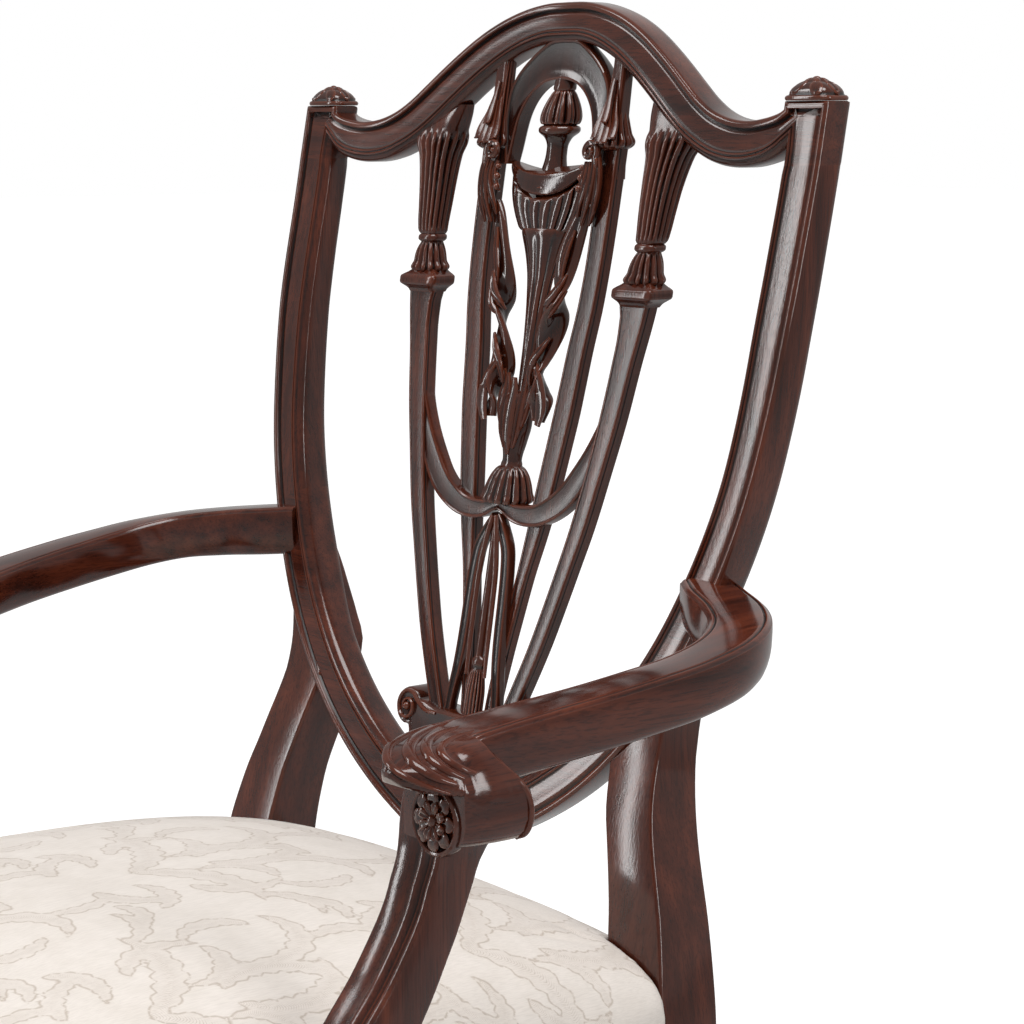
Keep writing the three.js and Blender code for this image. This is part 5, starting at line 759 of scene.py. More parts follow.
def draw_ear_cap():
    """Round boss with two rings of leaves, then pressed to the squared top of the ear."""
    x0, y0, z0 = CAP_CENTRE
    angle = np.linspace(0, 2 * np.pi, 60, endpoint=False)
    rings = []
    for r, z in (
        (16.6, 0.0), (17.0, 0.5), (17.2, 1.3), (17.0, 2.1), (16.4, 2.7), (15.4, 3.0), (15.0, 3.6), (14.8, 4.8),
        (13.4, 6.6), (11, 8.4), (8, 9.8), (4, 10.6), (1.4, 10.9),
    ):  # fmt: skip
        rings.append(np.column_stack([x0 + r * np.cos(angle), y0 + r * np.sin(angle), np.full(60, z0 + z)]))
    draw_out(rings, new=True)
    for leaves, tip, root, lift in ((6, 16.4, 5.0, 0.0), (6, 11.6, 2.0, 2.4)):
        turn = math.pi / 6 if lift else 0.0
        path = []
        for share, half, high in (
            (0.0, 0.8, 9.2), (0.18, 2.4, 9.3), (0.42, 4.0, 8.2), (0.66, 4.3, 6.2), (0.86, 3.0, 4.0), (1.0, 1.0, 3.8),
        ):  # fmt: skip
            reach = root + (tip - root) * share
            fall = high + lift * 0.7
            path.append((x0 + reach * math.cos(turn), y0 + reach * math.sin(turn), z0 + fall, half, 1.5, 0.0))
        lay_ribbon(path, (0.35 * math.cos(turn), 0.35 * math.sin(turn), 1.0), 9, 12, 0.5)
        repeat_round(leaves, CAP_CENTRE, "Z")
    add_berry((x0, y0, z0 + 10.8), 3.2, (1, 1, 0.7))
    bpy.ops.mesh.select_all(action="SELECT")
    bpy.ops.transform.resize(value=(1, CAP_FLATTENED, 1), center_override=at_place(CAP_CENTRE))
    mesh = bpy.context.object.data
    shell = bmesh.from_edit_mesh(mesh)
    middle = at_place(CAP_CENTRE)
    for point in shell.verts:
        a = (point.co.x - middle[0]) / CAP_REACH[0]
        b = (point.co.y - middle[1]) / CAP_REACH[1]
        far = math.hypot(a, b)
        if far > 0.05:
            square = far / (abs(a) ** 4 + abs(b) ** 4) ** 0.25
            pull = 1 + (square - 1) * min(far, 1.0)
            point.co.x = middle[0] + a * CAP_REACH[0] * pull
            point.co.y = middle[1] + b * CAP_REACH[1] * pull
    bmesh.update_edit_mesh(mesh)


draw_ear_cap()
close_piece("ear_carving_leafed", carved_mahogany, ["ear_carving"], twin=True)


# Banisters


def bar_ring(inner, outer, front, depth, z):
    """Section of a bar: plain face with a thin bead at each arris and grooved sides."""
    width = outer - inner
    shape = [
        (0.0, 4.0), (0.0, 3.4), (0.55, 3.0), (0.55, 2.5), (0.0, 2.1), (0.0, 0.9), (0.3, 0.25), (0.9, 0.0),
        (1.7, 0.1), (2.1, 0.55), (2.6, 0.55), (width / 2, 0.3), (width - 2.6, 0.55), (width - 2.1, 0.55),
        (width - 1.7, 0.1), (width - 0.9, 0.0), (width - 0.3, 0.25), (width, 0.9), (width, 2.1),
        (width - 0.55, 2.5), (width - 0.55, 3.0), (width, 3.4), (width, 4.0), (width, depth - 2),
        (width - 2, depth), (2, depth), (0, depth - 2),
    ]  # fmt: skip
    return [(inner + s, front + d, z) for s, d in shape]


OUTER_BANISTER = [
    (799, 87, 110.5), (796, 87.2, 110), (790, 88.6, 109), (780, 88.6, 107), (766, 87.2, 103.9), (729, 82, 97),
    (704, 77.5, 91), (667, 69, 81.6), (643, 61.9, 73.8), (620, 54.6, 66.2), (595, 46, 57.4), (572, 36.6, 47.8),
    (560, 31.4, 42.4), (546, 25.4, 36), (541, 23.4, 33.8),
]  # fmt: skip
CAP_BLOCK = [
    (796.5, 87.4, 110.2, 8.6, 20.6), (798.5, 86.6, 111.6, 7.6, 21.4), (800.4, 84.6, 114.6, 5.6, 22.8),
    (801.4, 83.4, 116.4, 4.6, 23.4), (802.4, 83, 117, 4.2, 23.6), (805.6, 83, 117, 4.2, 23.6),
    (806.6, 83.4, 116.4, 4.6, 23.4), (808.6, 86.6, 112.6, 6.8, 22.2), (810.4, 89, 110.2, 8.6, 20.8),
]  # fmt: skip
CUP = [
    (809.6, 87.4, 111.8, 7.2, 22.4), (811.4, 87, 112.2, 6.6, 22.8), (814, 88.2, 111.4, 6.6, 22.6),
    (818, 89.4, 110.8, 6.6, 22.2), (822, 91, 109.8, 7, 21.8), (825.6, 93, 108.2, 8, 21), (827.6, 94.4, 107, 9, 20.4),
]  # fmt: skip
CUP_RING = [
    (827.2, 94.4, 107, 9, 20.4), (828.4, 92.6, 109.2, 7.6, 21.8), (830, 92.2, 109.6, 7.2, 22.2),
    (831.6, 92.6, 109.2, 7.6, 21.8), (832.8, 94.4, 107, 9, 20.4),
]  # fmt: skip
REED_SHAFT = [
    (832.4, 93.6, 108.4, 8.4, 21.2), (834, 93, 109.8, 7.4, 22), (838, 93, 111, 7, 22.4), (850, 92.6, 112.6, 6.6, 23.4),
    (865, 92.4, 115, 6.4, 24.6), (878, 92, 118.4, 6.6, 26), (888, 90.6, 122.4, 7.4, 27), (897, 88.6, 125.6, 8.6, 27.4),
    (906, 86.4, 125, 10.6, 27), (912, 85.4, 122, 12.6, 26),
]  # fmt: skip


def reeds(share, z):
    """Round reeds with a sharp groove between, deeper as the shaft flares."""
    wave = scallop(np.pi * 16 * share)
    groove = (1 - wave) ** 1.5 * (1.7 + 1.2 * rise(z, 840, 890))
    tips = 1 - rise(z + 5 * (1 - wave), 893, 897)
    return groove * rise(z, 833, 838) * tips - 1.3 * wave * bump(z, 889, 8) + 0.7 * (1 - tips)


def cup_leaves(share, z):
    """Pointed leaves of the small cup, curling out at their foot."""
    wave = scallop(np.pi * 12 * share)
    return (1 - wave) ** 1.3 * 2.2 * (1 - rise(z, 825, 827.6)) - 1.3 * wave * bump(z, 812, 4)


def squared_body(rows, step, steps, power, cut=None, new=False):
    """Squarish body of a capital or leaf post drawn out from its rows."""
    draw_out([squared_ring(*row, steps, power, cut) for row in smooth_rows(rows, step)], new)


draw_out(
    [
        bar_ring(inner, outer, float(front_plane(z)) + 9, 11, z)
        for z, inner, outer in smooth_rows(OUTER_BANISTER, 5.0)
    ],
    new=True,
)
squared_body(CAP_BLOCK, 1.0, 64, 12)
squared_body(CUP, 0.9, 120, 3.0, cup_leaves)
squared_body(CUP_RING, 0.7, 64, 3.0)
squared_body(REED_SHAFT, 1.6, 144, 4.0, reeds)
close_piece("outer_banister_carved", upright_mahogany, ["outer_banister"], twin=True)

INNER_BANISTER = [
    (888, 47.5, 62.3), (862, 47.4, 61.9), (841, 47.2, 61.6), (816, 46.6, 60.6), (792, 44.4, 58.7),
    (768, 40.4, 55.2), (743, 37.2, 52.4), (731, 35.6, 51), (707, 32, 47), (685, 28.6, 43),
    (659, 25, 36.9), (635, 21.2, 30.2), (611, 16.6, 25), (585, 12, 19.8), (560, 8.6, 15.6), (541, 7, 13.6),
]  # fmt: skip
LEAF_POST = [
    (943, 47.5, 56, 15, 21), (930, 47.5, 56.5, 14.6, 21.4), (918, 47, 57.4, 13.6, 22.4), (908, 46.4, 59, 12.4, 24),
    (900, 45.4, 61.4, 11.2, 25.4), (893, 44, 64, 10, 26.6), (889, 43.2, 65, 9.6, 27), (887, 43.6, 64.6, 9.8, 27),
    (885.6, 45, 62.6, 11, 26), (884.5, 47.5, 61, 13.6, 24.6),
]  # fmt: skip
POST_BACKING = [
    (944, 49, 58.5, 14, 22.5), (920, 49, 59, 14.4, 23), (900, 49, 59.6, 14.8, 23.4), (868, 50, 62, 16, 24.4),
]  # fmt: skip


def post_leaves(share, z):
    """Hanging leaves of the post, curling out over its foot."""
    wave = scallop(np.pi * 12 * share)
    groove = (1 - wave) ** 1.4 * 2.2 * rise(z, 885.5, 890) * (1 - 0.5 * rise(z, 920, 935))
    return groove - 1.5 * wave * bump(z, 889.6, 5)


draw_out(
    [
        bar_ring(inner, outer, float(front_plane(z)) + 14.5, 10, z)
        for z, inner, outer in smooth_rows(INNER_BANISTER, 5.0)
    ],
    new=True,
)
squared_body(POST_BACKING, 3.0, 40, 8)
squared_body(LEAF_POST, 1.0, 120, 3.2, post_leaves)
for x, z, back in ((46.5, 893, 10.4), (51.2, 890.4, 9.0), (56.4, 890.4, 9.0), (61.6, 893, 10.4), (54, 902, 9.6)):
    leaf = [
        (x * 0.4 + 31.4, z + 24, back + 3.6, 0.9, 0.6), (x * 0.66 + 17.6, z + 14, back + 2.0, 1.9, 1.0),
        (x, z + 4, back, 3.1, 1.3), (x, z - 1.4, back - 1.8, 2.7, 1.2), (x, z - 1.2, back - 3.4, 1.4, 0.9),
    ]  # fmt: skip
    lay_ribbon(on_shield(leaf), count=12, crease=0.6)
close_piece("inner_banister_carved", upright_mahogany, ["inner_banister"], twin=True)


# Middle ornament

ORNAMENT_AXIS = 21.5
STRAND_AXIS = 12.5

ARCH_OUTER = [
    (0, 951), (12, 950), (24, 943.5), (34.5, 935.5), (41, 928.5), (45, 921), (46.2, 913), (46.2, 903),
    (44.8, 893.5), (43.4, 884), (42, 876),
]  # fmt: skip
ARCH_INNER = [
    (0, 926), (7.5, 925.4), (14.5, 923.6), (21, 920), (26.5, 915), (30.5, 909.4), (33, 904), (34.4, 899),
    (35.4, 893.5), (36.8, 884), (38.4, 876),
]  # fmt: skip
arch_rings = []
for o, i in zip(smooth_curve(ARCH_OUTER, 44), smooth_curve(ARCH_INNER, 44)):
    width = np.linalg.norm(i - o)
    across = (i - o) / width
    ring = []
    for s, d in (
        (0, 8), (0, 2), (0.4, 0.9), (1.2, 0.4), (2.4, 0.9), (3, 1.6), (width * 0.4, 1.2), (width * 0.6, 1.2),
        (width - 2.4, 0.8), (width - 1.6, 0.3), (width - 0.5, 0.8), (width, 2.2), (width, 10), (width - 2, 12), (2, 12),
    ):  # fmt: skip
        x, z = o + across * s
        ring.append(leaning(x, z, 15.5 + d))
    arch_rings.append(np.array(ring))
draw_out(both_halves(arch_rings), new=True)
close_piece("splat_arch_moulded", carved_mahogany, ["splat_arch"])

FINIAL_FOOT = [
    (862, 13), (864, 12.6), (866.4, 11.8), (869, 10.6), (873, 9), (880, 7.4), (886, 7.2), (890, 8.4), (892.6, 10.4),
    (894, 12.6), (895.2, 14), (896.8, 14.4), (898.2, 13.8), (899, 12.4), (899.4, 10.8),
]  # fmt: skip
FINIAL_BUD = [
    (899.2, 10.8), (899.8, 12.8), (901.4, 14.2), (904, 14.6), (908, 13.8), (912, 12.2), (916, 10), (918.6, 8.2),
    (919.6, 7),
]  # fmt: skip
FINIAL_TOP = [(919, 6), (920, 7.4), (922, 7.8), (926, 7.2), (930, 6.4)]


def bud_petals(angles, z, _):
    """Petals of the bud with a fine line down each."""
    petals = (1 - scallop(angles * 5)) ** 1.5 * 3.2 * rise(z, 899.6, 902) * (1 - rise(z, 916, 919.6))
    return petals + (1 - scallop(angles * 10)) ** 2 * 0.6


draw_out(turned_rings(FINIAL_FOOT, 0.8, 0.78, ORNAMENT_AXIS, None, 72), new=True)
draw_out(turned_rings(FINIAL_BUD, 0.8, 0.78, ORNAMENT_AXIS, bud_petals, 120))
draw_out(turned_rings(FINIAL_TOP, 0.8, 0.78, ORNAMENT_AXIS, None, 48))
close_piece("urn_finial_carved", carved_mahogany, ["urn_finial"])

URN_RIM = [
    (878.2, 33.4), (878, 35), (876.4, 36.6), (873, 37.4), (869, 37.2), (866.6, 36.2), (865.6, 34.6), (865.4, 33),
]  # fmt: skip
URN_BOWL = [
    (866.6, 33), (865, 34.6), (861, 34.8), (854, 33.2), (847, 29.8), (841.6, 26.6), (838.2, 24.4), (836.6, 22.6),
    (836, 21),
]  # fmt: skip
URN_STEM = [
    (838, 20), (836.4, 21), (834, 20.2), (825, 16.2), (813, 12.2), (795, 8.8), (778, 7), (765, 6.2), (748, 5.8),
    (741, 5.6),
]  # fmt: skip


def gadroons(angles, z, _):
    """Upright leaves of the bowl with a vein down each."""
    wave = scallop(angles * 10)
    leaves = (1 - wave) ** 1.3 * 3.0 - 0.5 * wave
    return leaves * rise(866.2 - z, 0, 3) * rise(z, 835.6, 839)


def stem_flutes(angles, z, half):
    """Flutes of the stem that die out towards its thin end."""
    return (1 - scallop(angles * 4)) ** 1.2 * 1.6 * (1 - rise(z, 832, 836)) * rise(half, 5.5, 9)


def rim_sag(x, z):
    """How far the rim of the urn is swept down across its face."""
    out = np.clip(np.abs(x) / 37.4, 0, 1)
    return 7.5 * (1 - out**2) - 10.5 * out**3 * np.clip((878.2 - z) / 12.8, 0, 1)


def bowl_sag(x, z):
    """The same sweep in the bowl, gone at its foot."""
    out = np.clip(np.abs(x) / 34.8, 0, 1)
    return (11.5 * (1 - out**2) - 6.0 * out**4) * np.clip((z - 837) / 30, 0, 1)


draw_out(turned_rings(URN_RIM, 0.8, 0.3, ORNAMENT_AXIS, None, 96, 4.6, rim_sag), new=True)
draw_out(turned_rings(URN_BOWL, 1.0, 0.3, ORNAMENT_AXIS, gadroons, 200, 4.6, bowl_sag))
draw_out(turned_rings(URN_STEM, 2.0, 0.4, ORNAMENT_AXIS, stem_flutes, 96, 4.6))
SCROLL_LEAVES = [
    [(50, 884, 13, 1.6, 1.6), (53, 874, 12.6, 2.7, 2.2), (53.6, 862, 13, 2.9, 2.2), (51.6, 851, 13.6, 2.4, 2),
     (48, 841, 15, 0.9, 1)],
    [(48.6, 881, 12, 1.4, 1.4), (50, 870, 11.4, 2.6, 2.2), (48, 858, 11.8, 2.8, 2.2), (44.6, 848, 13, 1.8, 1.6),
     (41.6, 841, 14.4, 0.8, 1)],
    [(45, 878, 12, 1.4, 1.4), (45.6, 869, 11.4, 2.5, 2.1), (43, 860, 11.8, 2.6, 2), (39.4, 852, 13, 1.6, 1.4),
     (37.6, 846, 14.4, 0.8, 1)],
    [(41, 878, 13, 1.2, 1.2), (41.6, 871, 12, 2.1, 1.8), (39.6, 864.6, 12.4, 2.2, 1.6), (36.6, 859.6, 13.6, 0.8, 1)],
]  # fmt: skip
VOLUTE = []
for k in range(20):
    radius, angle = 6.2 - 0.24 * k, math.radians(24 * k - 40)
    x, z = 45 + radius * math.cos(angle), 884 + radius * math.sin(angle)
    VOLUTE.append((x, z, 9 - 0.08 * k, 2.3 - 0.04 * k, 2.2))
for way in (1, -1):
    for leaf in SCROLL_LEAVES:
        lay_ribbon(on_shield(leaf, way, 2.6), count=18, section=12, crease=0.5)
    coil = [(50, 872, 10, 1.4, 1.6), (51, 878, 9, 2.2, 2.0)] + VOLUTE
    lay_ribbon(on_shield(coil, way), count=44, section=12, crease=0.35)
    for x, z, radius in ((45, 884, 2.6), (38.8, 874.6, 1.9), (38.8, 868.6, 2.3), (38.0, 862.4, 2.1)):
        add_berry(leaning(way * x, z, 9.6), radius)
close_piece("splat_urn_carved", carved_mahogany, ["splat_urn"])

DRAPERY = [
    (42, 853, 3.6, 15, 0), (39, 846, 5.8, 15, 5), (32.6, 828, 8, 15, 12), (28, 810, 9.2, 15.4, -6),
    (27, 797, 8.6, 16, -50), (25.4, 786, 8.4, 16, -118), (20.4, 769, 8.6, 15.6, -172), (17.4, 757, 8.4, 15.6, -205),
    (20.6, 744, 7.4, 15.4, -262), (22.4, 734, 7, 15.4, -330), (22, 725, 4.6, 15.4, -350),
]  # fmt: skip
FOLDS = [
    [(34, 812, 13, 1.0, 1.0), (30.6, 805, 10.6, 2.6, 1.7), (26, 798.4, 9.6, 3.0, 1.9), (21, 793, 10.6, 2.2, 1.6),
     (18.6, 789, 13, 0.9, 1)],
    [(35.4, 803, 13, 0.9, 1.0), (31.6, 796, 11, 2.2, 1.6), (27, 790, 10, 2.4, 1.7), (22.6, 786, 12, 1.0, 1)],
    [(36, 838, 13, 1.0, 1.0), (33, 826, 11.4, 2.2, 1.5), (30.4, 814, 11.8, 2.0, 1.4), (29.6, 804, 13, 0.9, 1)],
    [(26, 775, 13, 0.9, 1), (21.6, 768, 11, 2.4, 1.7), (16.6, 761, 10, 2.8, 1.8), (13, 752, 11.4, 2.0, 1.5),
     (12.6, 746, 13, 0.9, 1)],
    [(16, 762, 13, 0.9, 1), (20.6, 755, 10.6, 2.4, 1.7), (25.4, 746, 10.4, 3.4, 1.9), (27.6, 734, 11.4, 4.4, 1.8),
     (25, 723, 12.6, 2.4, 1.2)],
]  # fmt: skip
twisted = on_shield([(x, z, back, half, 3.0, turn) for x, z, half, back, turn in DRAPERY])
lay_ribbon(twisted, count=80, section=20, crease=0.5, new=True)
for fold in FOLDS:
    lay_ribbon(on_shield(fold), count=20, section=12, crease=0.45)
close_piece("splat_drapery_carved", carved_mahogany, ["splat_drapery"], twin=True)

BELL_NECK = [(742, 7), (741, 9.4), (734, 11.6), (722, 11.6), (711, 9.6), (703, 7.6), (700, 7.4), (698, 8.4), (696, 8)]
BELL_SKIRT = [
    (697.4, 7.4), (696.4, 9.8), (693, 13.6), (688, 16.6), (682, 18.8), (678.4, 19.8), (676.6, 19.4), (675.4, 18.4),
]  # fmt: skip
BELL_PETALS = [(0, 704, 750, 4.4), (7.4, 708, 752, 3.8), (12.4, 716, 754, 3.2)]


def skirt_flutes(angles, z, _):
    """Flutes of the bell's skirt, curling out at its edge."""
    wave = scallop(angles * 8)
    return (1 - wave) ** 1.3 * 2.2 * (1 - rise(z, 693, 697)) - 0.6 * wave * bump(z, 678, 4)


draw_out(turned_rings(BELL_NECK, 1.4, 0.6, 18, None, 64), new=True)
draw_out(turned_rings(BELL_SKIRT, 0.8, 0.6, 18, skirt_flutes, 128))
for x, foot, head, half in BELL_PETALS:
    petal = [
        (x * 0.5, foot, 13.4, 1.4, 1.0), (x * 0.86, foot + 11, 11.4 + x * 0.18, half * 0.9, 2.0),
        (x, (foot + head) / 2 + 3, 11.2 + x * 0.24, half, 2.2),
        (x * 1.04, head - 8, 12.4 + x * 0.26, half * 0.8 * (1 - x / 46), 1.7),
        (x * 1.2, head, 11.6 + x * 0.3, half * 0.45, 1.1),
    ]  # fmt: skip
    for way in (-1, 1) if x else (1,):
        lay_ribbon(on_shield(petal, way), count=14, section=12, crease=0.5)
close_piece("splat_bell_carved", carved_mahogany, ["splat_bell"])


def band_rings(rows, back, depth, count):
    """Stations of a flat moulded band that curves in the shield: x, z, half width."""
    path = smooth_curve(rows, count)
    way = np.gradient(path[:, :2], axis=0)
    way /= np.linalg.norm(way, axis=1)[:, None]
    rings = []
    for (x, z, half), (wx, wz) in zip(path, way):
        bead = min(1.0, half / 4.5)
        shape = [
            (-half, depth - 1.4), (-half, 1.6), (-half + 0.3 * bead, 0.5), (-half + 1.1 * bead, 0.0),
            (-half + 1.9 * bead, 0.3), (-half + 2.5 * bead, 0.95), (0.0, 0.45), (half - 2.5 * bead, 0.95),
            (half - 1.9 * bead, 0.3), (half - 1.1 * bead, 0.0), (half - 0.3 * bead, 0.5), (half, 1.6),
            (half, depth - 1.4), (half - 1.2 * bead, depth), (-half + 1.2 * bead, depth),
        ]  # fmt: skip
        rings.append(np.array([leaning(x - wz * s, z + wx * s, back + d) for s, d in shape]))
    return rings


SWAG = [
    (88.4, 742, 2.2), (84, 727, 4.2), (77.6, 711, 6.2), (69, 696.5, 7.6), (59, 684.4, 7.8), (48, 676.6, 7.4),
    (37, 671.8, 6.8), (26, 670, 6.2), (15, 670.6, 5.4), (6, 673.4, 4.2), (0.4, 675, 3.6),
]  # fmt: skip
draw_out(band_rings(SWAG, 10.5, 8.5, 70), new=True)
close_piece("splat_swag_moulded", upright_mahogany, ["splat_swag"], twin=True)

SIDE_STRAND = [
    (1.4, 668, 2.4), (6.5, 660, 3.4), (12.6, 649, 3.9), (14.8, 636, 4), (15.8, 618, 4), (16.2, 603, 4), (17, 588, 3.9),
    (18.4, 575, 3.6), (20.6, 562, 3.2), (21.8, 551, 2.8), (22.2, 541, 2.6),
]  # fmt: skip
MIDDLE_STRAND = [(668, 2.6), (650, 3), (620, 3), (590, 2.8), (582, 2.6)]
TASSEL = [
    (584, 2.6), (583, 4.4), (581, 5.6), (578.6, 5.4), (577.4, 4.2), (576, 5), (570, 6.4), (560, 7.6), (550, 7.6),
    (541, 6.4),
]  # fmt: skip
FRONT_STRAND = [
    (1.6, 668, 10, 1.6, 1.4), (4.6, 654, 9.6, 2.2, 1.6), (7.4, 636, 9.8, 2.3, 1.6), (8.2, 612, 10, 2.2, 1.5),
    (8.4, 590, 10.4, 1.9, 1.3), (8.8, 572, 11, 1.2, 1.0),
]  # fmt: skip


def tassel_threads(angles, z, _):
    """Threads hanging below the tassel's collar."""
    return (1 - scallop(angles * 8)) * 1.3 * (1 - rise(z, 573, 576.4))


draw_out(turned_rings(MIDDLE_STRAND, 6.0, 0.8, STRAND_AXIS, None, 24, 2.4), new=True)
draw_out(turned_rings(TASSEL, 1.0, 0.6, STRAND_AXIS, tassel_threads, 96, 2.4))
for way in (1, -1):
    draw_out(band_rings([(way * x, z, half) for x, z, half in SIDE_STRAND], 10.0, 6.4, 50))
    lay_ribbon(on_shield(FRONT_STRAND, way), count=30, section=12)
close_piece("splat_strands_carved", carved_mahogany, ["splat_strands"])


SCROLL_X, SCROLL_Z = 54, 546.4
SCROLL_RADIUS = 11.5
SHOE_SET_BACK = 5


def shoe_outline():
    """Scrolled foot of the splat, from the top middle round the right scroll to the bottom middle."""
    right = [(0, 549), (16, 549), (30, 549.4), (40, 552)]
    for degrees in range(150, -101, -25):
        angle = math.radians(degrees)
        right.append((SCROLL_X + SCROLL_RADIUS * math.cos(angle), SCROLL_Z + SCROLL_RADIUS * math.sin(angle)))
    right += [(50, 526), (48, 516), (47, 505), (30, 498), (15, 494), (0, 492)]
    half = smooth_curve(right, 70)
    return np.vstack([half[:-1], (half * (-1, 1))[::-1][:-1]])


def draw_shoe():
    """Moulded plate of the shoe, then a coiled bead and an eye in each scroll."""
    outline = shoe_outline()
    closed = np.vstack([outline[-1:], outline, outline[:1]])
    inward = side_normals(closed)[1:-1]
    if ((outline + inward * 2)[:, 0].max()) > outline[:, 0].max():
        inward = -inward
    rings = []
    for inset, deep in ((3.2, 0.5), (2.2, 0.1), (1.1, 0.4), (0.3, 1.3), (0, 2.6), (0, 18.6), (0.6, 20.2), (2.2, 21)):
        rings.append([leaning(x, z, SHOE_SET_BACK + deep) for x, z in outline + inward * inset])
    draw_out(rings, new=True)
    coil = [(26, 546.2, 5.8, 1.2, 1.2), (36, 546.6, 5.4, 1.4, 1.5)]
    for k in range(26):
        angle, reach = math.radians(150 - 22 * k), 10.2 - 7.6 * k / 25
        x, z = SCROLL_X + reach * math.cos(angle), SCROLL_Z + reach * math.sin(angle)
        coil.append((x, z, 5.4, 1.5 - 0.02 * k, 1.7))
    for way in (1, -1):
        lay_ribbon(on_shield(coil, way), count=90, section=10)
        add_berry(leaning(way * SCROLL_X, SCROLL_Z, 5.2), 2.6)


draw_shoe()
close_piece("splat_shoe_scrolled", carved_mahogany, ["splat_shoe"])


# Arms with their rolled hands

ARM_PATH = [
    (191, -38, 654, 30, 30), (212, -50, 652, 34, 30), (240, -64, 648.6, 35, 29), (262, -82, 645, 33, 28),
    (276, -106, 640.4, 32, 28), (281, -136, 635, 32, 28), (279.4, -168, 630.2, 33, 28), (275.2, -200, 625.4, 34, 28),
    (268.5, -232, 620.4, 37, 28), (263, -256, 616.4, 39, 28), (261.5, -268, 614.4, 38, 27),
    (261.6, -276, 612, 36, 24), (262, -284, 607.6, 32, 20),
]  # fmt: skip
ARM_TOP = np.concatenate([np.linspace(-1, -0.62, 15), np.linspace(-0.56, 0.56, 11), np.linspace(0.62, 1, 15)])
ARM_UNDER = [
    (1.005, -0.1), (1.01, -0.2), (1.0, -0.34), (0.985, -0.5), (0.95, -0.64), (0.885, -0.78), (0.8, -0.9),
    (0.7, -0.97), (0.6, -1), (-0.6, -1), (-0.7, -0.97), (-0.8, -0.9), (-0.885, -0.78), (-0.95, -0.64),
    (-0.985, -0.5), (-1.0, -0.34), (-1.01, -0.2), (-1.005, -0.1),
]  # fmt: skip


def arm_rings():
    """Flat topped arm with a quirk inside each edge and a rounded underside."""
    path = smooth_curve(ARM_PATH, 90)
    way = np.gradient(path[:, :2], axis=0)
    way /= np.linalg.norm(way, axis=1)[:, None]
    rings = []
    for (x, y, z, width, height), (wx, wy) in zip(path, way):
        ox, oy, half = -wy, wx, width / 2
        ring = []
        for u in ARM_TOP:
            reach = half * (1 - abs(u))
            quirk = 0.95 * bump(reach, 4.0, 1.1)
            edge = 1.7 * (1 - rise(reach, 0, 2.6))
            ring.append((x + ox * u * half, y + oy * u * half, z + 1.4 * (1 - u * u) - quirk - edge))
        for u, v in ARM_UNDER:
            ring.append((x + ox * u * half, y + oy * u * half, z + v * height))
        rings.append(ring)
    return rings


HAND_INNER = [
    (242, -236), (243.6, -250), (244.8, -262), (246.6, -274), (249.4, -286), (253.6, -297), (259, -307),
    (265.4, -315), (271.6, -319.4), (274, -319.7),
]  # fmt: skip
HAND_OUTER = [
    (302, -236), (302, -254), (301.8, -272), (300.4, -283), (297.6, -293), (293.4, -302.4), (288, -310.4),
    (282, -316.4), (276.4, -319.6), (274.4, -319.7),
]  # fmt: skip
HAND_TOP = [
    (-319.7, 608), (-315, 610.6), (-308, 611.8), (-300, 612.6), (-292, 613.2), (-284, 613.8), (-272, 614.6),
    (-253, 615.6), (-236, 617),
]  # fmt: skip
HAND_DROP = [(-319.7, 0.26), (-306, 0.5), (-292, 0.74), (-286, 1.0)]
HAND_LOW = [(-319.6, 602), (-315, 597.6), (-308, 595), (-300, 593.4), (-292, 592.5)]
HAND_POST_LOW = 566.0
HAND_ROLL = 25.0
LIP_EDGE = 1.5


def hand_height(y, from_outer, reach):
    """Top of the hand: level along the arm, rounded down over its outer side."""
    hollow = HAND_ROLL - min(from_outer, HAND_ROLL)
    drop = (HAND_ROLL - math.sqrt(max(HAND_ROLL**2 - hollow**2, 0))) * read_off(HAND_DROP, y)
    return read_off(HAND_TOP, y) - 1.5 * (1 - rise(reach, 0, 2.0)) - drop


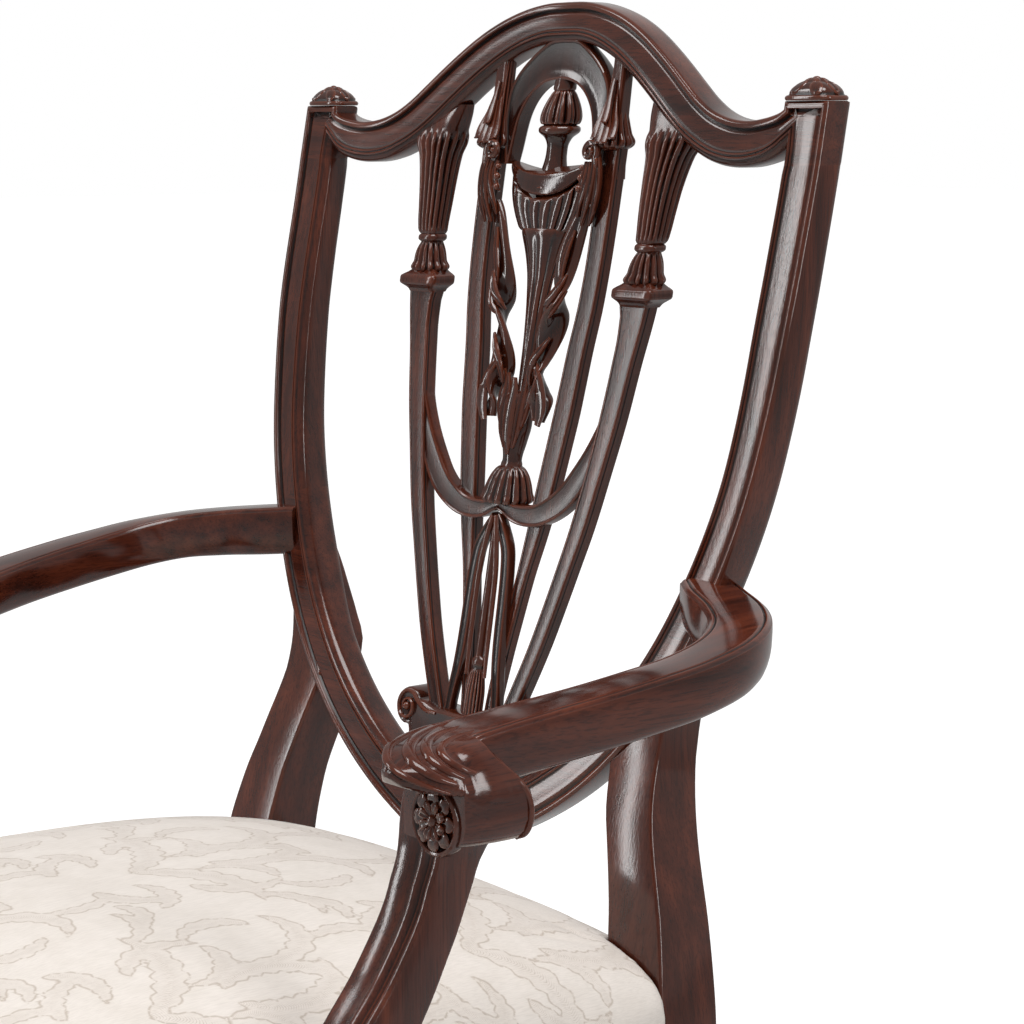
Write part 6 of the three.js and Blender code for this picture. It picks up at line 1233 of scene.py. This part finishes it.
def hand_rings():
    """Swept block of the hand: a level top, a roll down its outer side, a lip over the post."""
    inner_line = smooth_curve(HAND_INNER, 120)
    outer_line = smooth_curve(HAND_OUTER, 120)
    stations = np.concatenate([
        np.linspace(-255, -270, 9), np.linspace(-272, -291.2, 14), [-291.6, -292.0],
        np.linspace(-293, -312, 20), np.linspace(-312.8, -319.6, 14),
    ])  # fmt: skip
    rings = []
    for y in stations:
        inner = np.interp(-y, -inner_line[:, 1], inner_line[:, 0])
        outer = np.interp(-y, -outer_line[:, 1], outer_line[:, 0])
        low = HAND_POST_LOW if y > -291.8 else read_off(HAND_LOW, y)
        width = outer - inner
        spots = []
        for s in np.linspace(0, 1, 52):
            x = inner + width * s
            from_inner, from_outer = (np.hypot(*(line - (x, y)).T).min() for line in (inner_line, outer_line))
            height = hand_height(y, from_outer, min(from_inner, from_outer))
            spots.append([x, y, max(height, low + 2.5)])
        under = min(12.0, width * 0.3, (read_off(HAND_TOP, y) - low) * 0.3)
        under = min(under, max(spots[-1][2] - low - 1.0, 0.8))
        side_top = spots[-1][2]
        for part in np.linspace(0.0, 1.0, 7)[1:]:
            spots.append([outer, y, side_top + (low + under - side_top) * part])
        for degrees in (30, 60, 90):
            angle = math.radians(degrees)
            spots.append([outer - under * (1 - math.cos(angle)), y, low + under * (1 - math.sin(angle))])
        for part in (0.25, 0.5, 0.75):
            spots.append([outer - under + (inner + LIP_EDGE - outer + under) * part, y, low])
        spots += [[inner + LIP_EDGE, y, low], [inner + 0.4, y, low + 0.4], [inner, y, low + LIP_EDGE]]
        for part in np.linspace(0.0, 1.0, 7)[1:-1]:
            spots.append([inner, y, low + LIP_EDGE + (spots[0][2] - low - LIP_EDGE) * part])
        lean = 17.0 * np.clip((y + 290) / 35, 0, 1)
        for spot in spots:
            spot[1] -= lean * rise(spot[2], 588, 612)
        rings.append(spots)
    return rings


draw_out(arm_rings(), new=True)
draw_out(hand_rings())
HAND_BANDS = [
    (2.4, 1.6, [(246.6, -256, 615), (247.6, -274, 614.2), (250.8, -288, 613.2), (254.8, -297, 612.6),
                (260.3, -307, 611.2), (269.4, -314.5, 608), (280.2, -315.7, 604.3), (289.2, -308.2, 599.2),
                (295.2, -298.3, 595)]),
    (3.4, 2.2, [(247.8, -253, 615.4), (253.4, -277.4, 614), (262.6, -294.7, 612.8), (272.7, -304.7, 610.8),
                (282.6, -307.7, 607.2), (291, -303.2, 602.8), (295.9, -295.3, 599.2)]),
    (2.9, 2.4, [(261, -258.3, 615.2), (261.2, -273.3, 614.4), (266.7, -287.2, 613.4), (275.4, -296.8, 612),
                (284.8, -300.1, 608.4), (291.5, -297.1, 604.8), (296.1, -290.8, 601)]),
    (2.5, 2.4, [(272, -262, 615), (272.6, -275, 614.2), (276.2, -285.6, 613.2), (281.2, -292.6, 611.4),
                (287.5, -294, 608.4), (293, -290.1, 605), (295.9, -283.6, 602.2)]),
]  # fmt: skip
HAND_BEAD = [
    (262, -277, 613.4, 0.8, 0.8), (270, -272.4, 613.4, 1.5, 1.4), (278, -270.6, 611.6, 1.6, 1.5),
    (288, -268.8, 607.6, 1.6, 1.5), (296, -265.6, 601.6, 1.6, 1.5), (300.6, -259.6, 594, 1.6, 1.5),
    (302, -256, 586, 1.6, 1.4), (302, -255.4, 578, 1.6, 1.4), (299.6, -256.4, 570.6, 1.5, 1.2),
    (293, -257, 567, 1.2, 1.0),
]  # fmt: skip
for half, thick, band in HAND_BANDS:
    spots = len(band) - 1
    fade = [math.sin(math.pi * (0.06 + 0.88 * k / spots)) ** 0.45 for k in range(spots + 1)]
    tapered = [(*spot, half * f, thick * f) for spot, f in zip(band, fade)]
    lay_ribbon(tapered, up=(0.4, -0.3, 1), count=80, section=14)
lay_ribbon(HAND_BEAD, up=(1, 0, 0.5), count=50, section=12)
close_piece("arm_shaped", lengthwise_mahogany, ["arm"], sharp=40, twin=True)

SUPPORT = [
    (596, -284, -252, 244, 286), (586, -287, -253, 243.6, 288), (574, -289, -256, 243.2, 284),
    (562, -290, -260, 243, 278), (553, -291.4, -264.6, 243, 276.4), (544.6, -294.6, -267.6, 243, 276),
    (535.6, -297.6, -271.4, 243, 276), (526.4, -302, -275.2, 243, 276), (517.4, -307.4, -279.2, 243, 276),
    (508.6, -313, -283.8, 243, 276), (499.8, -319, -288.2, 243, 276), (490, -327, -293.4, 243.2, 276),
    (480, -335.4, -299.4, 243.4, 276), (460, -350, -312, 244, 276), (430, -368, -331, 244.4, 276),
    (400, -382, -347, 244.2, 275), (364, -395, -362, 244.2, 271),
]  # fmt: skip
support_rings = []
for z, front, back, inner, outer in smooth_rows(SUPPORT, 5.0):
    width = outer - inner
    shape = [
        (0, 3.2), (0.3, 1.2), (1.2, 0.3), (2.6, 0), (width * 0.42, 0.8), (width * 0.5, 1.6), (width * 0.53, 1.7),
        (width * 0.55, 0.4), (width * 0.59, -1.1), (width * 0.65, -1.7), (width * 0.71, -1.1), (width * 0.745, 0.6),
        (width * 0.76, 1.3), (width * 0.775, 0.5), (width * 0.79, 0.1), (width * 0.81, 0.5), (width * 0.825, 1.2),
        (width * 0.84, 0.6), (width * 0.87, 0.1), (width - 2, 0.2), (width - 0.6, 0.8), (width, 2.4),
    ]  # fmt: skip
    ring = [(inner + s, front + d, z) for s, d in shape]
    ring += [(outer, back - 3, z), (outer - 0.8, back - 0.8, z), (outer - 3, back, z)]
    ring += [(inner + 3, back, z), (inner + 0.8, back - 0.8, z), (inner, back - 3, z)]
    support_rings.append(ring)
draw_out(support_rings, new=True)
close_piece("arm_support_moulded", upright_mahogany, ["arm_support"], twin=True)

PATERA = (276.4, -291.4, 577.6)
PATERA_RIM = [
    (17.4, 4.0), (17.8, 2.4), (17.8, -0.4), (17.3, -1.8), (16.2, -2.5), (15.2, -2.2), (14.6, -1.2), (13.6, -0.2),
    (3, -0.6),
]  # fmt: skip
PETAL_TIP = 14.6
PETAL_ROOT = 2.6


def draw_patera():
    """Round boss of two rings of petals inside a raised rim."""
    x0, y0, z0 = PATERA
    angle = np.linspace(0, 2 * np.pi, 64, endpoint=False)
    rings = []
    for r, y in PATERA_RIM:
        rings.append(np.column_stack([x0 + r * np.cos(angle), np.full(64, y0 + y), z0 + r * np.sin(angle)]))
    draw_out(rings, new=True)
    for turn, tip, lift in ((0.0, PETAL_TIP, 0.0), (math.pi / 8, 9.4, 1.4)):
        path = []
        for share, half, out in ((0, 0.8, 0.7), (0.25, 2.0, 1.4), (0.55, 3.4, 2.0), (0.82, 3.5, 2.2), (1, 1.6, 1.3)):
            reach = PETAL_ROOT + (tip - PETAL_ROOT) * share
            x, z = x0 + reach * math.cos(turn), z0 + reach * math.sin(turn)
            path.append((x, y0 - out - lift, z, half * (tip / PETAL_TIP) + 0.3, 1.3))
        lay_ribbon(path, (0, -1, 0), 9, 12, 0.55)
        repeat_round(8, PATERA, "Y")
    add_berry((x0, y0 - 2.6, z0), 3.0, (1, 0.8, 1))


draw_patera()
close_piece("arm_support_rosette_carved", carved_mahogany, ["arm_support_rosette"], twin=True)

FRONT_LEG = [
    (410, 44), (350, 44), (340, 43), (112, 27.5), (108, 27), (106, 28), (104, 30.4), (100, 31.6), (96, 32.6),
    (84, 34.6), (76, 35), (60, 33.6), (6, 24),
]  # fmt: skip
leg_low, leg_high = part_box("front_leg_right")
LEG_X = (leg_low[0] + leg_high[0]) / 2 / MM
LEG_Y = (leg_low[1] + leg_high[1]) / 2 / MM - SET_BACK
draw_out(
    [
        [(x, y, z) for x, y in eased_box(LEG_X - size / 2, LEG_X + size / 2, LEG_Y - size / 2, LEG_Y + size / 2, 1.6)]
        for z, size in smooth_rows(FRONT_LEG, 4.0)
    ],
    new=True,
)
close_piece("front_leg_tapered", upright_mahogany, ["front_leg"], twin=True)


# Upholstered seat

SEAT_LENGTH = (-527.0, -46.0)
SEAT_CROWN = 487.0
SEAT_RIM = 428.0
SEAT_LOW = 0.3535
SEAT_WIDTHS = (266.0, 46.0)
CORNER_POWER = 9
DOME_POWER, DOME_FULLNESS = 2.6, 0.62
SIDE_DROPS = [(10, 1.012), (16, 1.004), (18, 0.996), (18, 0.994), (12, 0.992)]
SKIN_SIZE = 0.006
STUFFING_REACH = 0.006
CLOTH_STEPS = 20


def seat_half_width(y):
    """Half the seat's width at a depth, between straight sides that close towards the back."""
    share = np.clip((y - SEAT_LENGTH[0]) / (SEAT_LENGTH[1] - SEAT_LENGTH[0]), 0, 1)
    return SEAT_WIDTHS[0] - SEAT_WIDTHS[1] * share


def seat_point(a, b):
    """Place over the seat of a pair of shares from the middle, minus one to one."""
    length = (SEAT_LENGTH[1] - SEAT_LENGTH[0]) / 2
    middle = (SEAT_LENGTH[1] + SEAT_LENGTH[0]) / 2
    pull = (abs(a) ** CORNER_POWER + abs(b) ** CORNER_POWER) ** (1 / CORNER_POWER) / max(abs(a), abs(b), 1e-6)
    a, b = a / max(pull, 1.0), b / max(pull, 1.0)
    y = middle + b * length
    dome = (1 - abs(a) ** DOME_POWER) ** DOME_FULLNESS * (1 - abs(b) ** DOME_POWER) ** DOME_FULLNESS
    return a * float(seat_half_width(y)), y, SEAT_RIM + (SEAT_CROWN - SEAT_RIM) * dome


def draw_seat():
    """Grid pulled over the crown, its rim drawn down as the sides and closed underneath."""
    across, along = 56, 52
    leave_edit()
    bpy.ops.object.select_all(action="DESELECT")
    bpy.ops.mesh.primitive_grid_add(x_subdivisions=across, y_subdivisions=along, size=2)
    seat = bpy.context.object
    bpy.ops.object.mode_set(mode="EDIT")
    shell = bmesh.from_edit_mesh(seat.data)
    for point in shell.verts:
        point.co = at_place(seat_point(point.co.x, point.co.y))
    bmesh.update_edit_mesh(seat.data)
    bpy.ops.mesh.select_mode(type="EDGE")
    bpy.ops.mesh.select_all(action="DESELECT")
    bpy.ops.mesh.select_non_manifold()
    centre = at_place((0, (SEAT_LENGTH[0] + SEAT_LENGTH[1]) / 2, 0))
    for drop, spread in SIDE_DROPS:
        bpy.ops.mesh.extrude_edges_move(TRANSFORM_OT_translate={"value": (0, 0, -drop * MM)})
        bpy.ops.transform.resize(value=(spread, spread, 1), center_override=centre)
    bpy.ops.mesh.edge_face_add()
    bpy.ops.mesh.select_mode(type="VERT")
    bpy.ops.mesh.select_all(action="SELECT")
    bpy.ops.mesh.normals_make_consistent(inside=False)
    bpy.ops.object.mode_set(mode="OBJECT")
    bpy.ops.object.transform_apply(location=True, rotation=True, scale=True)
    seat.name = "seat_upholstered"
    return seat


def work_over(piece, name, kind, **settings):
    """Adds a modifier, sets it and applies it."""
    modifier = piece.modifiers.new(name, kind)
    for key, value in settings.items():
        setattr(modifier, key, value)
    bpy.context.view_layer.objects.active = piece
    bpy.ops.object.modifier_apply(modifier=modifier.name)


def write_vertices(piece, points):
    """Moves the vertices of a piece, in metres of the frame."""
    piece.data.vertices.foreach_set("co", points.ravel())
    piece.data.update()


def drawing_of(points):
    """Metres of the frame to millimetres of the drawing."""
    place = points / MM
    place[:, 1] -= SET_BACK
    return place


def redraw(piece, place):
    """Moves the vertices of a piece, in millimetres of the drawing."""
    points = place.copy()
    points[:, 1] += SET_BACK
    write_vertices(piece, points * MM)


def inflate_seat(seat):
    """Voxel remesh, then a short cloth run that rounds the stuffing, held within a few millimetres."""
    work_over(seat, "even skin", "REMESH", mode="VOXEL", voxel_size=SKIN_SIZE)
    before = read_rows(seat.data.vertices, "co")
    cloth = seat.modifiers.new("stuffed", "CLOTH")
    cloth.settings.use_pressure = True
    cloth.settings.uniform_pressure_force = 4
    cloth.settings.effector_weights.gravity = 0
    for step in range(1, CLOTH_STEPS + 1):
        bpy.context.scene.frame_set(step)
    seen = seat.evaluated_get(bpy.context.evaluated_depsgraph_get())
    after = read_rows(seen.data.vertices, "co")
    seat.modifiers.remove(cloth)
    bpy.context.scene.frame_set(1)
    moved = after - before
    size = np.maximum(np.linalg.norm(moved, axis=1), 1e-9)
    moved *= (np.minimum(size, STUFFING_REACH) / size)[:, None]
    write_vertices(seat, before + moved)


LEG_REACH = 160.5
LEG_FRONT = [(354, -93.6), (400, -93.4), (439, -89), (472, -83.4), (489, -80.4)]
LEG_INNER = [(354, 169), (400, 168), (439, 165), (489, 155.5)]
SUPPORT_INNER = 242.0
SUPPORT_FACE = [(364, -395.5), (400, -382.5), (430, -368.5), (460, -350.5), (490, -327.5)]
SUPPORT_REAR = [(364, -361), (400, -346), (430, -330), (460, -311), (490, -292.4)]


def keep_clear(seat):
    """Presses the cover back round the rear legs and arm supports, and flat over the lining."""
    points = read_rows(seat.data.vertices, "co")
    points[:, 0] = np.clip(points[:, 0], cad_box[0][0], cad_box[1][0])
    front, rear = ((end + SET_BACK) * MM for end in (SEAT_LENGTH[0] - 6, SEAT_LENGTH[1] + 3))
    points[:, 1] = np.clip(points[:, 1], front, rear)
    points[:, 2] = np.maximum(points[:, 2], SEAT_LOW)
    place = drawing_of(points)
    for side in (1, -1):
        x, z = place[:, 0] * side, place[:, 2]
        leg = read_off(LEG_FRONT, z) - 1.2
        inside = (x > LEG_REACH) & (place[:, 1] > leg) & (x > read_off(LEG_INNER, z))
        place[:, 1] = np.where(inside, leg, place[:, 1])
        held = (place[:, 1] > read_off(SUPPORT_FACE, z) - 1.5) & (place[:, 1] < read_off(SUPPORT_REAR, z) + 1.5)
        held &= x > SUPPORT_INNER
        place[:, 0] = np.where(held, side * SUPPORT_INNER, place[:, 0])
    redraw(seat, place)


PLEATS = [(176, -98, 62, 2.2, 1.9), (176, -98, 48, 1.4, 2.7), (246, -338, 34, 1.2, 3.3)]
PLEAT_WIDTH = 3.2


def pleat_corners(seat):
    """Folds drawn towards the tacks beside each rear leg and arm support."""
    place = drawing_of(read_rows(seat.data.vertices, "co"))
    for side in (1, -1):
        for x0, y0, reach, depth, way in PLEATS:
            dx, dy = place[:, 0] * side - x0, place[:, 1] - y0
            along = dx * math.cos(way) - dy * math.sin(way)
            off = dx * math.sin(way) + dy * math.cos(way)
            fold = np.exp(-((off / PLEAT_WIDTH) ** 2)) * rise(along, 0, 12) * (1 - rise(along, reach * 0.4, reach))
            place[:, 2] -= depth * fold
    redraw(seat, place)


REPEAT_SIZE = 0.66
REPEAT_WIDE, REPEAT_LONG = 262, 290
STEM_STEPS = 24
STEMS = [
    (0, -60, 1.15, -1.5, 150, 15, 5), (10, 10, 0.7, 2.3, 130, 13, 5), (34, 60, 1.9, -2.6, 120, 12, 4),
    (60, -40, 0.2, 2.1, 96, 11, 4), (78, 34, 2.6, 2.4, 88, 10, 4), (96, 92, -0.5, -2.3, 84, 10, 4),
    (22, 104, 2.9, 2.0, 70, 9, 3), (112, -8, 1.3, -1.9, 78, 9, 3), (52, 122, 0.9, 1.7, 74, 9, 3),
    (100, -92, 2.0, 1.8, 80, 10, 4), (30, -112, -0.2, 1.9, 82, 10, 4), (72, -120, 0.8, -2.0, 70, 8, 3),
]  # fmt: skip


def leaf_lines():
    """Centre lines of the leaves in one repeat of the damask, curved stems in mirrored pairs."""
    lines = []
    for mirror in (1, -1):
        for x, y, heading, swing, length, width, lobes in STEMS:
            spots = []
            for _ in range(STEM_STEPS + 1):
                spots.append((x * mirror, y))
                heading += swing / STEM_STEPS
                x += length / STEM_STEPS * math.cos(heading)
                y += length / STEM_STEPS * math.sin(heading)
            lines.append((np.array(spots), width, lobes))
    return lines


def nearest_on(spots, px, py):
    """Distance of places to a line of spots, and the share of the line where each is nearest."""
    closest = np.full(len(px), 1e9)
    share = np.zeros(len(px))
    for k in range(len(spots) - 1):
        ax, ay = spots[k]
        bx, by = spots[k + 1] - spots[k]
        part = np.clip(((px - ax) * bx + (py - ay) * by) / (bx * bx + by * by), 0, 1)
        far = np.hypot(px - ax - part * bx, py - ay - part * by)
        better = far < closest
        closest[better] = far[better]
        share[better] = (k + part[better]) / (len(spots) - 1)
    return closest, share


def figure_seat(seat):
    """Stores the signed distance to the damask's leaves, the way along each, and how deep inside."""
    place = drawing_of(read_rows(seat.data.vertices, "co"))
    fall = np.maximum(470 - place[:, 2], 0)
    out_x = np.sign(place[:, 0]) * np.clip((np.abs(place[:, 0]) - 205) / 50, 0, 1)
    out_y = np.clip((-430 - place[:, 1]) / 60, 0, 1)
    u = place[:, 0] + out_x * fall * 0.9
    out_rear = np.clip((place[:, 1] - place[:, 1].max() + 30) / 25, 0, 1)
    v = place[:, 1] - out_y * fall * 0.9 + out_rear * fall * 0.9 + 250
    u, v = u / REPEAT_SIZE, v / REPEAT_SIZE
    best = np.full(len(u), 40.0)
    along, deep = np.zeros(len(u)), np.zeros(len(u))
    lines = leaf_lines()
    for i, j in itertools.product(range(-2, 3), repeat=2):
        shift = (REPEAT_WIDE * i, REPEAT_LONG * j + REPEAT_LONG / 2 * (i % 2))
        for spots, width, lobes in lines:
            moved = spots + shift
            low, high = moved.min(axis=0) - width - 30, moved.max(axis=0) + width + 30
            where = np.flatnonzero((u > low[0]) & (u < high[0]) & (v > low[1]) & (v < high[1]))
            if not len(where):
                continue
            closest, t = nearest_on(moved, u[where], v[where])
            body = np.sin(np.pi * np.clip(t, 0.001, 0.999) ** 0.8) ** 0.8
            lobe = 0.62 + 0.38 * np.abs(np.sin(np.pi * lobes * 1.6 * t))
            edge = closest - width * body * lobe
            closer = edge < best[where]
            best[where[closer]] = edge[closer]
            along[where[closer]] = (t * 150 + closest * 0.7)[closer]
            deep[where[closer]] = (1 - rise(closest, width * 0.15, width * 0.42))[closer]
    best = best * REPEAT_SIZE
    store_values(seat.data, figure=best, hatch=along, within=deep * (best < 0))


seat = draw_seat()
inflate_seat(seat)
work_over(seat, "soft", "SMOOTH", factor=0.5, iterations=4)
work_over(seat, "finer", "SUBSURF", levels=1, render_levels=1)
pleat_corners(seat)
keep_clear(seat)
figure_seat(seat)
seat.data.materials.clear()
seat.data.materials.append(damask)
bpy.ops.object.shade_smooth()
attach(seat, "root")
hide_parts("seat_cover", "seat_stuffing")


LINING_REAR_HALF = 0.205
LINING_SAG = 0.004
LINING_THICK = 0.0008


def draw_lining():
    """Black lining tacked under the rails, sagging a little between them."""
    low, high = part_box("dust_cloth")
    bpy.ops.object.select_all(action="DESELECT")
    bpy.ops.mesh.primitive_grid_add(x_subdivisions=24, y_subdivisions=24, size=2)
    lining = bpy.context.object
    bpy.ops.object.mode_set(mode="EDIT")
    shell = bmesh.from_edit_mesh(lining.data)
    half_y = (high[1] - low[1]) / 2
    for point in shell.verts:
        a, b = point.co.x, point.co.y
        half_x = high[0] - (high[0] - LINING_REAR_HALF) * (b + 1) / 2
        sag = LINING_SAG * (1 - a * a) * (1 - b * b)
        point.co = (a * half_x, (low[1] + high[1]) / 2 + b * half_y, (low[2] + high[2]) / 2 - sag)
    bmesh.update_edit_mesh(lining.data)
    bpy.ops.mesh.select_all(action="SELECT")
    bpy.ops.mesh.normals_make_consistent(inside=False)
    bpy.ops.object.mode_set(mode="OBJECT")
    work_over(lining, "cloth", "SOLIDIFY", thickness=LINING_THICK, offset=0)
    lining.name = "dust_cloth_tacked"
    lining.data.materials.clear()
    lining.data.materials.append(lining_black)
    bpy.ops.object.shade_smooth_by_angle(angle=math.radians(50))
    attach(lining, "root")
    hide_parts("dust_cloth")


draw_lining()


# Camera, floor and light

FOCAL_PIXELS = 2750.37
PHOTO_PIXELS = 1024
FILM_WIDTH = 36
TURN = math.radians(50.504)
PITCH = math.radians(7.962)
camera_data = bpy.data.cameras.new("camera")
camera = bpy.data.objects.new("camera", camera_data)
bpy.context.collection.objects.link(camera)
camera.location = (1.2648, -1.0606 + SET_BACK * MM, 0.898)
look = Vector((-math.sin(TURN) * math.cos(PITCH), math.cos(TURN) * math.cos(PITCH), -math.sin(PITCH)))
camera.rotation_euler = look.to_track_quat("-Z", "Y").to_euler()
camera_data.sensor_width = FILM_WIDTH
camera_data.sensor_fit = "HORIZONTAL"
camera_data.lens = FOCAL_PIXELS / PHOTO_PIXELS * FILM_WIDTH
bpy.context.scene.camera = camera


FLOOR_SEEN = 0.93
FLOOR_MIRRORED = 0.25
ROOM_LIGHT = 0.36
SWEEP_LIGHT = 0.36


def plain_floor():
    """Pale floor that shines white to the camera and faintly in reflections."""
    bpy.ops.object.select_all(action="DESELECT")
    bpy.ops.mesh.primitive_plane_add(size=60, location=(0, 0, 0))
    floor = bpy.context.object
    floor.name = "floor"
    finish, tree, shader = tree_of("pale floor")
    path = add(tree, "ShaderNodeLightPath").outputs
    seen = math_node(tree, "MULTIPLY", path["Is Camera Ray"], FLOOR_SEEN)
    seen = math_node(tree, "MULTIPLY_ADD", path["Is Glossy Ray"], FLOOR_MIRRORED, seen)
    dial(tree, shader, Base_Color=(0.4, 0.4, 0.4), Roughness=0.9, Specular_IOR_Level=0.1)
    dial(tree, shader, Emission_Color=(1, 1, 1), Emission_Strength=seen)
    floor.data.materials.append(finish)


def studio_world():
    """Even room light, white to the camera, with a brighter sweep behind for reflections."""
    world = bpy.data.worlds.new("studio")
    bpy.context.scene.world = world
    world.use_nodes = True
    tree = world.node_tree
    tree.nodes.clear()
    room = add(tree, "ShaderNodeBackground", Color=(1, 0.99, 0.975), Strength=ROOM_LIGHT)
    sweep = add(tree, "ShaderNodeBackground", Color=(1, 1, 1))
    parts = add(tree, "ShaderNodeSeparateXYZ", Vector=add(tree, "ShaderNodeTexCoord").outputs["Generated"])
    behind = math_node(tree, "MULTIPLY_ADD", parts.outputs["Y"], 1.6, -0.55)
    behind = math_node(tree, "MINIMUM", math_node(tree, "MAXIMUM", behind, 0.03), SWEEP_LIGHT)
    path = add(tree, "ShaderNodeLightPath").outputs
    mirrored = math_node(tree, "MAXIMUM", path["Is Glossy Ray"], path["Is Transmission Ray"])
    mirrored = math_node(tree, "MULTIPLY", mirrored, behind)
    seen = math_node(tree, "MAXIMUM", path["Is Camera Ray"], mirrored)
    mixer = add(tree, "ShaderNodeMixShader")
    for socket, source in zip(mixer.inputs, (seen, room.outputs[0], sweep.outputs[0])):
        feed(tree, socket, source)
    add(tree, "ShaderNodeOutputWorld", Surface=mixer.outputs[0])


def softbox(name, place, target, size, power):
    """Rectangular lamp turned towards a place on the chair."""
    data = bpy.data.lights.new(name, "AREA")
    data.shape = "RECTANGLE"
    data.size, data.size_y = size
    data.energy = power
    lamp = bpy.data.objects.new(name, data)
    bpy.context.collection.objects.link(lamp)
    lamp.location = place
    lamp.rotation_euler = (Vector(target) - Vector(place)).to_track_quat("-Z", "Y").to_euler()


plain_floor()
studio_world()
softbox("left softbox", (-2.2, -2.05, 1.2), (0.08, 0, 0.75), (0.26, 2.0), 17)
softbox("high softbox", (-2.1, -1.5, 2.7), (0.1, 0, 0.85), (0.7, 0.9), 14)
softbox("top softbox", (0.3, -0.4, 3.0), (0, 0, 0.6), (1.4, 1.2), 42)
softbox("right softbox", (2.6, 0.4, 1.5), (0, 0, 0.7), (0.5, 1.6), 22)

bpy.context.scene.view_settings.view_transform = "Standard"
